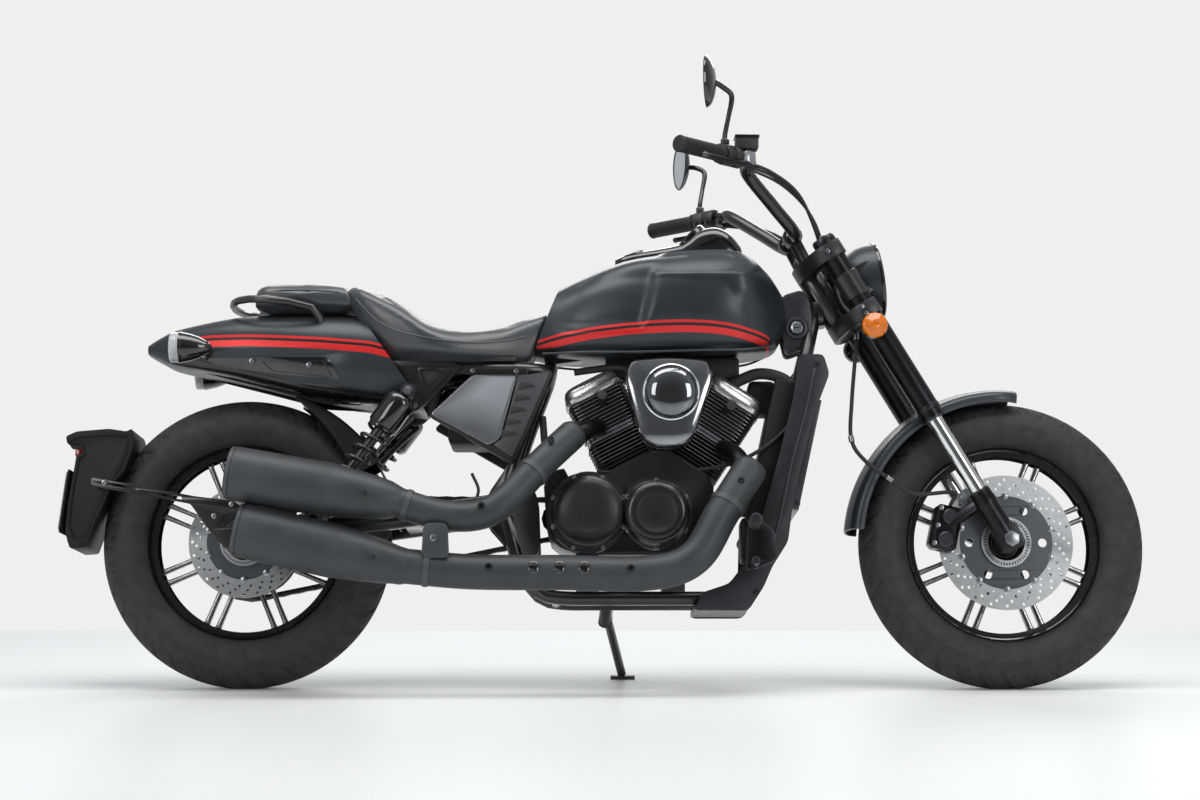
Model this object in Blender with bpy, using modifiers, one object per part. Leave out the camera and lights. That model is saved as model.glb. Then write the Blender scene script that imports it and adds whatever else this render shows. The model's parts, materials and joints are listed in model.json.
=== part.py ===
# Cruiser motorcycle with a V-twin engine, leaning on its side stand.
# Bike frame: x forward from the rear axle, y to the left, z up, upright, in metres.
# The whole bike is built upright and straight, then steered a little and leaned.

import math

import bmesh
import bpy
from mathutils import Matrix, Vector

# Stance
WHEELBASE = 1.685
LEAN = math.radians(7.0)
STEER = math.radians(3.5)
RAKE = math.radians(30.9)
FORK_OFFSET = 0.048
GAP = 0.0003
OVERRUN = 0.010
SMALL_SIDES = 8
ROUND_SIDES = 12
LARGE_SIDES = 20
WHEEL_SIDES = 32

# Wheels and tyres
FRONT_TYRE_RADIUS = 0.320
FRONT_TYRE_WIDTH = 0.130
FRONT_RIM_WIDTH = 0.089
REAR_TYRE_RADIUS = 0.3225
REAR_TYRE_WIDTH = 0.150
REAR_RIM_WIDTH = 0.114
BEAD_RADIUS = 0.2165
FLANGE_HEIGHT = 0.0165
FLANGE_THICKNESS = 0.006
BARREL_WALL = 0.0125
TREAD_THICKNESS = 0.012
SIDEWALL_THICKNESS = 0.008
CROWN_ANGLE = math.radians(52.0)
SPOKE_PAIRS = 8
SPOKE_WIDTH = 0.0105
SPOKE_DEPTH = 0.024
SPOKE_SPACING = 0.026
HUB_RADIUS = 0.060
HUB_NECK_RADIUS = 0.034
HUB_FLANGE_WIDTH = 0.036
AXLE_RADIUS = 0.0100
AXLE_PLAY = 0.0006
AXLE_NUT_RADIUS = 0.0175
DISC_THICKNESS = 0.005
DISC_BAND = 0.046
CARRIER_WINDOWS = 6
CARRIER_WINDOW_WIDTH = 0.020
FRONT_DISC_RADIUS = 0.150
REAR_DISC_RADIUS = 0.124
DISC_PLACE = 0.0625
RUNNING_CLEARANCE = 0.006

# Fork, yokes and bars
FORK_SPACING = 0.206
STANCHION_RADIUS = 0.0195
SLIDER_RADIUS = 0.0245
SLEEVE_RADIUS = 0.0270
SLIDER_LENGTH = 0.128
SLEEVE_BOTTOM = 0.316
LEG_TOP = 0.790
YOKE_THICKNESS = 0.034
YOKE_BOSS = 0.033
LOWER_YOKE_PLACE = 0.600
UPPER_YOKE_PLACE = 0.755
STEM_RADIUS = 0.0150
HEAD_TUBE_RADIUS = 0.0300
BAR_RADIUS = 0.0145
GRIP_RADIUS = 0.0180
GRIP_LENGTH = 0.128
RISER_RADIUS = 0.0150
HEADLAMP_RADIUS = 0.087
HEADLAMP_DEPTH = 0.085
HEADLAMP_TILT = math.radians(8.0)
HEADLAMP_WALL = 0.004
INDICATOR_RADIUS = 0.030
MIRROR_HALF_WIDTH = 0.052
MIRROR_HALF_HEIGHT = 0.056
MIRROR_DEPTH = 0.022

# Frame
TUBE_RADIUS = 0.0160
RAIL_SPREAD = 0.170
RAIL_HEIGHT = 0.196
SPINE_WIDTH = 0.050
SPINE_HEIGHT = 0.056
SPINE_REAR = (0.660, 0.752)
SPINE_FRONT = (1.292, 0.845)
PIVOT_PLACE = (0.560, 0.400)
PIVOT_PIN_RADIUS = 0.0090
PLATE_THICKNESS = 0.010
SEAT_RAIL_HEIGHT = 0.706
SEAT_RAIL_REAR = 0.3235

# Swingarm, shocks and chain
ARM_INNER = 0.104
ARM_WIDTH = 0.026
ARM_HEIGHT = 0.046
SHOCK_PLACE = 0.1625
SHOCK_TOP = (0.366, 0.645)
SHOCK_LOW = (0.150, 0.352)
SHOCK_BODY_RADIUS = 0.0175
SPRING_RADIUS = 0.0255
SPRING_TURNS = 8
SPRING_WIRE = 0.0045
SPROCKET_PLACE = 0.0930
SPROCKET_THICKNESS = 0.007
REAR_PITCH_RADIUS = 0.1160
FRONT_SPROCKET = (0.690, 0.390)
FRONT_PITCH_RADIUS = 0.0430
CHAIN_WIDTH = 0.017
CHAIN_HEIGHT = 0.0125
CHAIN_LINKS = 52

# Engine
CRANK_PLACE = (0.915, 0.385)
REAR_BANK = math.radians(-27.0)
FRONT_BANK = math.radians(33.0)
CASE_WIDTH = 0.230
CASE_BEVEL = 0.006
COVER_DEPTH = 0.062
CLUTCH_PLACE = (0.762, 0.382)
CLUTCH_RADIUS = 0.090
CLUTCH_CAP_RADIUS = 0.074
GENERATOR_PLACE = (0.912, 0.383)
GENERATOR_RADIUS = 0.080
GENERATOR_CAP_RADIUS = 0.067
BANK_BASE = 0.128
BARREL_LENGTH = 0.085
HEAD_LENGTH = 0.088
ROCKER_HEIGHT = 0.042
FIN_PITCH = 0.0115
FIN_THICKNESS = 0.0034
FIN_LENGTH = 0.140
FIN_WIDTH = 0.168
BARREL_CORE = 0.104
AIR_CLEANER_PLACE = (0.940, 0.622)
AIR_CLEANER_WIDTH = 0.196
AIR_CLEANER_HEIGHT = 0.202
AIR_CLEANER_FACE = 0.176
AIR_CLEANER_DEPTH = 0.058
DOME_RADIUS = 0.062
INTAKE_SIZE = 0.086

# Tank, seats, tail
TANK_LENGTH = 0.565
TANK_REAR = 0.640
TANK_BASE = 0.736
TANK_HEIGHT = 0.252
TANK_HALF_WIDTH = 0.158
SEAT_LENGTH = 0.433
SEAT_REAR = 0.205
SEAT_HEIGHT = 0.184
SEAT_HALF_WIDTH = 0.160
PILLION_REAR = 0.013
PILLION_LENGTH = 0.2255
PILLION_HEIGHT = 0.064
PILLION_HALF_WIDTH = 0.112
TAIL_LENGTH = 0.593
TAIL_REAR = -0.230
TAIL_BASE = 0.615
TAIL_HEIGHT = 0.224
TAIL_HALF_WIDTH = 0.136
GRAB_RADIUS = 0.0085

# Exhaust
MUFFLER_RADIUS = 0.059
PIPE_RADIUS = 0.033
LOWER_PIPE_RADIUS = 0.038

# Side stand
STAND_PIVOT = (0.802, 0.135, 0.176)
STAND_RADIUS = 0.0105
STAND_REACH = (0.049, 0.165)
STAND_FOOT_LENGTH = 0.056
STAND_FOOT_WIDTH = 0.034
STAND_FOOT_THICKNESS = 0.008
STAND_LUG_RADIUS = 0.0160
STAND_FOLDED = (-0.98, 0.06, 0.06)

# Places on the bars, as forward, side and up
BAR_CENTRE = (1.220, 1.015)
RISER_SPREAD = 0.080
BAR_KNEE = (1.102, 0.200, 1.121)
BAR_PERCH = (1.098, 0.260, 1.134)
BAR_END = (0.936, 0.400, 1.132)
GRIP_OVERHANG = 0.004
GRIP_PLAY = 0.0005
GRIP_GAP = 0.003
SWITCH_LENGTH = 0.058
SWITCH_RADIUS = 0.0230
LEVER_RADIUS = 0.0050
LEVER_AHEAD = 0.052
RESERVOIR_SIZE = (0.050, 0.036, 0.030)
RESERVOIR_INSET = 0.045
MIRROR_INSET = 0.010
MIRROR_STEM_RADIUS = 0.0050
MIRROR_ELBOW = (1.056, 0.330, 1.270)
MIRROR_HEAD = (1.004, 0.362, 1.282)
MIRROR_TURN = math.radians(-18.0)

# Places on the fork
HEADLAMP_PLACE = (1.408, 0, 0.9225)
LENS_BULGE = 0.020
LAMP_EAR = 0.660
LAMP_EAR_THICKNESS = 0.018
LAMP_EAR_HEIGHT = 0.050
INDICATOR_PLACE = (1.388, 0.138, 0.792)
INDICATOR_DEPTH = 0.028
INDICATOR_MOUNT = 0.556
STALK_RADIUS = 0.0085
FENDER_RADIUS = 0.350
FENDER_WALL = 0.0035
FENDER_HALF_WIDTH = 0.0740
FENDER_DROP = 0.030
FENDER_FRONT = math.radians(84.0)
FENDER_REAR = math.radians(175.0)
FENDER_STEPS = 10
FENDER_LUG_PLACE = 0.330
FENDER_LUG_LENGTH = 0.030
CALIPER_TURN = math.radians(167.6)
CALIPER_RADIUS = 0.140
CALIPER_SIZE = (0.062, 0.058, 0.100)
CALIPER_LUG_PLACE = 0.105
CALIPER_LUG_RADIUS = 0.013
HOSE_RADIUS = 0.0045

# Places on the frame, as forward and up
HEAD_JOIN = (1.270, 0.0125, 0.828)
# forward, side, up: down the front, along the bottom, up to the pivot
CRADLE_FRONT = ((1.235, 0.085, 0.680), (1.200, 0.085, 0.520), (1.165, 0.085, 0.360), (1.140, 0.085, 0.275),
                (1.100, 0.085, 0.219), (1.060, 0.085, 0.199), (1.030, 0.085, 0.196))
CRADLE_REAR = ((0.760, 0.085, 0.196), (0.700, 0.085, 0.197), (0.650, 0.075, 0.212), (0.605, 0.062, 0.280),
               (0.574, 0.062, 0.405))
POSTS = ((0.676, 0.0125, 0.722), (0.668, 0.060, 0.690), (0.640, 0.085, 0.620), (0.600, 0.069, 0.500),
         (0.572, 0.060, 0.385))
RAILS = ((0.668, 0.060, 0.706), (0.600, 0.085, 0.706))
POST_FOOT_SPREAD = 0.124
PIVOT_PLATE = ((0.535, 0.365), (0.620, 0.270), (0.655, 0.300), (0.650, 0.420), (0.600, 0.520), (0.540, 0.430))
SHOCK_PLATE = ((0.322, 0.712), (0.374, 0.618), (0.400, 0.622), (0.440, 0.712))
BRIDGES = ((1.010, 0.196), (0.690, 0.198), (0.420, 0.706))
STEM_PLAY = 0.0006
CROSS_PLACE = 0.385
CROSS_LENGTH = 0.070
GUARD_RADIUS = 0.338
GUARD_WALL = 0.004
GUARD_HALF_WIDTH = 0.070
GUARD_START = math.radians(6.0)
GUARD_END = math.radians(70.0)
GUARD_STEPS = 10
CHAIN_ROOM = 0.004

# Places on the engine, as forward and up
CASE_OUTLINE = ((0.662, 0.470), (0.672, 0.320), (0.735, 0.290), (0.965, 0.290), (1.020, 0.335),
                (1.045, 0.440), (0.930, 0.580), (0.780, 0.500))
SPROCKET_ROOM = ((0.560, 0.322), (0.752, 0.322), (0.752, 0.456), (0.560, 0.456))
MOUNT_PLACES = (0.760, 0.950)
MOUNT_LENGTH = 0.050
MOUNT_OVERLAP = 0.012
FIN_CORNER = 0.022
DOME_SHIFT = (0.004, 0.020)
DOME_HEIGHT = 0.024
INTAKE_SHIFT = (-0.004, 0.016)

# Exhaust, as forward, side and up
UPPER_MUFFLER = ((-0.015, -0.256, 0.455), (0.340, -0.256, 0.394))
UPPER_PIPE = ((0.340, -0.256, 0.394), (0.443, -0.252, 0.364), (0.525, -0.245, 0.364),
              (0.583, -0.235, 0.396), (0.657, -0.200, 0.478), (0.722, -0.160, 0.545))
REAR_PORT = (0.785, 0.575)
LOWER_MUFFLER = ((0.005, -0.256, 0.333), (0.356, -0.256, 0.254))
LOWER_PIPE = ((0.356, -0.256, 0.254), (0.509, -0.252, 0.241), (0.700, -0.245, 0.240),
              (0.896, -0.235, 0.240), (0.993, -0.225, 0.275), (1.053, -0.200, 0.373), (1.112, -0.168, 0.466))
FRONT_PORT = (1.060, 0.530)
PORT_RADIUS = 0.021

# Tank and seats
TANK_SLOPE = 0.354
TANK_TUNNEL_DEPTH = 0.160
TANK_TUNNEL_MARGIN = 0.0010
SEAT_SLOPE = -0.550
SEAT_BACK_FOOT = 0.305
SEAT_MARGIN = 0.0006
POD_REAR = 0.822
POD_LENGTH = 0.295
POD_BASE = 0.930
POD_HEIGHT = 0.113
POD_HALF_WIDTH = 0.056
GRAB_ROUTE = ((0.172, -0.096, 0.795), (0.145, -0.118, 0.842), (0.040, -0.127, 0.858),
              (-0.018, -0.098, 0.860), (-0.037, -0.045, 0.860), (-0.041, 0.0, 0.860))
BULLET_PLACE = (-0.148, 0.200, 0.737)
BULLET_LENGTH = 0.086
BULLET_RADIUS = 0.034
BULLET_BULGE = 0.006
BULLET_MOUNT = 0.070
COVER_OUTLINE = ((0.408, 0.597), (0.505, 0.690), (0.630, 0.690), (0.684, 0.700), (0.594, 0.490))
COVER_THICKNESS = 0.030
LOUVRES = 5
LOUVRE_START = (0.632, 0.655)
LOUVRE_STEP = (-0.0115, -0.028)
LOUVRE_SIZE = (0.034, 0.012, 0.008)
LOUVRE_TURN = math.radians(12.0)

# Radiator, cheeks and foot controls
RADIATOR_DEPTH = 0.032
RADIATOR_HEIGHT = 0.250
RADIATOR_SLATS = 12
RADIATOR_STANDOFF = 0.004
CHEEK_PLACE = 0.135
CHEEK_THICKNESS = 0.008
CHEEK_OUTLINE = ((1.229, 0.733), (1.282, 0.733), (1.295, 0.689), (1.262, 0.604), (1.235, 0.504),
                 (1.212, 0.405), (1.200, 0.317), (1.165, 0.262), (1.146, 0.218), (1.112, 0.166),
                 (0.994, 0.166), (1.010, 0.205), (1.070, 0.225), (1.105, 0.270), (1.140, 0.361),
                 (1.185, 0.516), (1.215, 0.640))
PAN_REAR = 0.994
PAN_FRONT = 1.112
PAN_THICKNESS = 0.012
PEG_MOUNT = (1.150, 0.292)
PEG_REACH = 0.200
PEG_PLATE = ((1.105, 0.245), (1.170, 0.270), (1.170, 0.330), (1.125, 0.372), (1.108, 0.345))
PEG_ARM_RADIUS = 0.012
PEG_RADIUS = 0.013
PEG_PLACE = (1.122, 0.350)
PEG_LENGTH = 0.105
PEDAL_PLACE = (1.122, 0.264)
PEDAL_LENGTH = 0.080

# Plate carrier, lamp and rear caliper
CARRIER_ARM = ((0.030, 0.300), (0.030, 0.345), (-0.020, 0.400), (-0.160, 0.430), (-0.330, 0.458),
               (-0.330, 0.438), (-0.120, 0.402), (-0.045, 0.375), (-0.030, 0.300))
CARRIER_BAR_RADIUS = 0.009
CARRIER_BAR_PLACE = (-0.322, 0.446)
FLAP_OUTLINE = ((-0.268, 0.578), (-0.268, 0.540), (-0.300, 0.478), (-0.345, 0.375), (-0.362, 0.308),
                (-0.392, 0.308), (-0.400, 0.330), (-0.400, 0.560), (-0.412, 0.566), (-0.400, 0.578))
FLAP_HALF_WIDTH = 0.085
PLATE_SHEET = 0.002
PLATE_SIZE = (0.180, 0.130)
PLATE_HEIGHT = 0.410
REAR_LAMP_SIZE = (0.014, 0.070, 0.022)
REAR_LAMP_HEIGHT = 0.510
REAR_CALIPER_TURN = math.radians(48.0)
REAR_CALIPER_RADIUS = 0.106
REAR_CALIPER_SIZE = (0.056, 0.056, 0.080)
REAR_BRACKET_WIDTH = 0.018
# up the fork, across, ahead of its plane
HOSE_ROUTE = ((0.5825, -0.060, -0.045), (0.560, -0.060, -0.045), (0.446, -0.090, -0.132), (0.370, -0.104, -0.183),
              (0.313, -0.112, -0.184), (0.251, -0.112, -0.158), (0.196, -0.104, -0.128))


# Shares: sections across the bike and stations along it

SECTION_SHARES = {
    # half width, height
    "tank": ((0.55, 0.0), (0.82, 0.07), (0.97, 0.28), (1.0, 0.47), (0.93, 0.71),
             (0.72, 0.89), (0.38, 0.975), (0.0, 1.0)),
    "pad": ((0.82, 0.0), (0.96, 0.12), (1.0, 0.38), (0.97, 0.66), (0.84, 0.87),
            (0.52, 0.98), (0.0, 1.0)),
}
# low forward, top forward, low height, top height, half width
TANK_STATION_SHARES = (
    (0.0, 0.103, 0.04, 0.65, 0.60), (0.10, 0.19, 0.01, 0.74, 0.80), (0.26, 0.30, 0.0, 0.85, 0.94),
    (0.44, 0.44, 0.0, 0.935, 1.0), (0.74, 0.72, 0.03, 0.99, 0.97), (0.87, 0.84, 0.05, 0.95, 0.80),
    (0.955, 0.93, 0.10, 0.80, 0.55), (0.995, 0.995, 0.25, 0.58, 0.30))
POD_STATION_SHARES = (
    (0.0, 0.0, 0.0, 0.36, 0.45), (0.12, 0.12, 0.0, 0.47, 0.70), (0.44, 0.44, 0.0, 0.62, 0.80),
    (0.54, 0.54, 0.0, 0.72, 0.90), (0.66, 0.64, 0.0, 0.93, 1.0), (0.78, 0.77, 0.0, 1.0, 1.0),
    (0.90, 0.88, 0.0, 0.88, 0.90), (1.0, 0.96, 0.0, 0.62, 0.72))
SEAT_STATION_SHARES = (
    (0.231, 0.0, 0.0, 0.94, 0.70), (0.32, 0.10, 0.0, 1.0, 0.88), (0.44, 0.28, 0.0, 0.78, 1.0),
    (0.56, 0.46, 0.0, 0.49, 1.0), (0.66, 0.62, 0.0, 0.39, 0.92), (0.82, 0.82, 0.0, 0.45, 0.72),
    (0.93, 0.96, 0.0, 0.60, 0.60), (1.03, 1.12, 0.02, 0.78, 0.50))
PILLION_STATION_SHARES = (
    (0.0, 0.03, 0.0, 0.86, 0.80), (0.14, 0.14, 0.0, 1.0, 0.97), (0.80, 0.80, 0.0, 0.97, 1.0),
    (1.1, 1.1, 0.0, 0.90, 0.94))
TAIL_STATION_SHARES = (
    (0.0, 0.0, 0.60, 0.70, 0.22), (0.05, 0.05, 0.53, 0.78, 0.38), (0.12, 0.12, 0.45, 0.86, 0.54),
    (0.30, 0.30, 0.36, 0.96, 0.77), (0.45, 0.45, 0.27, 1.0, 0.90), (0.70, 0.70, 0.12, 1.0, 1.0),
    (1.0, 1.0, 0.0, 1.0, 1.0))
# along the muffler from its front, width
MUFFLER_SHARES = ((0.06, 0.74), (0.36, 0.97), (0.96, 1.0), (1.0, 0.95))
NECK_END_SHARE = 0.03
# along the lamp, width
BULLET_SHARES = ((0.90, 0.28), (0.72, 0.62), (0.45, 0.88), (0.20, 1.0), (0.0, 1.0))
BULLET_STALK_SHARE = 0.62
BOWL_SHARES = ((0.93, 0.42), (0.72, 0.74), (0.42, 0.93), (0.15, 1.0), (0.0, 1.0))
LENS_SHARE = 0.62
# forward, up
SHIELD_SHARES = ((-0.30, -0.50), (0.24, -0.50), (0.50, 0.28), (0.44, 0.46), (0.0, 0.50),
                 (-0.44, 0.46), (-0.50, 0.28))
SHIELD_DEPTH_SHARES = ((1.0, 0.98), (0.30, 1.0), (0.10, 0.97), (0.0, 0.88))
SHIELD_CORNER_SHARE = 0.22
DOME_MID_SHARE = 0.72
# ahead of the fork's plane, across it
YOKE_OUTLINE_SHARES = ((-0.92, -0.26), (-0.92, 0.26), (-0.40, 1.0), (0.40, 1.0), (0.40, 0.50),
                       (-0.35, 0.42), (-0.35, -0.42), (0.40, -0.50), (0.40, -1.0), (-0.40, -1.0))
# along the link, height from the middle
LINK_STEPS_SHARES = ((0.0, 0.5), (0.5, 0.38))
INNER_STEPS_SHARES = ((0.0, 0.5), (0.5, 0.5))
FENDER_ARC_SHARES = (0.0, 0.45, 0.8, 1.0)
ARCH_SHARE = 0.9
COVER_TOP_SHARE = 0.80
COVER_EDGE_SHARE = 0.80
COVER_STEP_SHARE = 0.30
COVER_SHARE = 0.30
SEAT_SHARE = 0.10
COIL_GAP_SHARE = 0.5
CROSS_SHARE = 0.70
BRIDGE_SHARE = 0.80
QUARTER_SHARE = 0.25
BEVEL_SHARE = 0.15
ROCKER_SHARE = 0.92
ROCKER_BEVEL_SHARE = 0.30
MIRROR_FLAT_SHARE = 0.25
PEDAL_SHARE = 0.70
EYE_SHARE = 0.90
RADIATOR_SLAT_SHARE = 0.90
BEND_SHARE = 0.9
HOSE_SIDE_SHARE = 0.36
CLUTCH_DEPTH_SHARE = 0.86
COVER_DOME_SHARE = 0.97
TAIL_BORE_SHARE = 0.45
SPACER_SHARE = 1.30
# how far out a faceted tube's flats lie
FLAT_SHARE = 0.945


# Helpers: scene, materials and basic shapes

def clear_scene():
    for thing in list(bpy.data.objects):
        bpy.data.objects.remove(thing, do_unlink=True)


def make_collection(name):
    group = bpy.data.collections.new(name)
    bpy.context.scene.collection.children.link(group)
    return group


def paint(thing, colour, roughness, metallic):
    finish = bpy.data.materials.new(thing.name + "_finish")
    finish.use_nodes = True
    shader = finish.node_tree.nodes["Principled BSDF"]
    shader.inputs["Base Color"].default_value = (*colour, 1.0)
    shader.inputs["Roughness"].default_value = roughness
    shader.inputs["Metallic"].default_value = metallic
    thing.data.materials.clear()
    thing.data.materials.append(finish)


def new_object(name, data):
    thing = bpy.data.objects.new(name, data)
    MOTORCYCLE.objects.link(thing)
    return thing


def from_bmesh(name, shape):
    bmesh.ops.recalc_face_normals(shape, faces=shape.faces)
    mesh = bpy.data.meshes.new(name)
    shape.to_mesh(mesh)
    shape.free()
    return new_object(name, mesh)


def bake(thing):
    """Replace a curve or a modified object by its own closed mesh."""
    bpy.context.view_layer.update()
    seen = thing.evaluated_get(bpy.context.evaluated_depsgraph_get())
    mesh = bpy.data.meshes.new_from_object(seen)
    shape = bmesh.new()
    shape.from_mesh(mesh)
    bmesh.ops.remove_doubles(shape, verts=shape.verts, dist=WELD)
    bmesh.ops.recalc_face_normals(shape, faces=shape.faces)
    shape.to_mesh(mesh)
    shape.free()
    name = thing.name
    place = thing.matrix_world.copy()
    bpy.data.objects.remove(thing, do_unlink=True)
    solid = new_object(name, mesh)
    solid.matrix_world = place
    return solid


def combine(thing, others, operation):
    for other in others:
        step = thing.modifiers.new(operation.lower(), "BOOLEAN")
        step.operation = operation
        step.object = other
        thing = bake(thing)
        bpy.data.objects.remove(other, do_unlink=True)
    return thing


def fuse(thing, *others):
    return combine(thing, others, "UNION")


def cut(thing, *others):
    return combine(thing, others, "DIFFERENCE")


def box(name, size, centre, turn=(0, 0, 0)):
    shape = bmesh.new()
    bmesh.ops.create_cube(shape, size=1.0)
    bmesh.ops.scale(shape, vec=Vector(size), verts=shape.verts)
    thing = from_bmesh(name, shape)
    thing.location = centre
    thing.rotation_euler = turn
    return thing


def aimed(start, end):
    start, end = Vector(start), Vector(end)
    turn = (end - start).to_track_quat("Z", "Y").to_matrix().to_4x4()
    return Matrix.Translation((start + end) / 2) @ turn


def rod(name, start, end, radius, end_radius=None, sides=ROUND_SIDES):
    shape = bmesh.new()
    bmesh.ops.create_cone(
        shape, cap_ends=True, segments=sides, radius1=radius,
        radius2=radius if end_radius is None else end_radius,
        depth=(Vector(end) - Vector(start)).length)
    thing = from_bmesh(name, shape)
    thing.matrix_world = aimed(start, end)
    return thing


def smooth_route(points, steps=3):
    """Points of a smooth curve through the given ones."""
    route = [Vector(point) for point in points]
    padded = [2 * route[0] - route[1], *route, 2 * route[-1] - route[-2]]
    result = []
    for place in range(1, len(padded) - 2):
        before, start, end, after = padded[place - 1:place + 3]
        for step in range(steps):
            share = step / steps
            square, cube = share ** 2, share ** 3
            result.append((2 * start + (end - before) * share
                           + (2 * before - 5 * start + 4 * end - after) * square
                           + (3 * start - before - 3 * end + after) * cube) / 2)
    result.append(route[-1])
    return result


def tube(name, points, radius, cyclic=False, sides=2):
    curve = bpy.data.curves.new(name, "CURVE")
    curve.dimensions = "3D"
    curve.bevel_depth = radius
    curve.bevel_resolution = sides
    curve.use_fill_caps = not cyclic
    line = curve.splines.new("POLY")
    line.points.add(len(points) - 1)
    for spot, point in zip(line.points, points):
        spot.co = (*point, 1.0)
    line.use_cyclic_u = cyclic
    return bake(new_object(name, curve))


def sheet(name, outline, thickness, place=None):
    """A flat outline in x and z, given its thickness along y."""
    curve = bpy.data.curves.new(name, "CURVE")
    curve.dimensions = "2D"
    curve.fill_mode = "BOTH"
    curve.extrude = thickness / 2
    line = curve.splines.new("POLY")
    line.points.add(len(outline) - 1)
    for spot, point in zip(line.points, outline):
        spot.co = (point[0], point[1], 0, 1.0)
    line.use_cyclic_u = True
    thing = bake(new_object(name, curve))
    thing.rotation_euler.x = QUARTER
    if place is not None:
        thing.location = place
    return thing


def turned(name, profile, centre, axis=(0, 1, 0), sides=ROUND_SIDES, closed=False):
    """A profile of radius and height pairs turned about an axis."""
    shape = bmesh.new()
    spots = [shape.verts.new((radius, 0, height)) for radius, height in profile]
    loop = spots + spots[:1] if closed else spots
    for start, end in zip(loop, loop[1:]):
        shape.edges.new((start, end))
    mesh = bpy.data.meshes.new(name)
    shape.to_mesh(mesh)
    shape.free()
    thing = new_object(name, mesh)
    spin = thing.modifiers.new("turn", "SCREW")
    spin.steps = sides
    spin.render_steps = sides
    spin.use_merge_vertices = True
    spin.merge_threshold = WELD
    half_step = Matrix.Rotation(math.pi / sides, 4, "Z")
    thing.matrix_world = Matrix.Translation(Vector(centre)) @ upright(axis) @ half_step
    return bake(thing)


def upright(axis):
    return Vector(axis).to_track_quat("Z", "Y").to_matrix().to_4x4()


def loft(name, rings):
    """A closed skin over rings of equal counts, with flat ends."""
    shape = bmesh.new()
    rows = [[shape.verts.new(point) for point in ring] for ring in rings]
    for row, next_row in zip(rows, rows[1:]):
        for place in range(len(row)):
            after = (place + 1) % len(row)
            shape.faces.new((row[place], row[after], next_row[after], next_row[place]))
    shape.faces.new(rows[0])
    shape.faces.new(rows[-1])
    return from_bmesh(name, shape)


def soften(thing, width, segments=1, angle=35.0):
    edge = thing.modifiers.new("edges", "BEVEL")
    edge.width = width
    edge.segments = segments
    edge.limit_method = "ANGLE"
    edge.angle_limit = math.radians(angle)
    return bake(thing)


def rounded(corners, radius, steps=2):
    """An outline with its corners rounded by arcs."""
    outline = []
    count = len(corners)
    for place, corner in enumerate(corners):
        corner = Vector(corner)
        before = Vector(corners[place - 1]) - corner
        after = Vector(corners[(place + 1) % count]) - corner
        reach = min(radius, before.length / 2, after.length / 2)
        start = corner + before.normalized() * reach
        end = corner + after.normalized() * reach
        for step in range(steps + 1):
            share = step / steps
            outline.append((1 - share) ** 2 * start + 2 * share * (1 - share) * corner
                           + share ** 2 * end)
    return [(spot.x, spot.y) for spot in outline]


def ride(thing, empty, rest):
    thing.parent = empty
    thing.matrix_parent_inverse = rest.inverted()


def add_empty(name, rest, parent=None, parent_rest=None):
    empty = bpy.data.objects.new(name, None)
    MOTORCYCLE.objects.link(empty)
    if parent is None:
        empty.matrix_world = rest
    else:
        empty.parent = parent
        empty.matrix_parent_inverse = parent_rest.inverted()
        empty.matrix_basis = rest
    bpy.context.view_layer.update()
    return empty


WELD = 0.00002
QUARTER = math.pi / 2
BLACK = (0.012, 0.012, 0.013)
SATIN = (0.022, 0.023, 0.025)
CHARCOAL = (0.045, 0.050, 0.056)
GUNMETAL = (0.120, 0.120, 0.130)
RUBBER = (0.016, 0.016, 0.016)
STEEL = (0.560, 0.560, 0.560)
AMBER = (0.800, 0.250, 0.010)
CLEAR = (0.750, 0.780, 0.800)


# Wheels: tyre, cast rim with paired spokes, brake disc, sprocket

def tyre_half(radius, width, rim_width):
    """Outer then inner points of half a tyre section, as radius and side."""
    bead = rim_width / 2 - GAP
    flange_top = BEAD_RADIUS + FLANGE_HEIGHT
    bulge = (flange_top + radius) / 2 - SIDEWALL_THICKNESS
    crown = width / 2 / math.sin(CROWN_ANGLE)
    outer = [(BEAD_RADIUS, bead), (flange_top + 2 * GAP, bead), (bulge, width / 2)]
    for share in CROWN_SHARES:
        turn = CROWN_ANGLE * share
        outer.append((radius - crown * (1 - math.cos(turn)), crown * math.sin(turn) * TREAD_SHARE))
    inner_crown = radius - TREAD_THICKNESS
    inner = [
        (inner_crown, 0),
        (inner_crown - TREAD_THICKNESS, width / 2 - 2 * TREAD_THICKNESS),
        (bulge, width / 2 - SIDEWALL_THICKNESS),
        (BEAD_RADIUS, bead - SIDEWALL_THICKNESS),
    ]
    return outer, inner


def tyre(name, radius, width, rim_width, centre):
    outer, inner = tyre_half(radius, width, rim_width)
    mirrored = [(spot, -side) for spot, side in reversed(outer[:-1])]
    inner_mirrored = [(spot, -side) for spot, side in reversed(inner[1:])]
    profile = outer + mirrored + inner_mirrored + inner
    solid = turned(name, profile, centre, sides=WHEEL_SIDES, closed=True)
    paint(solid, RUBBER, 0.85, 0.0)
    return solid


def rim_profile(rim_width):
    edge = rim_width / 2 + FLANGE_THICKNESS
    top = BEAD_RADIUS + FLANGE_HEIGHT
    seat = BEAD_RADIUS - GAP
    inside = seat - BARREL_WALL
    half = [(top, edge), (top, rim_width / 2), (seat, rim_width / 2)]
    back = [(inside, SPOKE_DEPTH / 2), (seat - BARREL_WALL / 2, edge)]
    return (half + [(spot, -side) for spot, side in reversed(half)]
            + [(spot, -side) for spot, side in reversed(back)] + back)


def hub_profile(left_end, right_end):
    bore = AXLE_RADIUS + AXLE_PLAY
    flange = HUB_FLANGE_WIDTH / 2
    return [
        (bore, left_end), (HUB_NECK_RADIUS, left_end), (HUB_NECK_RADIUS, flange),
        (HUB_RADIUS, flange), (HUB_RADIUS, -flange), (HUB_NECK_RADIUS, -flange),
        (HUB_NECK_RADIUS, -right_end), (bore, -right_end)]


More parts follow.
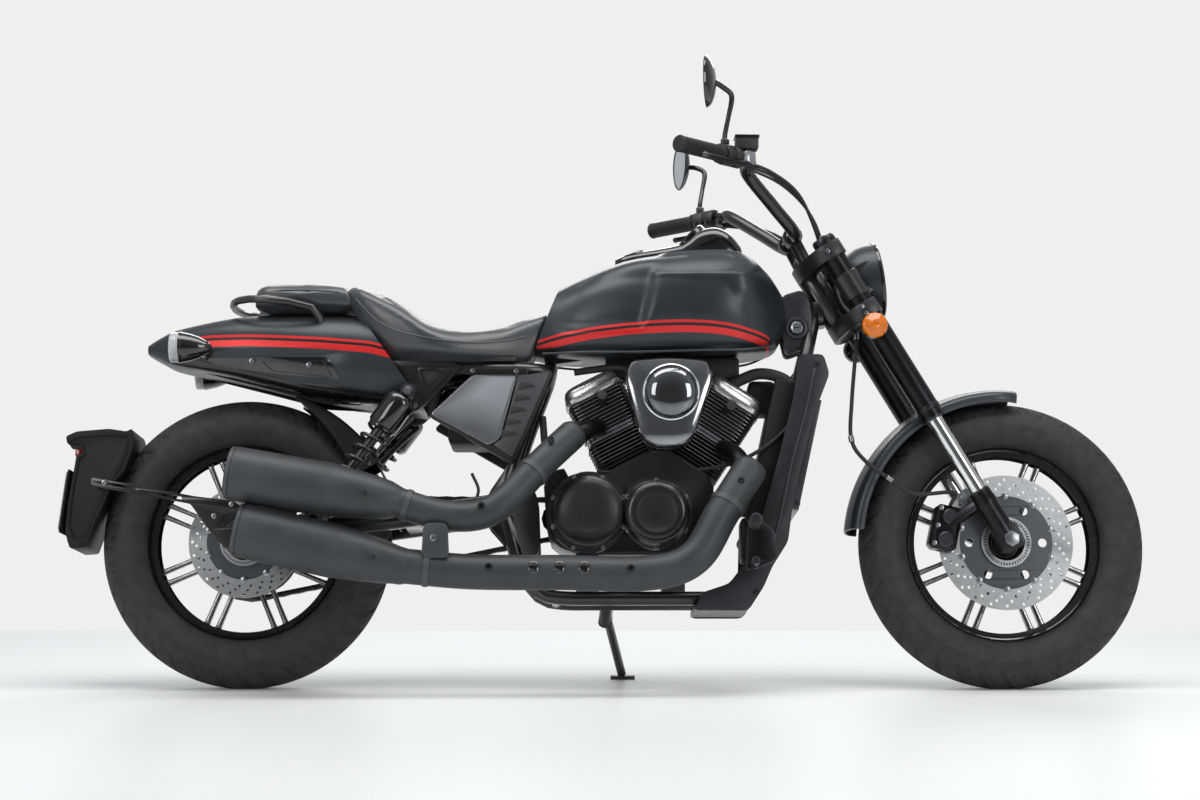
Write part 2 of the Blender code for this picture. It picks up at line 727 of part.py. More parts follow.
def spokes(name, centre, reach):
    """Paired bars from the hub to the barrel, one pair at each turn."""
    shape = bmesh.new()
    start = HUB_RADIUS - FLANGE_THICKNESS
    length = reach - start
    for pair in range(SPOKE_PAIRS):
        turn = Matrix.Rotation(2 * math.pi * (pair + HALF_SHARE) / SPOKE_PAIRS, 4, "Y")
        for side in (-1, 1):
            spot = Matrix.Translation((start + length / 2, 0, side * SPOKE_SPACING / 2))
            bmesh.ops.create_cube(shape, size=1.0, matrix=turn @ spot @ Matrix.Diagonal(
                (length, SPOKE_DEPTH, SPOKE_WIDTH, 1)))
    thing = from_bmesh(name, shape)
    thing.location = centre
    return thing


def rim(name, rim_width, left_end, centre):
    barrel = turned(name, rim_profile(rim_width), centre, sides=WHEEL_SIDES, closed=True)
    right_end = DISC_PLACE - DISC_THICKNESS / 2 - GAP
    hub = turned(name + "_hub", hub_profile(left_end, right_end), centre, closed=True)
    reach = BEAD_RADIUS - BARREL_WALL * HALF_SHARE
    solid = fuse(barrel, spokes(name + "_spokes", centre, reach), hub)
    paint(solid, BLACK, 0.35, 0.3)
    return solid


def brake_disc(name, radius, centre):
    """Swept band and a windowed carrier that bolts to the hub neck's face."""
    place = Vector(centre) - Vector((0, DISC_PLACE, 0))
    half = DISC_THICKNESS / 2
    band = radius - DISC_BAND
    bore = AXLE_NUT_RADIUS + RUNNING_CLEARANCE
    profile = [(radius, half), (radius, -half), (bore, -half), (bore, half)]
    solid = turned(name, profile, place, sides=WHEEL_SIDES, closed=True)
    middle = (band + HUB_NECK_RADIUS) / 2
    reach = (band - HUB_NECK_RADIUS) * WINDOW_SHARE
    windows = []
    for count in range(CARRIER_WINDOWS):
        turn = 2 * math.pi * count / CARRIER_WINDOWS
        spot = place + Vector((middle * math.cos(turn), 0, -middle * math.sin(turn)))
        windows.append(box(name + "_window", (reach, 2 * OVERRUN, CARRIER_WINDOW_WIDTH), spot,
                           (0, turn, 0)))
    solid = cut(solid, *windows)
    paint(solid, STEEL, 0.25, 1.0)
    return solid


def sprocket(centre):
    outer = tooth_radius(REAR_PITCH_RADIUS)
    inner = AXLE_NUT_RADIUS + RUNNING_CLEARANCE
    half = SPROCKET_THICKNESS / 2
    place = Vector(centre) + Vector((0, SPROCKET_PLACE, 0))
    profile = [(outer, half), (outer, -half), (inner, -half), (inner, half)]
    solid = turned("rear_sprocket", profile, place, sides=WHEEL_SIDES, closed=True)
    paint(solid, GUNMETAL, 0.4, 1.0)
    return solid


def axle(name, centre, half_length):
    """Axle through the hub and what carries it, with a nut at each end."""
    centre = Vector(centre)
    reach = Vector((0, half_length, 0))
    nut = Vector((0, AXLE_RADIUS, 0))
    solid = rod(name, centre - reach - nut * HALF_SHARE, centre + reach + nut * HALF_SHARE, AXLE_RADIUS,
                sides=SMALL_SIDES)
    nuts = [rod("nut", centre + side * reach, centre + side * (reach + nut), AXLE_NUT_RADIUS, sides=6)
            for side in (-1, 1)]
    solid = fuse(solid, *nuts)
    paint(solid, STEEL, 0.3, 1.0)
    return solid


CROWN_SHARES = (1.0, 0.55, 0.0)
TREAD_SHARE = 0.985
HALF_SHARE = 0.5
WINDOW_SHARE = 0.62


# Steering: axis, fork legs, yokes, bars, lamp, fender

def along_leg(distance, side=0.0, ahead=0.0):
    """A point up the fork from the axle, and ahead of the legs' plane."""
    up = Vector((-math.sin(RAKE), 0, math.cos(RAKE)))
    forward = Vector((math.cos(RAKE), 0, math.sin(RAKE)))
    return FRONT_AXLE + up * distance + forward * ahead + Vector((0, side, 0))


def fork_leg(name, side):
    """Slider, bright stanchion and outer sleeve of one leg, as one solid."""
    place = side * FORK_SPACING / 2
    slider = rod("fork_leg_" + name, along_leg(-AXLE_NUT_RADIUS, place), along_leg(SLIDER_LENGTH, place),
                 SLIDER_RADIUS)
    stanchion = rod("stanchion", along_leg(SLIDER_LENGTH - OVERRUN, place),
                    along_leg(SLEEVE_BOTTOM + OVERRUN, place), STANCHION_RADIUS)
    sleeve = rod("sleeve", along_leg(SLEEVE_BOTTOM, place), along_leg(LEG_TOP, place), SLEEVE_RADIUS)
    reach = Vector((0, FORK_SPACING, 0))
    bore = rod("bore", FRONT_AXLE - reach, FRONT_AXLE + reach, AXLE_RADIUS + 2 * GAP)
    solid = cut(fuse(slider, stanchion, sleeve), bore)
    paint(solid, SATIN, 0.4, 0.2)
    return solid


def yoke_plate(name, distance):
    """A plate square to the fork, rounded close round stem and legs."""
    boss = FORK_OFFSET + YOKE_BOSS
    width = FORK_SPACING / 2 + YOKE_BOSS
    outline = [(ahead * boss, across * width) for ahead, across in YOKE_OUTLINE_SHARES]
    plate = sheet(name, rounded(outline, YOKE_BOSS), YOKE_THICKNESS)
    ahead = Vector((math.cos(RAKE), 0, math.sin(RAKE)))
    up = Vector((-math.sin(RAKE), 0, math.cos(RAKE)))
    turn = Matrix((ahead, Vector((0, 1, 0)), up)).transposed().to_4x4()
    plate.matrix_world = Matrix.Translation(along_leg(distance)) @ turn
    holes = []
    for side in (-1, 1):
        place = side * FORK_SPACING / 2
        holes.append(rod("hole", along_leg(distance - YOKE_THICKNESS, place),
                         along_leg(distance + YOKE_THICKNESS, place), SLEEVE_RADIUS + GAP))
    return cut(plate, *holes)


def yokes():
    """Both yokes on one stem, with the handlebar risers."""
    lower = yoke_plate("fork_yokes", LOWER_YOKE_PLACE)
    upper = yoke_plate("upper_yoke", UPPER_YOKE_PLACE)
    stem = rod("stem", head_end(LOWER_YOKE_PLACE), head_end(UPPER_YOKE_PLACE), STEM_RADIUS)
    risers = []
    for side in (-1, 1):
        base = head_end(UPPER_YOKE_PLACE) + Vector((0, side * RISER_SPREAD / 2, 0))
        top = Vector((BAR_CENTRE[0], side * RISER_SPREAD / 2, BAR_CENTRE[1]))
        risers.append(rod("riser", base, top, RISER_RADIUS))
        clamp = Vector((0, RISER_RADIUS, 0))
        risers.append(rod("clamp", top - clamp, top + clamp, BAR_RADIUS + STEM_RADIUS * HALF_SHARE))
    solid = fuse(lower, upper, stem, *risers)
    reach = Vector((0, RISER_SPREAD, 0))
    middle = Vector((BAR_CENTRE[0], 0, BAR_CENTRE[1]))
    solid = cut(solid, rod("channel", middle - reach, middle + reach, BAR_RADIUS + GRIP_PLAY))
    paint(solid, SATIN, 0.4, 0.3)
    return solid


def bar_points(side):
    """Bar from its middle to its end, as forward, side and up."""
    return [Vector((BAR_CENTRE[0], 0, BAR_CENTRE[1])),
            Vector((BAR_CENTRE[0], side * RISER_SPREAD, BAR_CENTRE[1])),
            Vector((BAR_KNEE[0], side * BAR_KNEE[1], BAR_KNEE[2])),
            Vector((BAR_PERCH[0], side * BAR_PERCH[1], BAR_PERCH[2])),
            Vector((BAR_END[0], side * BAR_END[1], BAR_END[2]))]


def bar_outward(side):
    perch, end = bar_points(side)[-2:]
    return (end - perch).normalized()


def housing_start(side):
    return bar_points(side)[-1] - bar_outward(side) * (GRIP_LENGTH + GRIP_GAP)


def handlebar():
    """One bent tube, clamped in the middle, with a rubber grip at each end."""
    halves = []
    grips = []
    for side in (-1, 1):
        points = bar_points(side)
        bent = [points[0]] + smooth_route(points[1:-1])
        halves.append(bent + [points[-1]])
        outward = bar_outward(side)
        end = points[-1]
        grips.append(rod("grip", end - outward * GRIP_LENGTH, end + outward * GRIP_OVERHANG, GRIP_RADIUS))
    solid = tube("handlebar", list(reversed(halves[0])) + halves[1][1:], BAR_RADIUS)
    solid = fuse(solid, *grips)
    paint(solid, BLACK, 0.3, 0.3)
    return solid


def controls(name, side):
    """Switch housing, lever and, on the right, the fluid reservoir."""
    outward = bar_outward(side)
    start = housing_start(side)
    solid = rod("control_" + name, start - outward * SWITCH_LENGTH, start, SWITCH_RADIUS)
    ahead = Vector((LEVER_AHEAD, 0, -SWITCH_RADIUS))
    root = start - outward * SWITCH_LENGTH / 2
    tip = bar_points(side)[-1] + ahead
    route = smooth_route([root, start + ahead * BEND_SHARE, (start + tip + ahead) / 2, tip])
    pieces = [tube("lever", route, LEVER_RADIUS)]
    if side < 0:
        foot = start - outward * RESERVOIR_INSET
        lift = Vector((SWITCH_RADIUS, 0, BAR_RADIUS + RESERVOIR_SIZE[2] / 2))
        pieces.append(box("reservoir", RESERVOIR_SIZE, foot + lift))
    bore = rod("bore", start - outward * 2 * SWITCH_LENGTH, bar_points(side)[-1], BAR_RADIUS + GRIP_PLAY)
    solid = cut(fuse(solid, *pieces), bore)
    paint(solid, BLACK, 0.4, 0.1)
    return solid


def mirror(name, side):
    """Stem from the switch housing to an oval head facing the rider."""
    foot = housing_start(side) - bar_outward(side) * MIRROR_INSET
    foot.z += SWITCH_RADIUS + 2 * GAP
    elbow = Vector((MIRROR_ELBOW[0], side * MIRROR_ELBOW[1], MIRROR_ELBOW[2]))
    head = Vector((MIRROR_HEAD[0], side * MIRROR_HEAD[1], MIRROR_HEAD[2]))
    rise = Vector((0, 0, OVERRUN))
    solid = tube("mirror_" + name, [foot, foot + rise] + smooth_route([foot + 2 * rise, elbow, head]),
                 MIRROR_STEM_RADIUS, sides=1)
    shape = bmesh.new()
    bmesh.ops.create_uvsphere(shape, u_segments=2 * SMALL_SIDES, v_segments=SMALL_SIDES, radius=1.0)
    bmesh.ops.scale(shape, vec=Vector((MIRROR_DEPTH, MIRROR_HALF_WIDTH, MIRROR_HALF_HEIGHT)),
                    verts=shape.verts)
    shell = from_bmesh("shell", shape)
    shell.location = head
    shell.rotation_euler = (0, 0, side * MIRROR_TURN)
    knife = box("knife", (MIRROR_DEPTH * 2, MIRROR_HALF_WIDTH * 3, MIRROR_HALF_HEIGHT * 3),
                head - Vector((MIRROR_DEPTH * (1 + MIRROR_FLAT_SHARE), 0, 0)))
    knife.rotation_euler = (0, 0, side * MIRROR_TURN)
    solid = fuse(solid, cut(shell, knife))
    paint(solid, BLACK, 0.35, 0.1)
    return solid


def headlamp():
    """Bowl and clear lens, tilted up a little, on two ears."""
    axis = Vector((math.cos(HEADLAMP_TILT), 0, math.sin(HEADLAMP_TILT)))
    centre = Vector(HEADLAMP_PLACE)
    outer = [(0, -HEADLAMP_DEPTH)]
    inner = [(0, -HEADLAMP_DEPTH + HEADLAMP_WALL)]
    for share, width in BOWL_SHARES:
        outer.append((HEADLAMP_RADIUS * width, -HEADLAMP_DEPTH * share))
        inner.append(((HEADLAMP_RADIUS - HEADLAMP_WALL) * width,
                      -(HEADLAMP_DEPTH - HEADLAMP_WALL) * share))
    inner[-1] = (HEADLAMP_RADIUS - HEADLAMP_WALL, 0)
    bowl = turned("headlamp_bowl", outer + list(reversed(inner)), centre, axis, LARGE_SIDES)
    ear = box("ear", (LAMP_EAR_THICKNESS, FORK_SPACING, LAMP_EAR_HEIGHT), along_leg(LAMP_EAR), (0, -RAKE, 0))
    inside = turned("inside", inner + [(0, 0)], centre, axis, LARGE_SIDES)
    ear = cut(ear, inside)
    legs = [rod("leg", along_leg(0, side * FORK_SPACING / 2), along_leg(LEG_TOP, side * FORK_SPACING / 2),
                SLEEVE_RADIUS + GAP) for side in (-1, 1)]
    bowl = cut(fuse(bowl, ear), *legs)
    paint(bowl, CHARCOAL, 0.5, 0.3)
    rim_radius = HEADLAMP_RADIUS - HEADLAMP_WALL - GAP
    lens = turned("headlamp_lens", [(0, LENS_BULGE), (rim_radius * LENS_SHARE, LENS_BULGE * LENS_SHARE),
                                    (rim_radius, 0), (rim_radius, -HEADLAMP_WALL), (0, -HEADLAMP_WALL)],
                  centre, axis, LARGE_SIDES)
    paint(lens, CLEAR, 0.05, 0.0)
    return bowl, lens


def front_indicator(name, side):
    """Round amber lamp on a short stalk at the sleeve's side."""
    centre = Vector((INDICATOR_PLACE[0], side * INDICATOR_PLACE[1], INDICATOR_PLACE[2]))
    face = centre + Vector((0, side * INDICATOR_DEPTH, 0))
    solid = rod("front_indicator_" + name, centre, face, INDICATOR_RADIUS)
    target = along_leg(INDICATOR_MOUNT, side * FORK_SPACING / 2)
    stalk = rod("stalk", target, centre + Vector((0, side * OVERRUN, 0)), STALK_RADIUS)
    sleeve = rod("sleeve", along_leg(SLEEVE_BOTTOM, side * FORK_SPACING / 2),
                 along_leg(LEG_TOP, side * FORK_SPACING / 2), SLEEVE_RADIUS + GAP)
    solid = cut(fuse(solid, stalk), sleeve)
    paint(solid, AMBER, 0.2, 0.0)
    return solid


def fender_ring(radius, half_width, drop, turn):
    """One arched section of the fender, across the tyre."""
    out = Vector((math.cos(turn), 0, math.sin(turn)))
    ring = []
    for outer in (True, False):
        wall = 0 if outer else FENDER_WALL
        points = [(radius - wall - drop, half_width - wall)]
        for share in FENDER_ARC_SHARES:
            bend = QUARTER * share
            points.append((radius - wall - drop * (1 - math.sin(bend)) * ARCH_SHARE,
                           (half_width - wall) * math.cos(bend)))
        mirrored = [(spot, -side) for spot, side in reversed(points)]
        points = points + mirrored[1:]
        ring.extend(points if outer else reversed(points))
    return [FRONT_AXLE + out * spot + Vector((0, side, 0)) for spot, side in ring]


def front_fender():
    rings = []
    for step in range(FENDER_STEPS + 1):
        share = step / FENDER_STEPS
        turn = FENDER_FRONT + (FENDER_REAR - FENDER_FRONT) * share
        rings.append(fender_ring(FENDER_RADIUS, FENDER_HALF_WIDTH, FENDER_DROP, turn))
    solid = loft("front_fender", rings)
    lugs = []
    for side in (-1, 1):
        inner = along_leg(FENDER_LUG_PLACE, side * (FENDER_HALF_WIDTH - FENDER_WALL * HALF_SHARE), 0)
        outer = along_leg(FENDER_LUG_PLACE, side * FORK_SPACING / 2, 0)
        lug = box("lug", (FENDER_LUG_LENGTH, (outer - inner).length, FENDER_LUG_LENGTH), (inner + outer) / 2,
                  (0, -RAKE, 0))
        leg = rod("leg", along_leg(0, side * FORK_SPACING / 2), along_leg(LEG_TOP, side * FORK_SPACING / 2),
                  SLEEVE_RADIUS + GAP)
        lugs.append(cut(lug, leg))
    solid = fuse(solid, *lugs)
    paint(solid, CHARCOAL, 0.5, 0.3)
    return solid


def front_caliper():
    """Caliper over the disc, on a lug that reaches the right slider."""
    turn = CALIPER_TURN
    out = Vector((math.cos(turn), 0, math.sin(turn)))
    middle = FRONT_AXLE + out * CALIPER_RADIUS - Vector((0, DISC_PLACE, 0))
    body = soften(box("front_caliper", CALIPER_SIZE, middle, (0, -turn, 0)), CALIPER_SIZE[0] * BEVEL_SHARE)
    lug_end = along_leg(CALIPER_LUG_PLACE, -FORK_SPACING / 2)
    lug_start = middle - Vector((0, CALIPER_SIZE[1] / 2 - CALIPER_LUG_RADIUS, 0))
    lug = rod("lug", lug_start, lug_end, CALIPER_LUG_RADIUS, sides=SMALL_SIDES)
    slot_half = DISC_THICKNESS / 2 + RUNNING_CLEARANCE
    reach = FRONT_DISC_RADIUS + RUNNING_CLEARANCE
    slot = turned("slot", [(0, slot_half), (reach, slot_half), (reach, -slot_half), (0, -slot_half)],
                  FRONT_AXLE - Vector((0, DISC_PLACE, 0)), sides=WHEEL_SIDES)
    leg = rod("leg", along_leg(-FORK_SPACING / 2, -FORK_SPACING / 2),
              along_leg(SLIDER_LENGTH, -FORK_SPACING / 2), SLIDER_RADIUS + GAP)
    solid = cut(fuse(body, lug), slot, leg)
    paint(solid, BLACK, 0.4, 0.3)
    return solid


def brake_hose():
    """Hose from the lower yoke, in a loop behind the fork, to the caliper."""
    points = [along_leg(*place) for place in HOSE_ROUTE]
    out = Vector((math.cos(CALIPER_TURN), 0, math.sin(CALIPER_TURN)))
    lift = Vector((out.z, 0, -out.x))
    end = FRONT_AXLE + out * CALIPER_RADIUS + Vector((0, -DISC_PLACE - CALIPER_SIZE[1] * HOSE_SIDE_SHARE, 0))
    end += lift * (CALIPER_SIZE[2] / 2 + GAP)
    bend = smooth_route([*points[1:], end + lift * 3 * OVERRUN])
    solid = tube("brake_hose", [points[0], *bend, end], HOSE_RADIUS, sides=1)
    paint(solid, RUBBER, 0.6, 0.0)
    return solid


# Frame and swingarm

def mirrored_tubes(name, runs, radius):
    """The same tube on both sides; each run is smooth, straight between."""
    pieces = []
    for side in (-1, 1):
        route = []
        for run in runs:
            route += smooth_route([Vector((spot[0], side * spot[1], spot[2])) for spot in run], 2)
        pieces.append(tube(name, route, radius))
    return pieces


def head_end(distance):
    return along_leg(distance, 0, -FORK_OFFSET)


def frame():
    """Head tube, box spine, cradle, posts, rails and their plates."""
    low = LOWER_YOKE_PLACE + YOKE_THICKNESS / 2 + GAP
    high = UPPER_YOKE_PLACE - YOKE_THICKNESS / 2 - GAP
    head = rod("frame", head_end(low), head_end(high), HEAD_TUBE_RADIUS)
    half = RAIL_SPREAD / 2
    foot = POST_FOOT_SPREAD / 2
    cradle = mirrored_tubes("cradle", ((HEAD_JOIN, *CRADLE_FRONT), CRADLE_REAR), TUBE_RADIUS)
    posts = mirrored_tubes("posts", (POSTS,), TUBE_RADIUS)
    rails = mirrored_tubes("rails", ((*RAILS, (SEAT_RAIL_REAR, half, SEAT_RAIL_HEIGHT)),), TUBE_RADIUS)
    bridges = [rod("bridge", (spot[0], -half, spot[1]), (spot[0], half, spot[1]), TUBE_RADIUS * BRIDGE_SHARE,
                   sides=SMALL_SIDES) for spot in BRIDGES]
    plates = []
    pins = []
    for side in (-1, 1):
        plates.append(sheet("pivot_plate", rounded(PIVOT_PLATE, OVERRUN), PLATE_THICKNESS,
                            (0, side * (foot + PLATE_THICKNESS * QUARTER_SHARE), 0)))
        place = side * (half + PLATE_THICKNESS / 2)
        plates.append(sheet("shock_plate", rounded(SHOCK_PLATE, OVERRUN), PLATE_THICKNESS, (0, place, 0)))
        stud = side * (SHOCK_PLACE + SHOCK_BODY_RADIUS)
        pins.append(rod("stud", (SHOCK_TOP[0], side * half, SHOCK_TOP[1]), (SHOCK_TOP[0], stud, SHOCK_TOP[1]),
                        PIVOT_PIN_RADIUS, sides=SMALL_SIDES))
    spacer = ARM_INNER - GAP
    tip = ARM_INNER + ARM_WIDTH + PLATE_THICKNESS
    wide = TUBE_RADIUS * SPACER_SHARE
    pins.append(turned("pin", [(0, -tip), (PIVOT_PIN_RADIUS, -tip), (PIVOT_PIN_RADIUS, -spacer),
                               (wide, -spacer), (wide, spacer), (PIVOT_PIN_RADIUS, spacer),
                               (PIVOT_PIN_RADIUS, tip), (0, tip)],
                       (PIVOT_PLACE[0], 0, PIVOT_PLACE[1])))
    bore = rod("bore", head_end(low - OVERRUN), head_end(high + OVERRUN), STEM_RADIUS + STEM_PLAY)
    solid = fuse(head, spine(), *cradle, *posts, *rails, *bridges, *plates, *pins, stand_lug())
    solid = cut(solid, bore)
    paint(solid, BLACK, 0.35, 0.2)
    return solid


def spine():
    start = Vector((SPINE_REAR[0], 0, SPINE_REAR[1]))
    end = Vector((SPINE_FRONT[0], 0, SPINE_FRONT[1]))
    slope = spine_slope()
    return box("spine", ((end - start).length, SPINE_WIDTH, SPINE_HEIGHT), (start + end) / 2, (0, -slope, 0))


def spine_slope():
    return math.atan2(SPINE_FRONT[1] - SPINE_REAR[1], SPINE_FRONT[0] - SPINE_REAR[0])


def stand_lug():
    """Lug under the left rail that carries the stand's pivot."""
    top = (STAND_PIVOT[0], RAIL_SPREAD / 2, RAIL_HEIGHT)
    pivot = Vector(STAND_PIVOT)
    back = pivot - stand_axis() * (STAND_RADIUS + GAP)
    lug = rod("stand_lug", top, back - stand_axis() * STAND_LUG_RADIUS, STAND_LUG_RADIUS * EYE_SHARE,
              sides=SMALL_SIDES)
    ear = rod("ear", back - stand_axis() * 2 * PLATE_THICKNESS, back, STAND_LUG_RADIUS)
    pin = rod("pin", back - stand_axis() * PLATE_THICKNESS, pivot + stand_axis() * 2 * STAND_RADIUS,
              PIVOT_PIN_RADIUS * HALF_SHARE)
    return fuse(ear, lug, pin)


def arm_slope():
    return math.atan2(PIVOT_PLACE[1] - REAR_AXLE.z, PIVOT_PLACE[0])


def cross_box():
    size = (CROSS_LENGTH, 2 * ARM_INNER + ARM_WIDTH, ARM_HEIGHT * CROSS_SHARE)
    height = REAR_AXLE.z + CROSS_PLACE * math.tan(arm_slope())
    return box("cross", size, (CROSS_PLACE, 0, height), (0, -arm_slope(), 0))


def swingarm():
    """Two box arms and a crosspiece, round the pivot pin and the axle."""
    reach = math.hypot(PIVOT_PLACE[1] - REAR_AXLE.z, PIVOT_PLACE[0]) + ARM_HEIGHT
    middle = (PIVOT_PLACE[0] / 2, (PIVOT_PLACE[1] + REAR_AXLE.z) / 2)
    arms = []
    studs = []
    for side in (-1, 1):
        centre = (middle[0], side * (ARM_INNER + ARM_WIDTH / 2), middle[1])
        arms.append(box("swingarm", (reach, ARM_WIDTH, ARM_HEIGHT), centre, (0, -arm_slope(), 0)))
        start = (SHOCK_LOW[0], side * (ARM_INNER + ARM_WIDTH / 2), SHOCK_LOW[1])
        end = (SHOCK_LOW[0], side * (SHOCK_PLACE + SHOCK_BODY_RADIUS), SHOCK_LOW[1])
        studs.append(rod("stud", start, end, PIVOT_PIN_RADIUS, sides=SMALL_SIDES))
    wide = Vector((0, 2 * (ARM_INNER + ARM_WIDTH), 0))
    pivot = Vector((PIVOT_PLACE[0], 0, PIVOT_PLACE[1]))
    bore = PIVOT_PIN_RADIUS + 2 * GAP
    pin = turned("pin", [(0, -wide.y), (bore, -wide.y), (bore, wide.y), (0, wide.y)], pivot)
    shaft = rod("shaft", REAR_AXLE - wide, REAR_AXLE + wide, AXLE_RADIUS + GAP, sides=SMALL_SIDES)
    solid = soften(fuse(arms[0], arms[1], cross_box()), ARM_HEIGHT / 8)
    solid = cut(fuse(solid, *studs, *mudguard()), pin, shaft)
    paint(solid, BLACK, 0.4, 0.2)
    return solid


def mudguard():
    """Inner guard behind the engine, with its lug on the arm's cross."""
    rings = []
    for step in range(GUARD_STEPS + 1):
        turn = GUARD_START + (GUARD_END - GUARD_START) * step / GUARD_STEPS
        out = Vector((math.cos(turn), 0, math.sin(turn)))
        ring = []
        for radius, side in ((0, -1), (0, 1), (GUARD_WALL, 1), (GUARD_WALL, -1)):
            ring.append(REAR_AXLE + out * (GUARD_RADIUS + radius) + Vector((0, side * GUARD_HALF_WIDTH, 0)))
        rings.append(ring)
    start = GUARD_RADIUS - GUARD_WALL
    lug = box("lug", (CROSS_PLACE - start, GUARD_HALF_WIDTH, ARM_HEIGHT * HALF_SHARE),
              ((CROSS_PLACE + start) / 2, 0, REAR_AXLE.z + CROSS_PLACE * math.tan(arm_slope())))
    return loft("guard", rings), lug


def shock(name, side):
    """One turned strut: cover, coils and seat round the damper's body."""
    top = Vector((SHOCK_TOP[0], side * SHOCK_PLACE, SHOCK_TOP[1]))
    low = Vector((SHOCK_LOW[0], side * SHOCK_PLACE, SHOCK_LOW[1]))
    length = (low - top).length
    wide = SPRING_RADIUS + SPRING_WIRE
    cover_end = length * COVER_SHARE
    seat = length * (1 - SEAT_SHARE)
    profile = [(0, -SHOCK_BODY_RADIUS), (SHOCK_BODY_RADIUS, -SHOCK_BODY_RADIUS),
               (SHOCK_BODY_RADIUS, SHOCK_BODY_RADIUS), (wide, SHOCK_BODY_RADIUS), (wide, cover_end)]
    pitch = (seat - cover_end) / SPRING_TURNS
    for count in range(SPRING_TURNS):
        profile.append((SPRING_RADIUS - SPRING_WIRE, cover_end + pitch * (count + COIL_GAP_SHARE)))
        profile.append((wide, cover_end + pitch * (count + 1)))
    profile += [(wide, length - SHOCK_BODY_RADIUS), (SHOCK_BODY_RADIUS, length - SHOCK_BODY_RADIUS),
                (SHOCK_BODY_RADIUS, length + SHOCK_BODY_RADIUS), (0, length + SHOCK_BODY_RADIUS)]
    solid = turned("shock_" + name, profile, top, low - top)
    across = Vector((0, 2 * SHOCK_PLACE, 0))
    eyes = [rod("eye", spot - across, spot + across, PIVOT_PIN_RADIUS + GAP, sides=SMALL_SIDES)
            for spot in (top, low)]
    solid = cut(solid, *eyes)
    paint(solid, BLACK, 0.3, 0.3)
    return solid


def chain_run():
    """Straight length, lean and drop of the chain between its sprockets."""
    reach = Vector(FRONT_SPROCKET) - Vector((0, REAR_AXLE.z))
    difference = REAR_PITCH_RADIUS - FRONT_PITCH_RADIUS
    run = math.sqrt(reach.length ** 2 - difference ** 2)
    return run, math.atan2(reach.y, reach.x), math.asin(difference / reach.length)


def chain_length():
    run, _, drop = chain_run()
    return 2 * run + (math.pi + 2 * drop) * REAR_PITCH_RADIUS + (math.pi - 2 * drop) * FRONT_PITCH_RADIUS


def chain_spot(distance, offset):
    """A point on the chain's loop, offset outward from the pitch line."""
    run, lean, drop = chain_run()
    rear = Vector((0, REAR_AXLE.z))
    front = Vector(FRONT_SPROCKET)
    rear_arc = (math.pi + 2 * drop) * REAR_PITCH_RADIUS
    front_arc = (math.pi - 2 * drop) * FRONT_PITCH_RADIUS
    top_turn = lean + QUARTER - drop
    low_turn = lean - QUARTER + drop
    distance = distance % chain_length()
    if distance < rear_arc:
        return rear + ray(top_turn + distance / REAR_PITCH_RADIUS) * (REAR_PITCH_RADIUS + offset)
    distance -= rear_arc
    if distance < run:
        return rear + ray(low_turn) * (REAR_PITCH_RADIUS + offset) + ray(low_turn + QUARTER) * distance
    distance -= run
    if distance < front_arc:
        return front + ray(low_turn + distance / FRONT_PITCH_RADIUS) * (FRONT_PITCH_RADIUS + offset)
    distance -= front_arc
    return front + ray(top_turn) * (FRONT_PITCH_RADIUS + offset) + ray(top_turn + QUARTER) * distance


def ray(turn):
    return Vector((math.cos(turn), math.sin(turn)))


def chain_outline(side, steps):
    """The loop's outer or inner edge, stepped link by link."""
    spots = []
    for link in range(CHAIN_LINKS):
        for share, height in steps:
            spots.append(chain_spot(chain_length() * (link + share) / CHAIN_LINKS, side * CHAIN_HEIGHT * height))
    return [(spot.x, spot.y) for spot in spots]


def chain():
    """Closed loop round both sprockets, its edges stepped link by link."""
    place = (0, SPROCKET_PLACE, 0)
    solid = sheet("chain", chain_outline(1, LINK_STEPS_SHARES), CHAIN_WIDTH, place)
    hole = sheet("hole", chain_outline(-1, INNER_STEPS_SHARES), CHAIN_WIDTH + 2 * OVERRUN, place)
    solid = cut(solid, hole)
    paint(solid, GUNMETAL, 0.5, 0.9)
    return solid


def tooth_radius(pitch_radius):
    """Radius that fits inside the chain's straight inner edges."""
    half_turn = chain_length() / CHAIN_LINKS / len(INNER_STEPS_SHARES) / 2 / pitch_radius
    return (pitch_radius - CHAIN_HEIGHT / 2) * math.cos(half_turn) - 2 * GAP


def gearbox_end():
    """The gearbox shaft with its solid sprocket, just inside the chain."""
    place = Vector((FRONT_SPROCKET[0], SPROCKET_PLACE, FRONT_SPROCKET[1]))
    half = Vector((0, SPROCKET_THICKNESS / 2, 0))
    inside = Vector((FRONT_SPROCKET[0], 0, FRONT_SPROCKET[1]))
    teeth = rod("teeth", place - half, place + half, tooth_radius(FRONT_PITCH_RADIUS))
    return rod("shaft", inside, place, TUBE_RADIUS), teeth


# Engine: crankcase, round covers, finned banks, air cleaner

def bank_place(lean, distance, side=0.0, ahead=0.0):
    up = Vector((math.sin(lean), 0, math.cos(lean)))
    forward = Vector((math.cos(lean), 0, -math.sin(lean)))
    return Vector((CRANK_PLACE[0], side, CRANK_PLACE[1])) + up * distance + forward * ahead


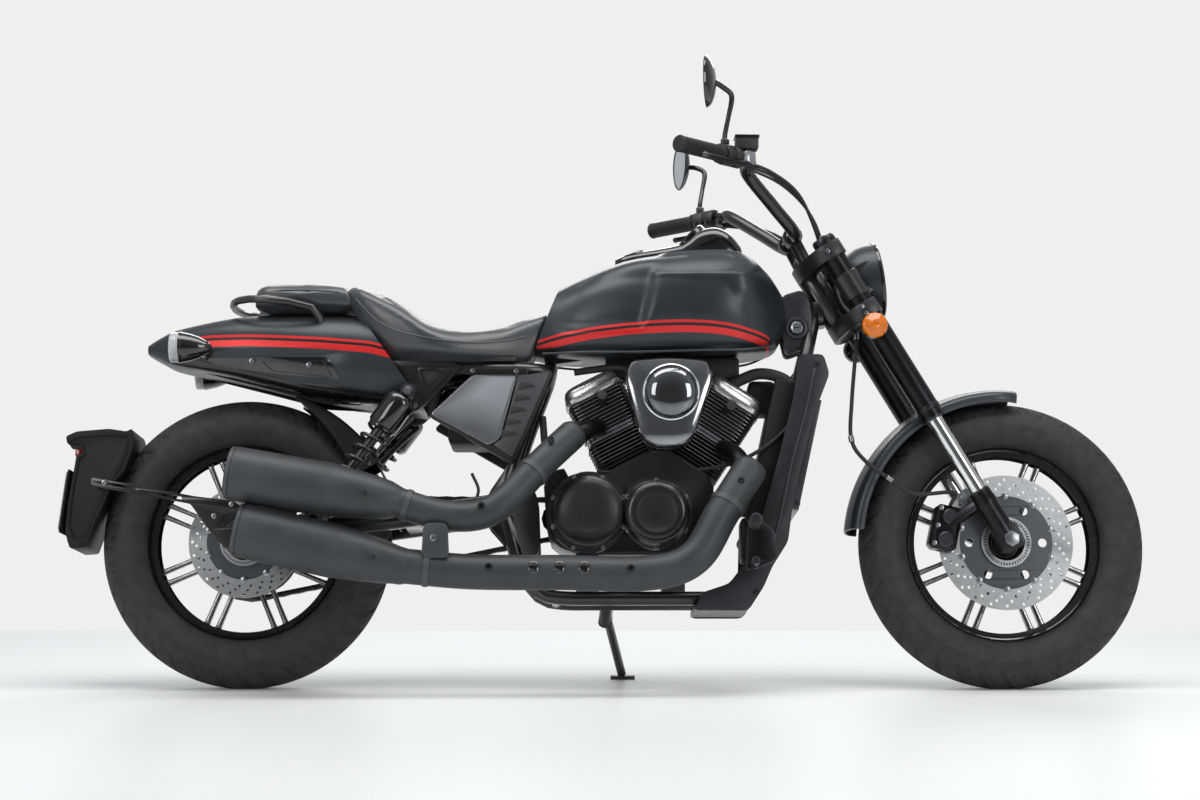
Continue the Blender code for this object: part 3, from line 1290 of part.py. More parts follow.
def crankcase():
    """One heavy block with its feet on the rails, cut square to both banks."""
    solid = sheet("crankcase", rounded(CASE_OUTLINE, 3 * OVERRUN), CASE_WIDTH)
    cutters = []
    for lean in (REAR_BANK, FRONT_BANK):
        size = (FIN_LENGTH * 2, CASE_WIDTH * 2, BARREL_LENGTH)
        cutters.append(box("bank", size, bank_place(lean, BANK_BASE - GAP + BARREL_LENGTH / 2), (0, lean, 0)))
    solid = soften(cut(solid, *cutters), CASE_BEVEL)
    foot_base = RAIL_HEIGHT + TUBE_RADIUS + GAP
    foot_top = min(spot[1] for spot in CASE_OUTLINE) + MOUNT_OVERLAP
    size = (MOUNT_LENGTH, RAIL_SPREAD + TUBE_RADIUS, foot_top - foot_base)
    feet = [box("foot", size, (place, 0, (foot_base + foot_top) / 2)) for place in MOUNT_PLACES]
    room = sheet("room", SPROCKET_ROOM, CHAIN_WIDTH + 2 * CHAIN_ROOM, (0, SPROCKET_PLACE, 0))
    covers = []
    for side in (-1, 1):
        covers.append(round_cover(CLUTCH_PLACE, CLUTCH_RADIUS, CLUTCH_CAP_RADIUS,
                                  COVER_DEPTH * CLUTCH_DEPTH_SHARE, side))
        covers.append(round_cover(GENERATOR_PLACE, GENERATOR_RADIUS, GENERATOR_CAP_RADIUS, COVER_DEPTH, side))
    solid = fuse(cut(solid, room), *gearbox_end(), *covers, *feet)
    paint(solid, BLACK, 0.35, 0.4)
    return solid


def round_cover(place, radius, cap, depth, side):
    """Flange ring and domed cap on the side of the crankcase."""
    profile = [(0, depth), (cap * COVER_TOP_SHARE, depth * COVER_DOME_SHARE), (cap, depth * COVER_EDGE_SHARE),
               (cap, depth * COVER_STEP_SHARE), (radius, depth * COVER_STEP_SHARE),
               (radius, -OVERRUN), (0, -OVERRUN)]
    return turned("cover", profile, (place[0], side * CASE_WIDTH / 2, place[1]), (0, side, 0), LARGE_SIDES)


def finned_stack(lean, start, length, size, core):
    """Round-cornered fins on a core, square to the bank."""
    base = box("core", (core, core, length), bank_place(lean, start + length / 2), (0, lean, 0))
    count = int(length / FIN_PITCH)
    outline = rounded([(-size[0] / 2, -size[1] / 2), (size[0] / 2, -size[1] / 2),
                       (size[0] / 2, size[1] / 2), (-size[0] / 2, size[1] / 2)], FIN_CORNER, 1)
    fins = []
    for step in range(count):
        fin = sheet("fin", outline, FIN_THICKNESS)
        centre = bank_place(lean, start + FIN_PITCH * (step + HALF_SHARE))
        fin.matrix_world = (Matrix.Translation(centre) @ Matrix.Rotation(lean, 4, "Y"))
        fins.append(fin)
    return base, fins


def bank(name, lean):
    """Barrel and head of one bank, as one finned solid."""
    length = BARREL_LENGTH + HEAD_LENGTH
    core, fins = finned_stack(lean, BANK_BASE, length, (FIN_LENGTH, FIN_WIDTH), BARREL_CORE)
    core.name = name + "_cylinder"
    solid = fuse(core, *fins)
    paint(solid, BLACK, 0.4, 0.4)
    return solid


def rocker_cover(name, lean):
    start = BANK_BASE + BARREL_LENGTH + HEAD_LENGTH + GAP
    size = (FIN_LENGTH, FIN_WIDTH * ROCKER_SHARE, ROCKER_HEIGHT)
    solid = box(name + "_rocker_cover", size, bank_place(lean, start + ROCKER_HEIGHT / 2), (0, lean, 0))
    solid = soften(solid, ROCKER_HEIGHT * ROCKER_BEVEL_SHARE, 2)
    paint(solid, STEEL, 0.15, 1.0)
    return solid


def air_cleaner():
    """Shield-shaped shell with a dome, on the intake between the banks."""
    width, height = AIR_CLEANER_WIDTH, AIR_CLEANER_HEIGHT
    rings = []
    for depth, share in SHIELD_DEPTH_SHARES:
        corners = [(x * width * share, z * height * share) for x, z in SHIELD_SHARES]
        outline = rounded(corners, height * SHIELD_CORNER_SHARE, 3)
        side = -(AIR_CLEANER_FACE - AIR_CLEANER_DEPTH * depth)
        rings.append([Vector((AIR_CLEANER_PLACE[0] + x, side, AIR_CLEANER_PLACE[1] + z)) for x, z in outline])
    shell = loft("air_cleaner", rings)
    centre = (AIR_CLEANER_PLACE[0] + DOME_SHIFT[0], -AIR_CLEANER_FACE + OVERRUN * HALF_SHARE,
              AIR_CLEANER_PLACE[1] + DOME_SHIFT[1])
    dome = turned("dome", [(0, DOME_HEIGHT), (DOME_RADIUS * DOME_MID_SHARE, DOME_HEIGHT * DOME_MID_SHARE),
                           (DOME_RADIUS, 0), (DOME_RADIUS, -OVERRUN * HALF_SHARE), (0, -OVERRUN * HALF_SHARE)],
                  centre, (0, -1, 0), LARGE_SIDES)
    start = AIR_CLEANER_FACE - AIR_CLEANER_DEPTH + OVERRUN
    intake = box("intake", (INTAKE_SIZE, start, INTAKE_SIZE),
                 (AIR_CLEANER_PLACE[0] + INTAKE_SHIFT[0], -start / 2, AIR_CLEANER_PLACE[1] + INTAKE_SHIFT[1]))
    solid = fuse(shell, dome, intake)
    length = BARREL_LENGTH + HEAD_LENGTH + 2 * ROCKER_HEIGHT
    banks = [box("bank", (FIN_LENGTH + 2 * GAP, FIN_WIDTH + 2 * GAP, length),
                 bank_place(lean, BANK_BASE + length / 2), (0, lean, 0)) for lean in (REAR_BANK, FRONT_BANK)]
    solid = cut(solid, *banks)
    paint(solid, STEEL, 0.12, 1.0)
    return solid


# Exhaust: two mufflers and two shielded pipes

def pipe_run(name, muffler, route, radius, port):
    """Muffler turned about its axis, then the pipe and its port, fused."""
    rear, front = Vector(muffler[0]), Vector(muffler[1])
    length = (rear - front).length
    profile = [(0, -NECK_END_SHARE * length), (radius, -NECK_END_SHARE * length), (radius, 0)]
    for share, width in MUFFLER_SHARES:
        profile.append((MUFFLER_RADIUS * width, length * share))
    tail = length * MUFFLER_SHARES[-1][0]
    bore = MUFFLER_RADIUS * TAIL_BORE_SHARE
    profile += [(bore, tail), (bore, tail - bore), (0, tail - bore)]
    can = turned(name, profile, front, rear - front, LARGE_SIDES)
    pipe = tube("pipe", smooth_route(route, 3), radius, sides=3)
    seat = Vector((port[0], -FIN_WIDTH / 2 - GAP, port[1]))
    elbow = rod("elbow", route[-1], seat, PORT_RADIUS, sides=SMALL_SIDES)
    room = box("room", (FIN_LENGTH, FIN_WIDTH + 2 * GAP, FIN_LENGTH), (port[0], 0, port[1]))
    return fuse(can, pipe, cut(elbow, room))


def exhaust():
    """Both runs; the lower one carries the hanger plate for both."""
    upper = pipe_run("exhaust_upper", UPPER_MUFFLER, UPPER_PIPE, PIPE_RADIUS, REAR_PORT)
    lower = pipe_run("exhaust_lower", LOWER_MUFFLER, LOWER_PIPE, LOWER_PIPE_RADIUS, FRONT_PORT)
    for solid in (upper, lower):
        paint(solid, GUNMETAL, 0.5, 0.6)
    return upper, lower


# Tank, pod, seats, tail and covers

def section_ring(station, sizes, kind, margin):
    """A section across the bike, round-shouldered, grown by the margin."""
    x_low, x_top, low, top, width = station
    rear, length, base, height, half_width = sizes
    left = [(half_width * width * across, lift) for across, lift in SECTION_SHARES[kind]]
    full = left + [(-across, lift) for across, lift in reversed(left) if across > 0]
    ring = []
    for across, lift in full:
        grow = margin * (2 * lift - 1)
        ring.append(Vector((rear + length * (x_low + (x_top - x_low) * lift),
                            across + math.copysign(margin, across) * (across != 0),
                            base + height * (low + (top - low) * lift) + grow)))
    return ring


def body_loft(name, sizes, stations, kind, margin=0.0):
    return loft(name, [section_ring(station, sizes, kind, margin) for station in stations])


def slant_knife(foot, height, slope, ahead, margin):
    """A big block whose near face is the slanted plane, ahead or behind it."""
    size = 2 * TANK_LENGTH
    turn = math.atan(slope)
    middle = Vector((foot, 0, height)) + ahead * (size / 2 + margin) * Vector((math.cos(turn), 0, -math.sin(turn)))
    return box("knife", (size, size, size), middle, (0, turn, 0))


def tank_body(name, margin):
    sizes = (TANK_REAR, TANK_LENGTH, TANK_BASE, TANK_HEIGHT, TANK_HALF_WIDTH)
    return body_loft(name, sizes, TANK_STATION_SHARES, "tank", margin)


def fuel_tank():
    """Solid tank with a tunnel that straddles the frame's spine."""
    up = Vector((-math.sin(spine_slope()), 0, math.cos(spine_slope())))
    start = Vector((SPINE_REAR[0], 0, SPINE_REAR[1]))
    end = Vector((SPINE_FRONT[0], 0, SPINE_FRONT[1]))
    middle = (start + end) / 2 + up * (SPINE_HEIGHT / 2 + GAP - TANK_TUNNEL_DEPTH / 2)
    width = SPINE_WIDTH + 2 * TANK_TUNNEL_MARGIN
    tunnel = box("tunnel", (2 * TANK_LENGTH, width, TANK_TUNNEL_DEPTH), middle, (0, -spine_slope(), 0))
    knife = slant_knife(TANK_REAR, TANK_BASE, TANK_SLOPE, -1, 0)
    solid = cut(tank_body("fuel_tank", 0), tunnel, knife)
    paint(solid, CHARCOAL, 0.45, 0.3)
    return solid


def instrument_pod():
    """Glossy hooded gauge and console, seated on the tank's crown."""
    sizes = (POD_REAR, POD_LENGTH, POD_BASE, POD_HEIGHT, POD_HALF_WIDTH)
    solid = cut(body_loft("instrument_pod", sizes, POD_STATION_SHARES, "pad"), tank_body("tank", GAP))
    paint(solid, BLACK, 0.1, 0.0)
    return solid


def seat_knife(ahead, margin):
    return slant_knife(SEAT_BACK_FOOT, seat_base(), SEAT_SLOPE, ahead, margin)


def seat_base():
    return SEAT_RAIL_HEIGHT + TUBE_RADIUS + GAP


def rider_seat():
    """Saddle with a raised back, between the tank and the tail cowl."""
    sizes = (SEAT_REAR, SEAT_LENGTH, seat_base(), SEAT_HEIGHT, SEAT_HALF_WIDTH)
    solid = body_loft("rider_seat", sizes, SEAT_STATION_SHARES, "pad")
    knife = slant_knife(TANK_REAR, TANK_BASE, TANK_SLOPE, 1, -SEAT_MARGIN)
    solid = cut(solid, knife, seat_knife(-1, 0))
    paint(solid, BLACK, 0.6, 0.0)
    return solid


def pillion_pad():
    base = TAIL_BASE + TAIL_HEIGHT + GAP
    sizes = (PILLION_REAR, PILLION_LENGTH, base, PILLION_HEIGHT, PILLION_HALF_WIDTH)
    solid = body_loft("pillion_pad", sizes, PILLION_STATION_SHARES, "pad")
    solid = cut(solid, seat_knife(1, -SEAT_MARGIN))
    paint(solid, BLACK, 0.6, 0.0)
    return solid


def tail_body(name, margin):
    sizes = (TAIL_REAR, TAIL_LENGTH, TAIL_BASE, TAIL_HEIGHT, TAIL_HALF_WIDTH)
    return body_loft(name, sizes, TAIL_STATION_SHARES, "tank", margin)


def tail_cowl():
    solid = cut(tail_body("tail_cowl", 0), seat_knife(1, -SEAT_MARGIN))
    paint(solid, CHARCOAL, 0.45, 0.3)
    return solid


def grab_rail():
    """Loop round the pillion pad, its two ends on the cowl's top."""
    route = [Vector(spot) for spot in GRAB_ROUTE]
    left = [Vector((spot.x, -spot.y, spot.z)) for spot in reversed(route[:-1])]
    solid = tube("grab_rail", smooth_route(route + left, 2), GRAB_RADIUS)
    solid = cut(solid, tail_body("tail", GAP))
    paint(solid, BLACK, 0.3, 0.2)
    return solid


def rear_indicator(name, side):
    """Bullet lamp with a clear face to the rear, on a stalk."""
    face = Vector((BULLET_PLACE[0], side * BULLET_PLACE[1], BULLET_PLACE[2]))
    profile = [(0, BULLET_LENGTH)]
    for share, width in BULLET_SHARES:
        profile.append((BULLET_RADIUS * width, BULLET_LENGTH * share))
    profile.append((0, -BULLET_BULGE))
    solid = turned("rear_indicator_" + name, profile, face, (1, 0, 0))
    start = face + Vector((BULLET_LENGTH * BULLET_STALK_SHARE, 0, 0))
    stalk = rod("stalk", start, (start.x, side * BULLET_MOUNT, start.z), STALK_RADIUS, sides=SMALL_SIDES)
    solid = fuse(solid, cut(stalk, tail_body("tail", GAP)))
    paint(solid, BLACK, 0.3, 0.1)
    return solid


def side_cover(name, side):
    """Thick panel under the seat, against the frame's rear post."""
    inner = RAIL_SPREAD / 2 + TUBE_RADIUS * FLAT_SHARE + GAP
    place = side * (inner + COVER_THICKNESS / 2)
    solid = sheet("side_cover_" + name, rounded(COVER_OUTLINE, OVERRUN), COVER_THICKNESS, (0, place, 0))
    solid = soften(solid, COVER_THICKNESS / 4)
    louvres = []
    for count in range(LOUVRES):
        spot = Vector((LOUVRE_START[0], 0, LOUVRE_START[1])) + Vector((LOUVRE_STEP[0], 0, LOUVRE_STEP[1])) * count
        spot.y = side * (inner + COVER_THICKNESS)
        louvres.append(box("louvre", LOUVRE_SIZE, spot, (0, LOUVRE_TURN, 0)))
    solid = cut(solid, *louvres)
    paint(solid, GUNMETAL, 0.4, 0.6)
    return solid


def cradle_lean():
    top, low = CRADLE_FRONT[0], CRADLE_FRONT[2]
    return math.atan2(top[0] - low[0], top[2] - low[2])


def radiator():
    """Slatted core held between the cheeks, ahead of the cradle."""
    slope = cradle_lean()
    forward = Vector((math.cos(slope), 0, -math.sin(slope)))
    up = Vector((math.sin(slope), 0, math.cos(slope)))
    middle = Vector((CRADLE_FRONT[1][0], 0, CRADLE_FRONT[1][2]))
    centre = middle + forward * (TUBE_RADIUS + RADIATOR_STANDOFF + RADIATOR_DEPTH / 2)
    width = 2 * CHEEK_PLACE - CHEEK_THICKNESS - 2 * GAP
    core = box("radiator", (RADIATOR_DEPTH, width, RADIATOR_HEIGHT), centre, (0, slope, 0))
    slats = []
    pitch = RADIATOR_HEIGHT * RADIATOR_SLAT_SHARE / RADIATOR_SLATS
    for count in range(RADIATOR_SLATS):
        rise = pitch * (count + HALF_SHARE - RADIATOR_SLATS / 2)
        spot = centre + forward * RADIATOR_DEPTH / 2 + up * rise
        slats.append(box("slat", (RADIATOR_DEPTH * HALF_SHARE, width * RADIATOR_SLAT_SHARE, pitch * HALF_SHARE),
                         spot, (0, slope, 0)))
    solid = cut(core, *slats)
    paint(solid, BLACK, 0.6, 0.4)
    return solid


def radiator_cover():
    """Cheeks beside the radiator, joined by the pan under the rails."""
    pieces = [sheet("radiator_cover", rounded(CHEEK_OUTLINE, OVERRUN, 2), CHEEK_THICKNESS,
                    (0, side * CHEEK_PLACE, 0)) for side in (-1, 1)]
    top = RAIL_HEIGHT - TUBE_RADIUS * FLAT_SHARE - GAP
    pan = box("pan", (PAN_FRONT - PAN_REAR, 2 * CHEEK_PLACE, PAN_THICKNESS),
              ((PAN_FRONT + PAN_REAR) / 2, 0, top - PAN_THICKNESS / 2))
    solid = fuse(*pieces, pan)
    paint(solid, GUNMETAL, 0.55, 0.2)
    return solid


def footpeg(name, side):
    """Forward control: bracket off the cheek, peg and pedal."""
    start = CHEEK_PLACE + CHEEK_THICKNESS / 2 + GAP
    base = Vector((PEG_MOUNT[0], side * start, PEG_MOUNT[1]))
    out = Vector((PEG_MOUNT[0], side * PEG_REACH, PEG_MOUNT[1]))
    plate = sheet("foot_control_" + name, rounded(PEG_PLATE, OVERRUN), PLATE_THICKNESS,
                  (0, side * PEG_REACH, 0))
    arm = rod("arm", base, out, PEG_ARM_RADIUS, sides=SMALL_SIDES)
    peg_start = Vector((PEG_PLACE[0], side * PEG_REACH, PEG_PLACE[1]))
    peg = rod("peg", peg_start, peg_start + Vector((0, side * PEG_LENGTH, 0)), PEG_RADIUS, sides=SMALL_SIDES)
    pedal_start = Vector((PEDAL_PLACE[0], side * PEG_REACH, PEDAL_PLACE[1]))
    pedal = rod("pedal", pedal_start, pedal_start + Vector((0, side * PEDAL_LENGTH, 0)), PEG_RADIUS * PEDAL_SHARE,
                sides=SMALL_SIDES)
    solid = fuse(plate, arm, peg, pedal)
    paint(solid, BLACK, 0.4, 0.3)
    return solid


def plate_carrier():
    """Arm off the swingarm's right end, the flap, blank plate and lamp."""
    side = -(ARM_INNER + ARM_WIDTH + GAP + PLATE_THICKNESS / 2)
    arm = sheet("plate_carrier", rounded(CARRIER_ARM, OVERRUN / 2), PLATE_THICKNESS, (0, side, 0))
    flap = sheet("flap", FLAP_OUTLINE, 2 * FLAP_HALF_WIDTH)
    spot = (CARRIER_BAR_PLACE[0], CARRIER_BAR_PLACE[1])
    bar = rod("bar", (spot[0], side, spot[1]), (spot[0], -FLAP_HALF_WIDTH + OVERRUN, spot[1]),
              CARRIER_BAR_RADIUS, sides=SMALL_SIDES)
    bore = rod("bore", REAR_AXLE - Vector((0, 2 * ARM_INNER, 0)), REAR_AXLE, AXLE_RADIUS + 2 * GAP)
    rear = flap_rear()
    plate = box("plate", (2 * PLATE_SHEET, *PLATE_SIZE), (rear, 0, PLATE_HEIGHT))
    lamp = box("lamp", REAR_LAMP_SIZE, (rear - REAR_LAMP_SIZE[0] * QUARTER_SHARE, 0, REAR_LAMP_HEIGHT))
    solid = cut(fuse(arm, flap, bar, plate, lamp), bore)
    paint(solid, BLACK, 0.6, 0.0)
    return solid


def flap_rear():
    return min(spot[0] for spot in FLAP_OUTLINE[:-2])


def rear_caliper():
    """Caliper over the rear disc, seated on the right arm's inner face."""
    turn = REAR_CALIPER_TURN
    out = Vector((math.cos(turn), 0, math.sin(turn)))
    middle = REAR_AXLE + out * REAR_CALIPER_RADIUS - Vector((0, DISC_PLACE, 0))
    body = soften(box("rear_caliper", REAR_CALIPER_SIZE, middle, (0, -turn, 0)),
                  REAR_CALIPER_SIZE[0] * BEVEL_SHARE)
    side = -(ARM_INNER - GAP - REAR_BRACKET_WIDTH / 2)
    drop = REAR_CALIPER_SIZE[0] * QUARTER_SHARE
    bracket = box("bracket", (REAR_CALIPER_SIZE[0], REAR_BRACKET_WIDTH, REAR_CALIPER_SIZE[0]),
                  (middle.x, side, middle.z - drop), (0, -turn, 0))
    half = DISC_THICKNESS / 2 + RUNNING_CLEARANCE
    reach = REAR_DISC_RADIUS + RUNNING_CLEARANCE
    slot = turned("slot", [(0, half), (reach, half), (reach, -half), (0, -half)],
                  REAR_AXLE - Vector((0, DISC_PLACE, 0)), sides=WHEEL_SIDES)
    solid = cut(fuse(body, bracket), slot)
    paint(solid, BLACK, 0.4, 0.3)
    return solid


# Side stand: turned from deployed at rest to folded back

def stand_directions():
    deployed = Vector((STAND_REACH[0], STAND_REACH[1], -STAND_PIVOT[2])).normalized()
    folded = Vector(STAND_FOLDED).normalized()
    return deployed, folded


def stand_axis():
    deployed, folded = stand_directions()
    return deployed.cross(folded).normalized()


def side_stand(foot_point, leaned):
    """Leg from its pivot eye to a flat foot at the floor."""
    pivot = Vector(STAND_PIVOT)
    axis = stand_axis()
    sole = foot_point - (foot_point - pivot).normalized() * STAND_RADIUS
    leg = rod("side_stand", pivot, sole, STAND_RADIUS, sides=SMALL_SIDES)
    eye = rod("eye", pivot - axis * STAND_RADIUS, pivot + axis * STAND_RADIUS, STAND_LUG_RADIUS * EYE_SHARE)
    foot = box("foot", (STAND_FOOT_LENGTH, STAND_FOOT_WIDTH, STAND_FOOT_THICKNESS), (0, 0, 0))
    foot.matrix_world = Matrix.Translation(foot_point) @ leaned.to_3x3().inverted().to_4x4()
    bore = rod("bore", pivot - axis * OVERRUN * 2, pivot + axis * OVERRUN * 3, PIVOT_PIN_RADIUS * HALF_SHARE + GAP)
    solid = cut(fuse(leg, eye, foot), bore)
    paint(solid, BLACK, 0.5, 0.2)
    return solid


# Assembly: the five bodies, steered and leaned on the stand

def steering_rest():
    ahead = Vector((math.cos(RAKE), 0, math.sin(RAKE)))
    up = Vector((-math.sin(RAKE), 0, math.cos(RAKE)))
    turn = Matrix((ahead, Vector((0, 1, 0)), up)).transposed().to_4x4()
    return Matrix.Translation(head_end(LOWER_YOKE_PLACE)) @ turn


def lowest(thing):
    bpy.context.view_layer.update()
    place = thing.matrix_world
    return min((place @ spot.co).z for spot in thing.data.vertices)


def lean_and_level(bike, front, rear):
    """Lean the bike, then pitch it until both tyres stand on the floor."""
    pitch = 0.0
    for _ in range(LEVEL_ROUNDS):
        bike.matrix_world = Matrix.Rotation(pitch, 4, "Y") @ Matrix.Rotation(-LEAN, 4, "X")
        pitch += math.atan2(lowest(front) - lowest(rear), WHEELBASE)
    bike.matrix_world = Matrix.Rotation(pitch, 4, "Y") @ Matrix.Rotation(-LEAN, 4, "X")
    drop = Matrix.Translation((0, 0, -min(lowest(front), lowest(rear))))
    bike.matrix_world = drop @ bike.matrix_world


def stand_foot(bike):
    """Where the deployed leg meets the floor, in the bike's frame."""
    deployed, _ = stand_directions()
    place = bike.matrix_world
    start = place @ Vector(STAND_PIVOT)
    end = place @ (Vector(STAND_PIVOT) + deployed)
    share = (start.z - STAND_FOOT_THICKNESS / 2) / (start.z - end.z)
    return Vector(STAND_PIVOT) + deployed * share


def centre_on_floor(bike, things):
    """Put the middle of the whole outline over the frame's origin."""
    bpy.context.view_layer.update()
    spots = [thing.matrix_world @ spot.co for thing in things for spot in thing.data.vertices]
    middle_x = (max(spot.x for spot in spots) + min(spot.x for spot in spots)) / 2
    middle_y = (max(spot.y for spot in spots) + min(spot.y for spot in spots)) / 2
    bike.matrix_world = Matrix.Translation((-middle_x, -middle_y, 0)) @ bike.matrix_world


def build_wheels():
    front = [tyre("front_tyre", FRONT_TYRE_RADIUS, FRONT_TYRE_WIDTH, FRONT_RIM_WIDTH, FRONT_AXLE),
             rim("front_rim", FRONT_RIM_WIDTH, FRONT_HUB_LEFT, FRONT_AXLE),
             brake_disc("front_disc", FRONT_DISC_RADIUS, FRONT_AXLE)]
    left = SPROCKET_PLACE - SPROCKET_THICKNESS / 2 - GAP
    rear = [tyre("rear_tyre", REAR_TYRE_RADIUS, REAR_TYRE_WIDTH, REAR_RIM_WIDTH, REAR_AXLE),
            rim("rear_rim", REAR_RIM_WIDTH, left, REAR_AXLE),
            brake_disc("rear_disc", REAR_DISC_RADIUS, REAR_AXLE),
            sprocket(REAR_AXLE)]
    return front, rear


def build_steering():
    half = FORK_SPACING / 2 + SLIDER_RADIUS + AXLE_NUT_SEAT
    pieces = [yokes(), handlebar(), front_fender(), front_caliper(), brake_hose(),
              axle("front_axle", FRONT_AXLE, half), *headlamp()]
    for name, side in (("left", 1), ("right", -1)):
        pieces += [fork_leg(name, side), controls(name, side), mirror(name, side), front_indicator(name, side)]
    return pieces


def build_chassis():
    half = ARM_INNER + ARM_WIDTH + PLATE_THICKNESS + 3 * GAP
    pieces = [frame(), swingarm(), chain(), axle("rear_axle", REAR_AXLE, half), crankcase(), air_cleaner(),
              fuel_tank(), instrument_pod(), rider_seat(), pillion_pad(), tail_cowl(), grab_rail(),
              radiator(), radiator_cover(), plate_carrier(), rear_caliper(), *exhaust()]
    for name, lean in (("front", FRONT_BANK), ("rear", REAR_BANK)):
        pieces += [bank(name, lean), rocker_cover(name, lean)]
    for name, side in (("left", 1), ("right", -1)):
        pieces += [shock(name, side), rear_indicator(name, side), side_cover(name, side), footpeg(name, side)]
    return pieces


def main():
    front_wheel, rear_wheel = build_wheels()
    steering = build_steering()
    chassis = build_chassis()
    bike = add_empty("bike", Matrix.Identity(4))
    upright_rest = Matrix.Identity(4)
    steer_rest = steering_rest()
    steer = add_empty("steering_axis", steer_rest, bike, upright_rest)
    rear_axis = add_empty("rear_wheel_axis", Matrix.Translation(REAR_AXLE), bike, upright_rest)
    front_axis = add_empty("front_wheel_axis", Matrix.Translation(FRONT_AXLE), steer, steer_rest)
    for thing in chassis:
        ride(thing, bike, upright_rest)
    for thing in steering:
        ride(thing, steer, steer_rest)
    for thing in front_wheel:
        ride(thing, front_axis, Matrix.Translation(FRONT_AXLE))
    for thing in rear_wheel:
        ride(thing, rear_axis, Matrix.Translation(REAR_AXLE))
    steer.matrix_basis = steer_rest @ Matrix.Rotation(STEER, 4, "Z")
    lean_and_level(bike, front_wheel[0], rear_wheel[0])
    stand_rest = Matrix.Translation(STAND_PIVOT) @ upright(stand_axis())
    stand_turn = add_empty("side_stand_axis", stand_rest, bike, upright_rest)
    stand = side_stand(stand_foot(bike), bike.matrix_world)
    ride(stand, stand_turn, stand_rest)
    things = [*chassis, *steering, *front_wheel, *rear_wheel, stand]
    centre_on_floor(bike, things)
    for thing in things:
        thing.data.shade_smooth()
        thing.data.set_sharp_from_angle(angle=SHARP_ANGLE)


LEVEL_ROUNDS = 4
FRONT_HUB_LEFT = 0.055
AXLE_NUT_SEAT = 0.0005
SHARP_ANGLE = math.radians(30.0)
FRONT_AXLE = Vector((WHEELBASE, 0, FRONT_TYRE_RADIUS))
REAR_AXLE = Vector((0, 0, REAR_TYRE_RADIUS))
clear_scene()
MOTORCYCLE = make_collection("cruiser_motorcycle")
main()
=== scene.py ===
# Cruiser motorcycle on its side stand: finishes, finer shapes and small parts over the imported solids.
# Most pieces are laid out upright and straight, x forward from the rear axle, y to the left, z up,
# in metres, and are then put in place by the lean and, on the fork, by the steering.
import json
from math import atan2, copysign, cos, hypot, pi, radians, sin

import bmesh
import bpy
from mathutils import Matrix, Vector


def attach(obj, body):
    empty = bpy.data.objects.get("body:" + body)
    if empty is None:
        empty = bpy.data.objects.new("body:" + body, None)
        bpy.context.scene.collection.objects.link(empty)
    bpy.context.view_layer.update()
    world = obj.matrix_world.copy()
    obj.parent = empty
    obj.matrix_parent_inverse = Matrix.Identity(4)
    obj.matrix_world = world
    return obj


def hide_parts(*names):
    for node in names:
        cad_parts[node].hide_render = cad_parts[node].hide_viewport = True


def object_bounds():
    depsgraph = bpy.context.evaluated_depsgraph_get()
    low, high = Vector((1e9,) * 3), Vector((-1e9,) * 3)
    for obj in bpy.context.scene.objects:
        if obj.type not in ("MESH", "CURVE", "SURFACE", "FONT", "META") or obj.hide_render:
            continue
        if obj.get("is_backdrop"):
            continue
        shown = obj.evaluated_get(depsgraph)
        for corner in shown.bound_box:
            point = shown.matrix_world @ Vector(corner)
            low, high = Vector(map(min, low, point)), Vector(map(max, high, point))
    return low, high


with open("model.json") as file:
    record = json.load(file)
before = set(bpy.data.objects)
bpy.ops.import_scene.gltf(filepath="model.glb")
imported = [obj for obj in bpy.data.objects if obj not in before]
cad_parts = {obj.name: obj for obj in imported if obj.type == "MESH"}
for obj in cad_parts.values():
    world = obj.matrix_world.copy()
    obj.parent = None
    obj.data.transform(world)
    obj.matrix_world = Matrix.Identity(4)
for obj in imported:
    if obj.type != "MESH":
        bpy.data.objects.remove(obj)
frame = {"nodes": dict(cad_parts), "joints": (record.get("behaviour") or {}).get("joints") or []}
cadBounds = [list(corner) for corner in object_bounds()]
nodes = frame["nodes"]
joints = {joint["name"]: joint for joint in frame["joints"]}
print("frame loaded")

mm = 0.001
stance = {"lean": 7, "nose": 0.02487, "steer": 3.5, "rake": 30.9, "origin": (-0.795667, -0.138726, -0.001528)}
wheelbase, axleHeight, frontAxleHeight = 1.685, 0.3225, 0.32
bothSides = (("left", 1), ("right", -1))
world = Matrix()


def turned(axis, degrees):
    return Matrix.Rotation(radians(degrees), 4, axis)


def offset(x, y, z):
    return Matrix.Translation((x, y, z))


def about(place, axis, degrees):
    shift = Matrix.Translation(place)
    return shift @ Matrix.Rotation(radians(degrees), 4, Vector(axis)) @ shift.inverted()


head = joints["steering_turn"]
bike = Matrix.Translation(stance["origin"]) @ turned("Y", stance["nose"]) @ turned("X", -stance["lean"])
steered = about(head["pos_m"], head["axis"], stance["steer"]) @ bike
rearHub = bike @ offset(0, 0, axleHeight)
frontHub = steered @ offset(wheelbase, 0, frontAxleHeight)
# the fork's own axes: x ahead of its plane, y to the left, z up along it from the front axle
fork = frontHub @ turned("Y", -stance["rake"])


def around(count, start=0):
    # Angles spread evenly over a full turn.
    return [start + 2 * pi * k / count for k in range(count)]


def placed(name, data):
    thing = bpy.data.objects.new(name, data)
    bpy.context.scene.collection.objects.link(thing)
    return thing


def bakedMesh(thing):
    # A thing's mesh with its modifiers in it.
    graph = bpy.context.evaluated_depsgraph_get()
    return bpy.data.meshes.new_from_object(thing.evaluated_get(graph))


def sideView(across):
    # The place of a sheet that is drawn in side view.
    return bike @ offset(0, across, 0) @ turned("X", 90)


def aim(spot, direction):
    # Matrix that puts a shape's z axis along a direction.
    return Matrix.Translation(spot) @ Vector(direction).to_track_quat("Z", "Y").to_matrix().to_4x4()


# Finishes

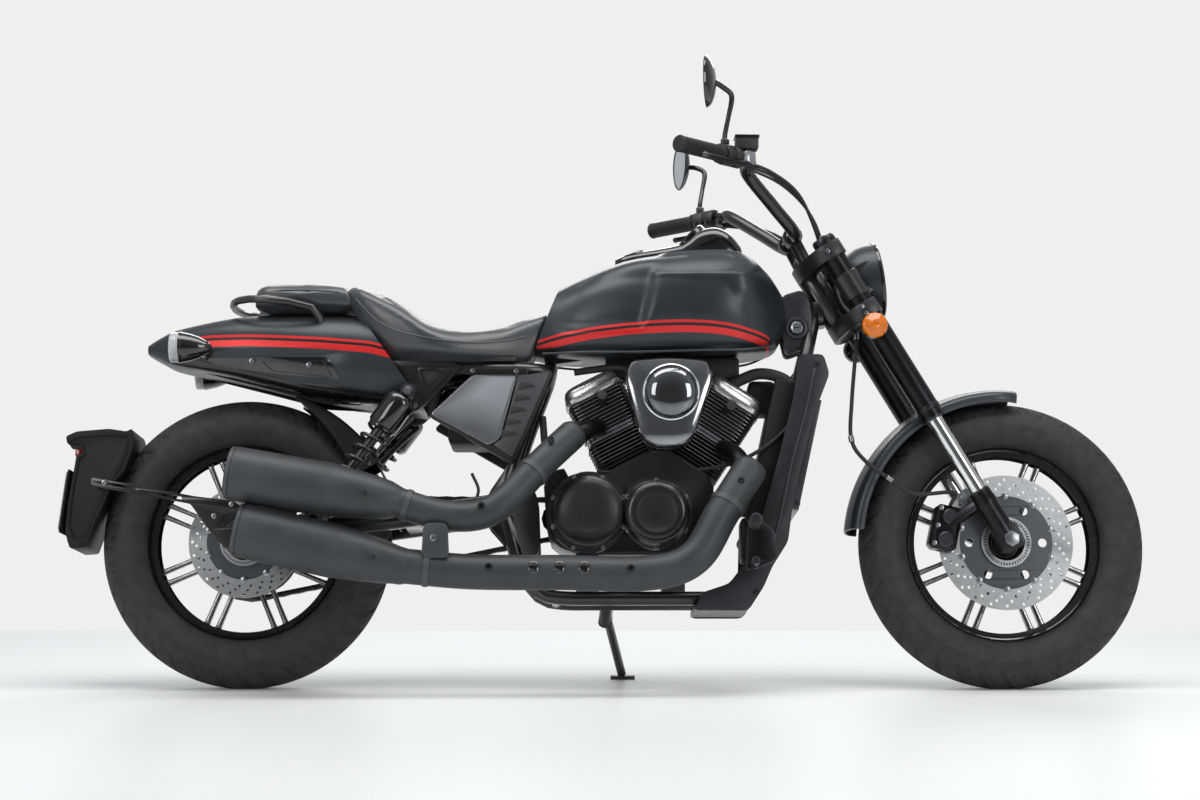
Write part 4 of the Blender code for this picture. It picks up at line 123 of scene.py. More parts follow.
def linear(hexColour):
    channels = [int(hexColour[k:k + 2], 16) / 255 for k in (1, 3, 5)]
    return tuple(c / 12.92 if c <= 0.04045 else ((c + 0.055) / 1.055) ** 2.4 for c in channels) + (1,)


def addNode(tree, kind, settings=None, **links):
    node = tree.nodes.new(kind)
    for key, value in (settings or {}).items():
        if key in node.inputs:
            node.inputs[key].default_value = value
        else:
            setattr(node, key, value)
    for key, source in links.items():
        tree.links.new(source, node.inputs[int(key[1:]) if key[1:].isdigit() else key])
    return node


def finish(name, slot, first, second, rough, **looks):
    # A surface with a mottled colour and roughness, fine relief and worn edges, all from real sizes.
    # Its grain is given as size and depth in mm, and strength.
    made = bpy.data.materials.new(name)
    made.use_nodes = True
    tree = made.node_tree
    shader = tree.nodes["Principled BSDF"]
    for socket, key in (("Metallic", "metal"), ("Coat Weight", "coat"), ("Coat Roughness", "coatRough"),
            ("Sheen Weight", "sheen"), ("IOR", "ior"), ("Transmission Weight", "clear"),
            ("Specular IOR Level", "specular"), ("Anisotropic", "brushed")):
        if key in looks:
            shader.inputs[socket].default_value = looks[key]
    where = addNode(tree, "ShaderNodeTexCoord").outputs["Object"]
    mottle = addNode(tree, "ShaderNodeTexNoise", {"Scale": 1 / (looks.get("mottleMm", 60) * mm),
        "Detail": 4}, Vector=where)
    blotch = addNode(tree, "ShaderNodeMapRange", {"From Min": 0.35, "From Max": 0.65},
        Value=mottle.outputs["Fac"])
    colour = addNode(tree, "ShaderNodeMix", {"data_type": "RGBA"}, n0=blotch.outputs["Result"])
    colour.inputs[6].default_value = linear(first)
    colour.inputs[7].default_value = linear(second)
    shade = colour.outputs[2]
    if "edge" in looks:
        shape = addNode(tree, "ShaderNodeNewGeometry").outputs["Pointiness"]
        wear = addNode(tree, "ShaderNodeMapRange", {"From Min": 0.53, "From Max": 0.6}, Value=shape)
        worn = addNode(tree, "ShaderNodeMix", {"data_type": "RGBA"}, n0=wear.outputs["Result"], n6=shade)
        worn.inputs[7].default_value = linear(looks["edge"])
        shade = worn.outputs[2]
    tree.links.new(shade, shader.inputs["Base Color"])
    spread = looks.get("roughSpread", 0.06)
    gloss = addNode(tree, "ShaderNodeMapRange", {"To Min": max(rough - spread, 0), "To Max": rough + spread},
        Value=mottle.outputs["Fac"])
    tree.links.new(gloss.outputs["Result"], shader.inputs["Roughness"])
    if "grain" in looks:
        size, depth, strength = looks["grain"]
        kind = "ShaderNodeTexVoronoi" if looks.get("cells") else "ShaderNodeTexNoise"
        grain = addNode(tree, kind, {"Scale": 1 / (size * mm)}, Vector=where)
        height = grain.outputs["Distance" if looks.get("cells") else "Fac"]
        relief = addNode(tree, "ShaderNodeBump", {"Distance": depth * mm, "Strength": strength},
            Height=height)
        tree.links.new(relief.outputs["Normal"], shader.inputs["Normal"])
    if "glow" in looks:
        shader.inputs["Emission Color"].default_value = linear(first)
        shader.inputs["Emission Strength"].default_value = looks["glow"]
    return made


# satin two-pack paint on pressed steel: soft wide highlights with a cold grey cast
satinPaint = finish("satin_charcoal_paint", "charcoal_paint", "#272c31", "#2b3035", 0.36, metal=0.35,
    roughSpread=0.03, mottleMm=120, coat=0.15, coatRough=0.35, edge="#3a3f46", grain=(0.6, 0.02, 0.2))
# injection-moulded glossy ABS, polished: near-black with sharp reflections
glossPlastic = finish("polished_black_abs", "pod_black", "#0b0b0c", "#0e0e10", 0.1, roughSpread=0.03,
    coat=0.6, coatRough=0.04, mottleMm=90, grain=(3, 0.01, 0.15))
# moulded ABS with a fine spark-eroded grain: dull black
grainPlastic = finish("grained_black_abs", "control_black", "#17181a", "#1c1d1f", 0.48, mottleMm=40,
    edge="#26282a", grain=(0.9, 0.08, 0.45))
# powder-coated steel: even satin black with a slight orange peel
powderCoat = finish("powder_coated_steel", "frame_black", "#101112", "#141516", 0.28, metal=0.1, mottleMm=70,
    coat=0.35, coatRough=0.2, edge="#2a2b2d", grain=(2.2, 0.05, 0.3))
# black anodised aluminium: a dark metal sheen with bright thin edges
blackAnodised = finish("black_anodised_aluminium", "caliper_black", "#1a1b1d", "#202124", 0.3, metal=0.75,
    mottleMm=50, edge="#5b5e62", grain=(0.5, 0.02, 0.3))
# black-painted aluminium casting: satin, softly uneven from the sand and the paint
castBlack = finish("painted_aluminium_casting", "engine_black", "#191a1b", "#202123", 0.36, metal=0.45,
    mottleMm=45, edge="#3c3d40", grain=(1.6, 0.12, 0.45))
# high-temperature ceramic paint on exhaust steel: flat warm-grey black
heatPaint = finish("ceramic_exhaust_paint", "exhaust_grey", "#323537", "#3a3d40", 0.5, metal=0.25,
    mottleMm=55, edge="#55575a", grain=(0.8, 0.05, 0.5))
# satin nickel on the rocker covers: pale, with soft reflections
satinNickel = finish("satin_nickel", "chrome", "#d2d3d2", "#c6c7c6", 0.27, metal=0.9, mottleMm=60,
    grain=(0.6, 0.02, 0.3))
# moulded plastic with a metal-flake gunmetal lacquer
gunmetal = finish("gunmetal_lacquer", "cover_grey", "#55575a", "#5d5f62", 0.42, metal=0.35, mottleMm=60,
    edge="#8d9095", grain=(0.5, 0.02, 0.3))
# tyre tread and sidewall compound: dull, faintly brown-grey where it has been rolled
tyreRubber = finish("tyre_rubber", "tyre", "#282829", "#333333", 0.7, roughSpread=0.08, mottleMm=25,
    specular=0.35, grain=(1.2, 0.12, 0.5))
# soft grip rubber
gripRubber = finish("grip_rubber", "hose_rubber", "#161616", "#1b1b1b", 0.62, mottleMm=20,
    grain=(0.8, 0.06, 0.5))
# polished and chromed steel: mirror bright with a very slight waviness
chrome = finish("chrome_plate", "chrome", "#d9dadb", "#cfd1d2", 0.06, roughSpread=0.03, metal=1, mottleMm=30,
    grain=(14, 0.05, 0.15))
# ground stainless steel of the brake discs: circular grinding lines dull it
groundSteel = finish("ground_stainless", "disc_steel", "#b9bbbd", "#a9abad", 0.3, metal=1, mottleMm=18,
    brushed=0.5, grain=(0.7, 0.02, 0.5))
# face-turned aluminium with clear lacquer
turnedAluminium = finish("machined_aluminium", "disc_steel", "#b4b7ba", "#9ea1a5", 0.26, metal=1,
    mottleMm=14, brushed=0.4, grain=(0.6, 0.02, 0.4))
# zinc-plated steel fasteners
zincSteel = finish("zinc_plated_steel", "disc_steel", "#9b9da0", "#86898d", 0.3, metal=1, mottleMm=6,
    grain=(0.5, 0.02, 0.4))
# oiled roller-chain steel, dark in its joints
oiledSteel = finish("oiled_chain_steel", "chain_steel", "#3b3a38", "#5a5854", 0.34, metal=0.9, mottleMm=8,
    edge="#7d7b76", grain=(0.7, 0.05, 0.5))
# upholstery vinyl over foam: fine leather pores, satin sheen
seatLeather = finish("upholstery_leather", "leather", "#2a2d31", "#303438", 0.36, specular=0.7, coat=0.12,
    coatRough=0.3, cells=True, mottleMm=50, sheen=0.1, grain=(2.4, 0.25, 0.55))
# polycarbonate: amber, red and clear
amberLens = finish("amber_polycarbonate", "amber_lens", "#ff8a10", "#f97a08", 0.08, clear=0.45, ior=1.58,
    mottleMm=12, glow=0.08, grain=(6, 0.2, 0.5))
redLens = finish("red_polycarbonate", "amber_lens", "#c4120e", "#a80d0a", 0.1, clear=0.2, ior=1.58,
    mottleMm=10, grain=(5, 0.2, 0.4))
clearLens = finish("clear_polycarbonate", "lamp_glass", "#eef2f4", "#f6f8fa", 0.03, roughSpread=0.02,
    clear=0.92, ior=1.5, mottleMm=30)
mirrorGlass = finish("silvered_glass", None, "#dfe3e6", "#e6e9ec", 0.02, roughSpread=0.01, metal=1,
    mottleMm=60)
# red enamel on small controls
redPaint = finish("red_enamel", "disc_steel", "#c01818", "#a81414", 0.25, coat=0.4, coatRough=0.1,
    mottleMm=20, grain=(1.5, 0.02, 0.3))
print("finishes made")

# Shapes, as (points, faces), and the pieces made from them

def quads(rows, count):
    # The faces between rows of points that each run round a closed loop.
    return [(r * count + k, r * count + (k + 1) % count, (r + 1) * count + (k + 1) % count,
        (r + 1) * count + k) for r in range(rows - 1) for k in range(count)]


def skinned(rings):
    # A skin over rings of points, closed at its last ring.
    count = len(rings[0])
    points = [p for ring in rings for p in ring]
    return points, quads(len(rings), count) + [tuple(range(len(points) - count, len(points)))]


def spun(profile, sides=64):
    # Turns (radius, height) points about z; a radius of 0 closes an end.
    points = [Vector((radius * cos(a), radius * sin(a), height)) for radius,
        height in profile for a in around(sides)]
    return points, quads(len(profile), sides)


def spunRing(profile, sides=64):
    # A closed profile turned about z, such as a tyre or a rim.
    return spun(list(profile) + [profile[0]], sides)


def smoothRoute(route, steps=8):
    # Catmull-Rom points through a route.
    spots = [Vector(p) for p in route]
    ends = [spots[0] * 2 - spots[1]] + spots + [spots[-1] * 2 - spots[-2]]
    out = []
    for k in range(1, len(ends) - 2):
        a, b, c, d = ends[k - 1:k + 3]
        for s in range(steps):
            t = s / steps
            out.append(0.5 * (2 * b + (c - a) * t + (2 * a - 5 * b + 4 * c - d) * t * t
                + (3 * b - a - 3 * c + d) * t ** 3))
    out.append(spots[-1])
    return out


def swept(route, radius, sides=20, steps=8, squash=1):
    # A round tube along a smoothed route; radius is one number or one for each routed point.
    line = smoothRoute(route, steps)
    if not hasattr(radius, "__len__"):
        radius = [radius] * len(route)
    points, across = [], None
    for k, spot in enumerate(line):
        ahead = (line[min(k + 1, len(line) - 1)] - line[max(k - 1, 0)]).normalized()
        if across is None:
            across = ahead.orthogonal().normalized()
        across = (across - ahead * across.dot(ahead)).normalized()
        other = ahead.cross(across)
        place = min(k / steps, len(radius) - 1.001)
        low = int(place)
        size = radius[low] + (radius[low + 1] - radius[low]) * (place - low) if len(radius) > 1 else radius[0]
        for s in range(sides):
            a = 2 * pi * s / sides
            points.append(spot + across * size * cos(a) + other * size * squash * sin(a))
    ends = [tuple(reversed(range(sides))), tuple(range(len(points) - sides, len(points)))]
    return points, quads(len(line), sides) + ends


def slab(outline, thickness):
    # A flat (x, z) outline with thickness along y, about its middle.
    count = len(outline)
    points = [Vector((x, side * thickness / 2, z)) for side in (-1, 1) for x, z in outline]
    faces = [tuple(range(count)), tuple(reversed(range(count, 2 * count)))]
    faces += [(k, k + count, (k + 1) % count + count, (k + 1) % count) for k in range(count)]
    return points, faces


def rounded(corners, radius, steps=5):
    # Corners of an outline eased by arcs.
    out = []
    count = len(corners)
    for k in range(count):
        spot = Vector(corners[k]).to_2d()
        back = Vector(corners[k - 1]).to_2d() - spot
        ahead = Vector(corners[(k + 1) % count]).to_2d() - spot
        reach = min(radius, back.length * 0.45, ahead.length * 0.45)
        start, end = spot + back.normalized() * reach, spot + ahead.normalized() * reach
        for s in range(steps + 1):
            t = s / steps
            out.append(tuple(start * (1 - t) ** 2 + spot * 2 * t * (1 - t) + end * t * t))
    return out


def block(size, centre=(0, 0, 0)):
    half = Vector(size) / 2
    outline = [(-half.x, -half.z), (half.x, -half.z), (half.x, half.z), (-half.x, half.z)]
    points, faces = slab(outline, size[1])
    return [p + Vector(centre) for p in points], faces


def moved(shape, matrix):
    return [matrix @ Vector(p) for p in shape[0]], shape[1]


def joined(*shapes):
    points, faces = [], []
    for shape in shapes:
        faces += [tuple(k + len(points) for k in face) for face in shape[1]]
        points += [Vector(p) for p in shape[0]]
    return points, faces


def dropLoose(mesh, reach=1e-6):
    work = bmesh.new()
    work.from_mesh(mesh)
    bmesh.ops.remove_doubles(work, verts=work.verts, dist=reach)
    bmesh.ops.dissolve_degenerate(work, edges=work.edges, dist=1e-7)
    bmesh.ops.recalc_face_normals(work, faces=work.faces)
    work.to_mesh(mesh)
    work.free()


def apply(thing):
    # Bakes a piece's modifiers into its mesh.
    baked = bakedMesh(thing)
    thing.modifiers.clear()
    thing.data = baked


def ease(thing, width, segments=2, sharpAngle=32):
    # Rounds the sharp edges a little, so that they catch the light.
    if width:
        bevel = thing.modifiers.new("ease", "BEVEL")
        bevel.width, bevel.segments, bevel.limit_method = width, segments, "ANGLE"
        bevel.angle_limit = radians(sharpAngle)
        bevel.use_clamp_overlap = True
        apply(thing)
    thing.data.shade_smooth()
    thing.data.set_sharp_from_angle(angle=radians(sharpAngle + 8))


def piece(name, shape, surface, place=bike, stands="", sharp=32, soft=0, body="chassis"):
    # A new piece of the dressed motorcycle, riding on a body and perhaps standing for a CAD node.
    mesh = bpy.data.meshes.new(name)
    mesh.from_pydata([place @ Vector(p) for p in shape[0]], [], shape[1])
    dropLoose(mesh)
    thing = placed(name, mesh)
    mesh.materials.append(surface)
    ease(thing, soft, sharpAngle=sharp)
    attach(thing, body)
    if stands:
        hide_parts(stands)
    return thing


def refined(node, surface, soft=0.0012, sharp=50, body="chassis"):
    # A copy of a CAD node with eased edges and smooth round stretches, which stands for it.
    mesh = nodes[node].data.copy()
    mesh.name = node + "_fine"
    mesh.materials.clear()
    mesh.materials.append(surface)
    dropLoose(mesh, 1e-5)
    work = bmesh.new()
    work.from_mesh(mesh)
    bmesh.ops.dissolve_limit(work, angle_limit=radians(1), verts=work.verts, edges=work.edges)
    work.to_mesh(mesh)
    work.free()
    thing = placed(node + "_fine", mesh)
    ease(thing, soft, 2, sharp)
    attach(thing, body)
    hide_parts(node)
    return thing


def sheet(outlines, thickness):
    # A flat shape in x and y with round holes or any inner outline, thick along z.
    curve = bpy.data.curves.new("flat", "CURVE")
    curve.dimensions, curve.fill_mode, curve.extrude = "2D", "BOTH", thickness / 2
    for outline in outlines:
        spline = curve.splines.new("POLY")
        spline.points.add(len(outline) - 1)
        for spot, (x, y) in zip(spline.points, outline):
            spot.co = (x, y, 0, 1)
        spline.use_cyclic_u = True
    holder = placed("flat", curve)
    mesh = bakedMesh(holder)
    shape = ([v.co.copy() for v in mesh.vertices], [tuple(face.vertices) for face in mesh.polygons])
    bpy.data.objects.remove(holder)
    return shape


def circle(radius, centre=(0, 0), sides=64):
    return [(centre[0] + radius * cos(a), centre[1] + radius * sin(a)) for a in around(sides)]


def ringOfHoles(count, radius, hole, sides=14, turn=0):
    return [circle(hole, (radius * cos(a), radius * sin(a)), sides) for a in around(count, turn)]


def socketBolt(size):
    # A round-headed screw with a hexagon socket, head up along z.
    head = spun([(size, 0), (size, 0.55 * size), (0.88 * size, 0.72 * size), (0.55 * size, 0.78 * size)], 20)
    socket = spun([(0.55 * size, 0.78 * size), (0.48 * size, 0.72 * size), (0.44 * size, 0.35 * size),
        (0, 0.3 * size)], 6)
    return joined(head, socket)


def hexNut(size):
    body = spun([(size, 0), (size, 0.8 * size), (0.86 * size, 0.95 * size), (0.5 * size, 0.95 * size)], 6)
    stud = spun([(0.5 * size, 0.8 * size), (0.5 * size, 1.25 * size), (0.4 * size, 1.35 * size),
        (0, 1.35 * size)], 18)
    return joined(body, stud)


def bolts(name, spots, size, direction=(0, -1, 0), place=bike, surface=zincSteel, body="chassis"):
    heads = [moved(socketBolt(size), aim(spot, direction)) for spot in spots]
    piece(name, joined(*heads), surface, place, sharp=25, body=body)

# Wheels

tyreSizes = {"front": {"radius": 0.32, "width": 0.13, "rim": 0.089},
    "rear": {"radius": 0.3225, "width": 0.15, "rim": 0.114}}
tread = {"columns": 540, "groove": 0.0035, "pitchCount": 36}


def tyreProfile(sizes):
    # Closed (radius, across) section: crown, shoulders, bulged sidewalls, bead, inner face.
    half = sizes["width"] / 2
    top = sizes["radius"]
    outer = []
    for k in range(33):
        t = -1 + 2 * k / 32
        outer.append((top - 0.036 * sizes["width"] / 0.13 * abs(t) ** 2.1, 0.905 * half * t))
    side = [(top - 0.052, 0.985), (top - 0.068, 0.995), (0.243, 0.93), (0.229, 0.83)]
    right = [(radius, half * share) for radius, share in side] + [(0.2165, sizes["rim"] / 2 - 0.009)]
    left = [(radius, -across) for radius, across in reversed(right)]
    inner = [(0.2165, sizes["rim"] / 2 - 0.022), (0.262, half * 0.78), (top - 0.042, half * 0.72),
        (top - 0.014, half * 0.3)]
    back = [(radius, -across) for radius, across in reversed(inner)]
    return outer + right + inner + back + left


def grooveDepth(turn, across, half):
    # How deep the tread is cut at an angle (in pitches) and a place across, from -1 to 1.
    share = abs(across) / half
    if share > 0.93:
        return 0
    swing = turn + (0.5 if across > 0 else 0)
    depth = 0
    slant = (swing - 0.9 * share) % 1           # long slanted cuts from near the middle to the shoulder
    if 0.16 < share < 0.9 and abs(slant - 0.5) < 0.085:
        depth = 1
    short = (swing + 0.55 * share + 0.3) % 1    # short cuts the other way, on the shoulder only
    if 0.52 < share < 0.88 and abs(short - 0.5) < 0.05:
        depth = max(depth, 0.8)
    if abs(share - 0.05) < 0.035:               # a groove on each side of the middle rib
        depth = 1
    return depth


def tyre(which, place, body):
    sizes = tyreSizes[which]
    profile = tyreProfile(sizes)
    crown = 33
    fine = []
    for k in range(crown - 1):
        a, b = profile[k], profile[k + 1]
        fine += [(a[0] + (b[0] - a[0]) * s / 2, a[1] + (b[1] - a[1]) * s / 2) for s in range(2)]
    loop = fine + profile[crown - 1:]
    points, faces = spun(loop + [loop[0]], tread["columns"])
    columns = tread["columns"]
    half = 0.905 * sizes["width"] / 2
    for row in range(len(fine)):
        across = loop[row][1]
        for k in range(columns):
            depth = grooveDepth(tread["pitchCount"] * k / columns, across, half) * tread["groove"]
            if depth:
                spot = points[row * columns + k]
                size = hypot(spot.x, spot.y)
                spot.x *= (size - depth) / size
                spot.y *= (size - depth) / size
    sideBand = spunRing([(0.268, sizes["width"] / 2 * 0.992), (0.2665, sizes["width"] / 2 * 1.004),
        (0.262, sizes["width"] / 2 * 0.992)], 180)
    shape = joined((points, faces), sideBand, moved(sideBand, turned("X", 180)))
    piece(which + "_tyre_treaded", shape, tyreRubber, place @ turned("X", -90), which + "_tyre", 40,
        body=body)


rim = {"flange": 0.233, "seat": 0.2165, "well": 0.196, "spokeEnd": 0.2035, "hub": 0.06, "spokeWidth": 0.0115,
    "spokeDepth": 0.026, "spread": 0.027, "pairs": 8, "firstPair": 22.5}


def rimProfile(width):
    half = width / 2
    wall = 0.006
    outer = [(rim["flange"], half + 0.003), (rim["flange"], half - 0.003),
        (rim["seat"] + 0.004, half - 0.007), (rim["seat"], half - 0.012),
        (rim["seat"] - 0.001, half - 0.022), (rim["well"] + 0.008, half * 0.45)]
    inner = [(radius - wall, across) for radius, across in reversed(outer[2:])]
    lip = [(rim["flange"] - 0.008, half - 0.001), (rim["flange"] - 0.004, half + 0.005)]
    right = outer[::-1]
    mirror = [(radius, -across) for radius, across in outer]
    lipMirror = [(radius, -across) for radius, across in reversed(lip)]
    innerMirror = [(radius, -across) for radius, across in reversed(inner)]
    return mirror + right + lip[::-1] + inner + innerMirror + lipMirror[::-1]


def spokeShape(reach, width, depth):
    # One flat bar from the hub to the barrel, along x, slightly waisted and deeper at the hub.
    rows = []
    for share, wide, deep in ((0, 1.15, 1.2), (0.25, 0.95, 1), (0.65, 0.85, 0.8), (0.92, 1, 0.8),
            (1, 1.5, 1)):
        x = rim["hub"] * 0.8 + (reach - rim["hub"] * 0.8) * share
        w, d = width * wide / 2, depth * deep / 2
        rows.append([(x, -w, -d), (x, w, -d), (x, w, d), (x, -w, d)])
    points = [Vector(p) for row in rows for p in row]
    faces = [(0, 1, 2, 3), tuple(4 * (len(rows) - 1) + k for k in (3, 2, 1, 0))]
    for r in range(len(rows) - 1):
        faces += [(4 * r + k, 4 * (r + 1) + k, 4 * (r + 1) + (k + 1) % 4, 4 * r + (k + 1) % 4)
            for k in range(4)]
    return points, faces


def wheel(which, place, body):
    sizes = tyreSizes[which]
    flat = place @ turned("X", -90)
    barrel = spunRing(rimProfile(sizes["rim"]), 128)
    hub = spun([(0, -0.058), (0.026, -0.058), (0.03, -0.054), (0.034, -0.036), (0.058, -0.03),
        (0.06, -0.026), (0.06, -0.018), (0.052, -0.012), (0.05, 0), (0.052, 0.012), (0.06, 0.018),
        (0.06, 0.026), (0.058, 0.03), (0.034, 0.036), (0.03, 0.054), (0.026, 0.058), (0, 0.058)], 64)
    spokes, faces = [], []
    for pair in range(rim["pairs"]):
        turn = turned("Z", rim["firstPair"] + 360 / rim["pairs"] * pair)
        for side in (-1, 1):
            bar = moved(spokeShape(rim["spokeEnd"], rim["spokeWidth"], rim["spokeDepth"]),
                turn @ offset(0, side * rim["spread"] / 2, 0))
            spokes.append(bar)
            for face in (-1, 1):
                lift = face * (rim["spokeDepth"] * 0.42)
                cutFace = spokeShape(rim["spokeEnd"] - 0.01, rim["spokeWidth"] * 0.42, 0.003)
                outer = moved(cutFace, turn @ offset(0.006, side * rim["spread"] / 2, lift))
                for p in outer[0]:
                    share = (p.to_2d().length - rim["hub"]) / (rim["spokeEnd"] - rim["hub"])
                    crown = (1.06 - 0.2 * min(1, max(0, share)) ** 0.7) * (1 if share < 0.3 else 0.97)
                    p.z += face * rim["spokeDepth"] / 2 * crown - lift
                faces.append(outer)
    piece(which + "_wheel_barrel", joined(barrel, hub), powderCoat, flat, which + "_rim", 30, body=body)
    piece(which + "_wheel_spokes", joined(*spokes), powderCoat, flat, sharp=30, soft=0.0016, body=body)
    piece(which + "_spoke_faces", joined(*faces), turnedAluminium, flat, sharp=30, soft=0.0004, body=body)


disc = {"front": {"outer": 0.15, "band": 0.046, "tone": 0.052, "holes": ((0.141, 0.0035), (0.131, 0.0035),
    (0.121, 0.0032), (0.1115, 0.003))}, "rear": {"outer": 0.124, "band": 0.04, "tone": 0.05,
    "holes": ((0.116, 0.0034), (0.107, 0.0032), (0.098, 0.003))}, "side": -0.0625, "thick": 0.005,
    "holeCount": 24}


def brakeDisc(which, place, body):
    sizes = disc[which]
    face = place @ offset(0, disc["side"], 0) @ turned("X", 90)
    inner = sizes["outer"] - sizes["band"]
    drilled = []
    for k, (radius, hole) in enumerate(sizes["holes"]):
        drilled += ringOfHoles(disc["holeCount"], radius, hole, 12, k * pi / disc["holeCount"] * 0.62)
    plate = sheet([circle(sizes["outer"], sides=160), circle(inner, sides=120)] + drilled, disc["thick"])
    piece(which + "_disc_drilled", plate, groundSteel, face, which + "_disc", 30, body=body)
    windows = [circle(0.01, (0.082 * cos(a), 0.082 * sin(a)), 24)
        for a in around(6)] if which == "front" else []
    carrier = sheet([circle(inner + 0.004, sides=120), circle(0.04, sides=60)] + windows, 0.006)
    lugs = joined(*[moved(spun([(0.0075, -0.0045), (0.0075, 0.0045), (0.0055, 0.0055), (0, 0.0055)], 20),
        offset(inner * cos(a), inner * sin(a), 0)) for a in around(10, pi / 10)])
    piece(which + "_disc_carrier", carrier, blackAnodised, face @ offset(0, 0, -0.0006), sharp=30, body=body)
    piece(which + "_disc_buttons", lugs, zincSteel, face, sharp=30, body=body)
    slots = [[(radius * cos(a + s), radius * sin(a + s)) for radius, s in ((0.0455, -0.03), (0.0455, 0.03),
        (sizes["tone"], 0.03), (sizes["tone"], -0.03))] for a in around(48)]
    ring = sheet([circle(sizes["tone"] + 0.004, sides=96), circle(0.041, sides=64)] + slots, 0.002)
    piece(which + "_speed_ring", ring, groundSteel, face @ offset(0, 0, 0.0075), sharp=30, body=body)


for which, place, body in (("front", frontHub, "front_wheel"), ("rear", rearHub, "rear_wheel")):
    tyre(which, place, body)
    wheel(which, place, body)
    brakeDisc(which, place, body)
for node, body in (("front_axle", "steering"), ("rear_axle", "chassis")):
    refined(node, zincSteel, 0.0006, body=body)
print("wheels made")

# Fork, lamp, bars and what turns with them; fork pieces use the fork's axes

forkSizes = {"spacing": 0.206, "slider": 0.0245, "stanchion": 0.0195, "sleeve": 0.027, "sliderTop": 0.128,
    "top": 0.79, "lowerYoke": 0.6, "upperYoke": 0.755}


def forkLegs():
    s = forkSizes
    for name, side in bothSides:
        place = fork @ offset(0, side * s["spacing"] / 2, 0)
        slider = spun([(0, -0.0175), (0.018, -0.0175), (s["slider"], -0.01), (s["slider"], 0.085),
            (0.0265, 0.092), (0.0265, 0.104), (s["slider"], 0.11), (s["slider"], 0.12),
            (0.0235, s["sliderTop"]), (0.0205, 0.13), (s["stanchion"], 0.13)], 48)
        sleeve = spun([(s["stanchion"], 0.313), (0.0255, 0.313), (0.0268, 0.318), (s["sleeve"], 0.324),
            (s["sleeve"], 0.56), (0.0262, 0.565), (0.0262, 0.77), (s["sleeve"], 0.772), (s["sleeve"], 0.784),
            (0.025, s["top"]), (0, s["top"])], 48)
        tube = spun([(s["stanchion"], 0.12), (s["stanchion"], 0.33)], 48)
        rings = [spun([(0.0268, z), (0.0282, z + 0.003), (0.0282, z + 0.01), (0.0268, z + 0.013)], 48)
            for z in (0.335, 0.735)]
        cap = moved(spun([(0.012, 0), (0.012, 0.006), (0.01, 0.008), (0, 0.008)], 6), offset(0, 0, 0.788))
        piece("fork_leg_" + name + "_turned", joined(slider, sleeve, *rings), blackAnodised, place,
            "fork_leg_" + name, 28, body="steering")
        piece("stanchion_" + name, tube, chrome, place, body="steering")
        piece("fork_cap_" + name, cap, zincSteel, place, soft=0.0006, body="steering")
        foot = slab(rounded([(-0.03, -0.02), (0.026, -0.026), (0.03, 0.03), (-0.012, 0.046)], 0.012), 0.018)
        piece("axle_clamp_" + name, moved(foot, offset(0, side * 0.012, 0)), castBlack, place, soft=0.002,
            body="steering")


def yokes():
    refined("fork_yokes", castBlack, 0.003, 40, body="steering")
    s = forkSizes
    for side in (-1, 1):
        bolts("yoke_bolts_" + ("left" if side > 0 else "right"),
            [(-0.012, side * 0.1352, z) for z in (s["lowerYoke"] - 0.009, s["lowerYoke"] + 0.009,
            s["upperYoke"])], 0.0055, (0, side, 0), place=fork, body="steering")
    nut = moved(hexNut(0.017), offset(-0.048, 0, s["upperYoke"] + 0.017))
    piece("stem_nut", nut, zincSteel, fork, soft=0.0005, body="steering")


bars = {"centre": (1.22, 1.015), "riser": 0.08, "knee": (1.102, 0.2, 1.121), "perch": (1.098, 0.26, 1.134),
    "end": (0.936, 0.4, 1.132), "radius": 0.0145, "gripLength": 0.128}


def barPoints(side):
    flip = lambda p: Vector((p[0], side * p[1], p[2]))
    return [Vector((bars["centre"][0], 0, bars["centre"][1])),
        Vector((bars["centre"][0], side * bars["riser"], bars["centre"][1])), flip(bars["knee"]),
        flip(bars["perch"]), flip(bars["end"])]


def barAxis(side):
    perch, end = barPoints(side)[-2:]
    return (end - perch).normalized()


def handlebar():
    left, right = barPoints(1), barPoints(-1)
    route = [left[-1], left[-1].lerp(left[-2], 0.5), left[-2], left[-3], left[1].lerp(left[2], 0.45),
        left[1], left[0], right[1], right[1].lerp(right[2], 0.45), right[-3], right[-2],
        right[-1].lerp(right[-2], 0.5), right[-1]]
    piece("handlebar_bent", swept(route, bars["radius"], 28, 8), powderCoat, steered, "handlebar", 40,
        body="steering")
    for name, side in bothSides:
        out = barAxis(side)
        end = barPoints(side)[-1]
        profile = [(0.015, -0.128), (0.021, -0.128), (0.0215, -0.121), (0.0178, -0.118)]
        for k in range(22):
            z = -0.114 + 0.005 * k
            profile += [(0.018, z), (0.018, z + 0.003), (0.0169, z + 0.0034), (0.0169, z + 0.0046)]
        profile += [(0.0186, -0.003), (0.019, 0.001), (0.017, 0.004), (0.009, 0.0045), (0, 0.0045)]
        piece("grip_" + name, spun(profile, 40), gripRubber, steered @ aim(end, out), sharp=30,
            body="steering")


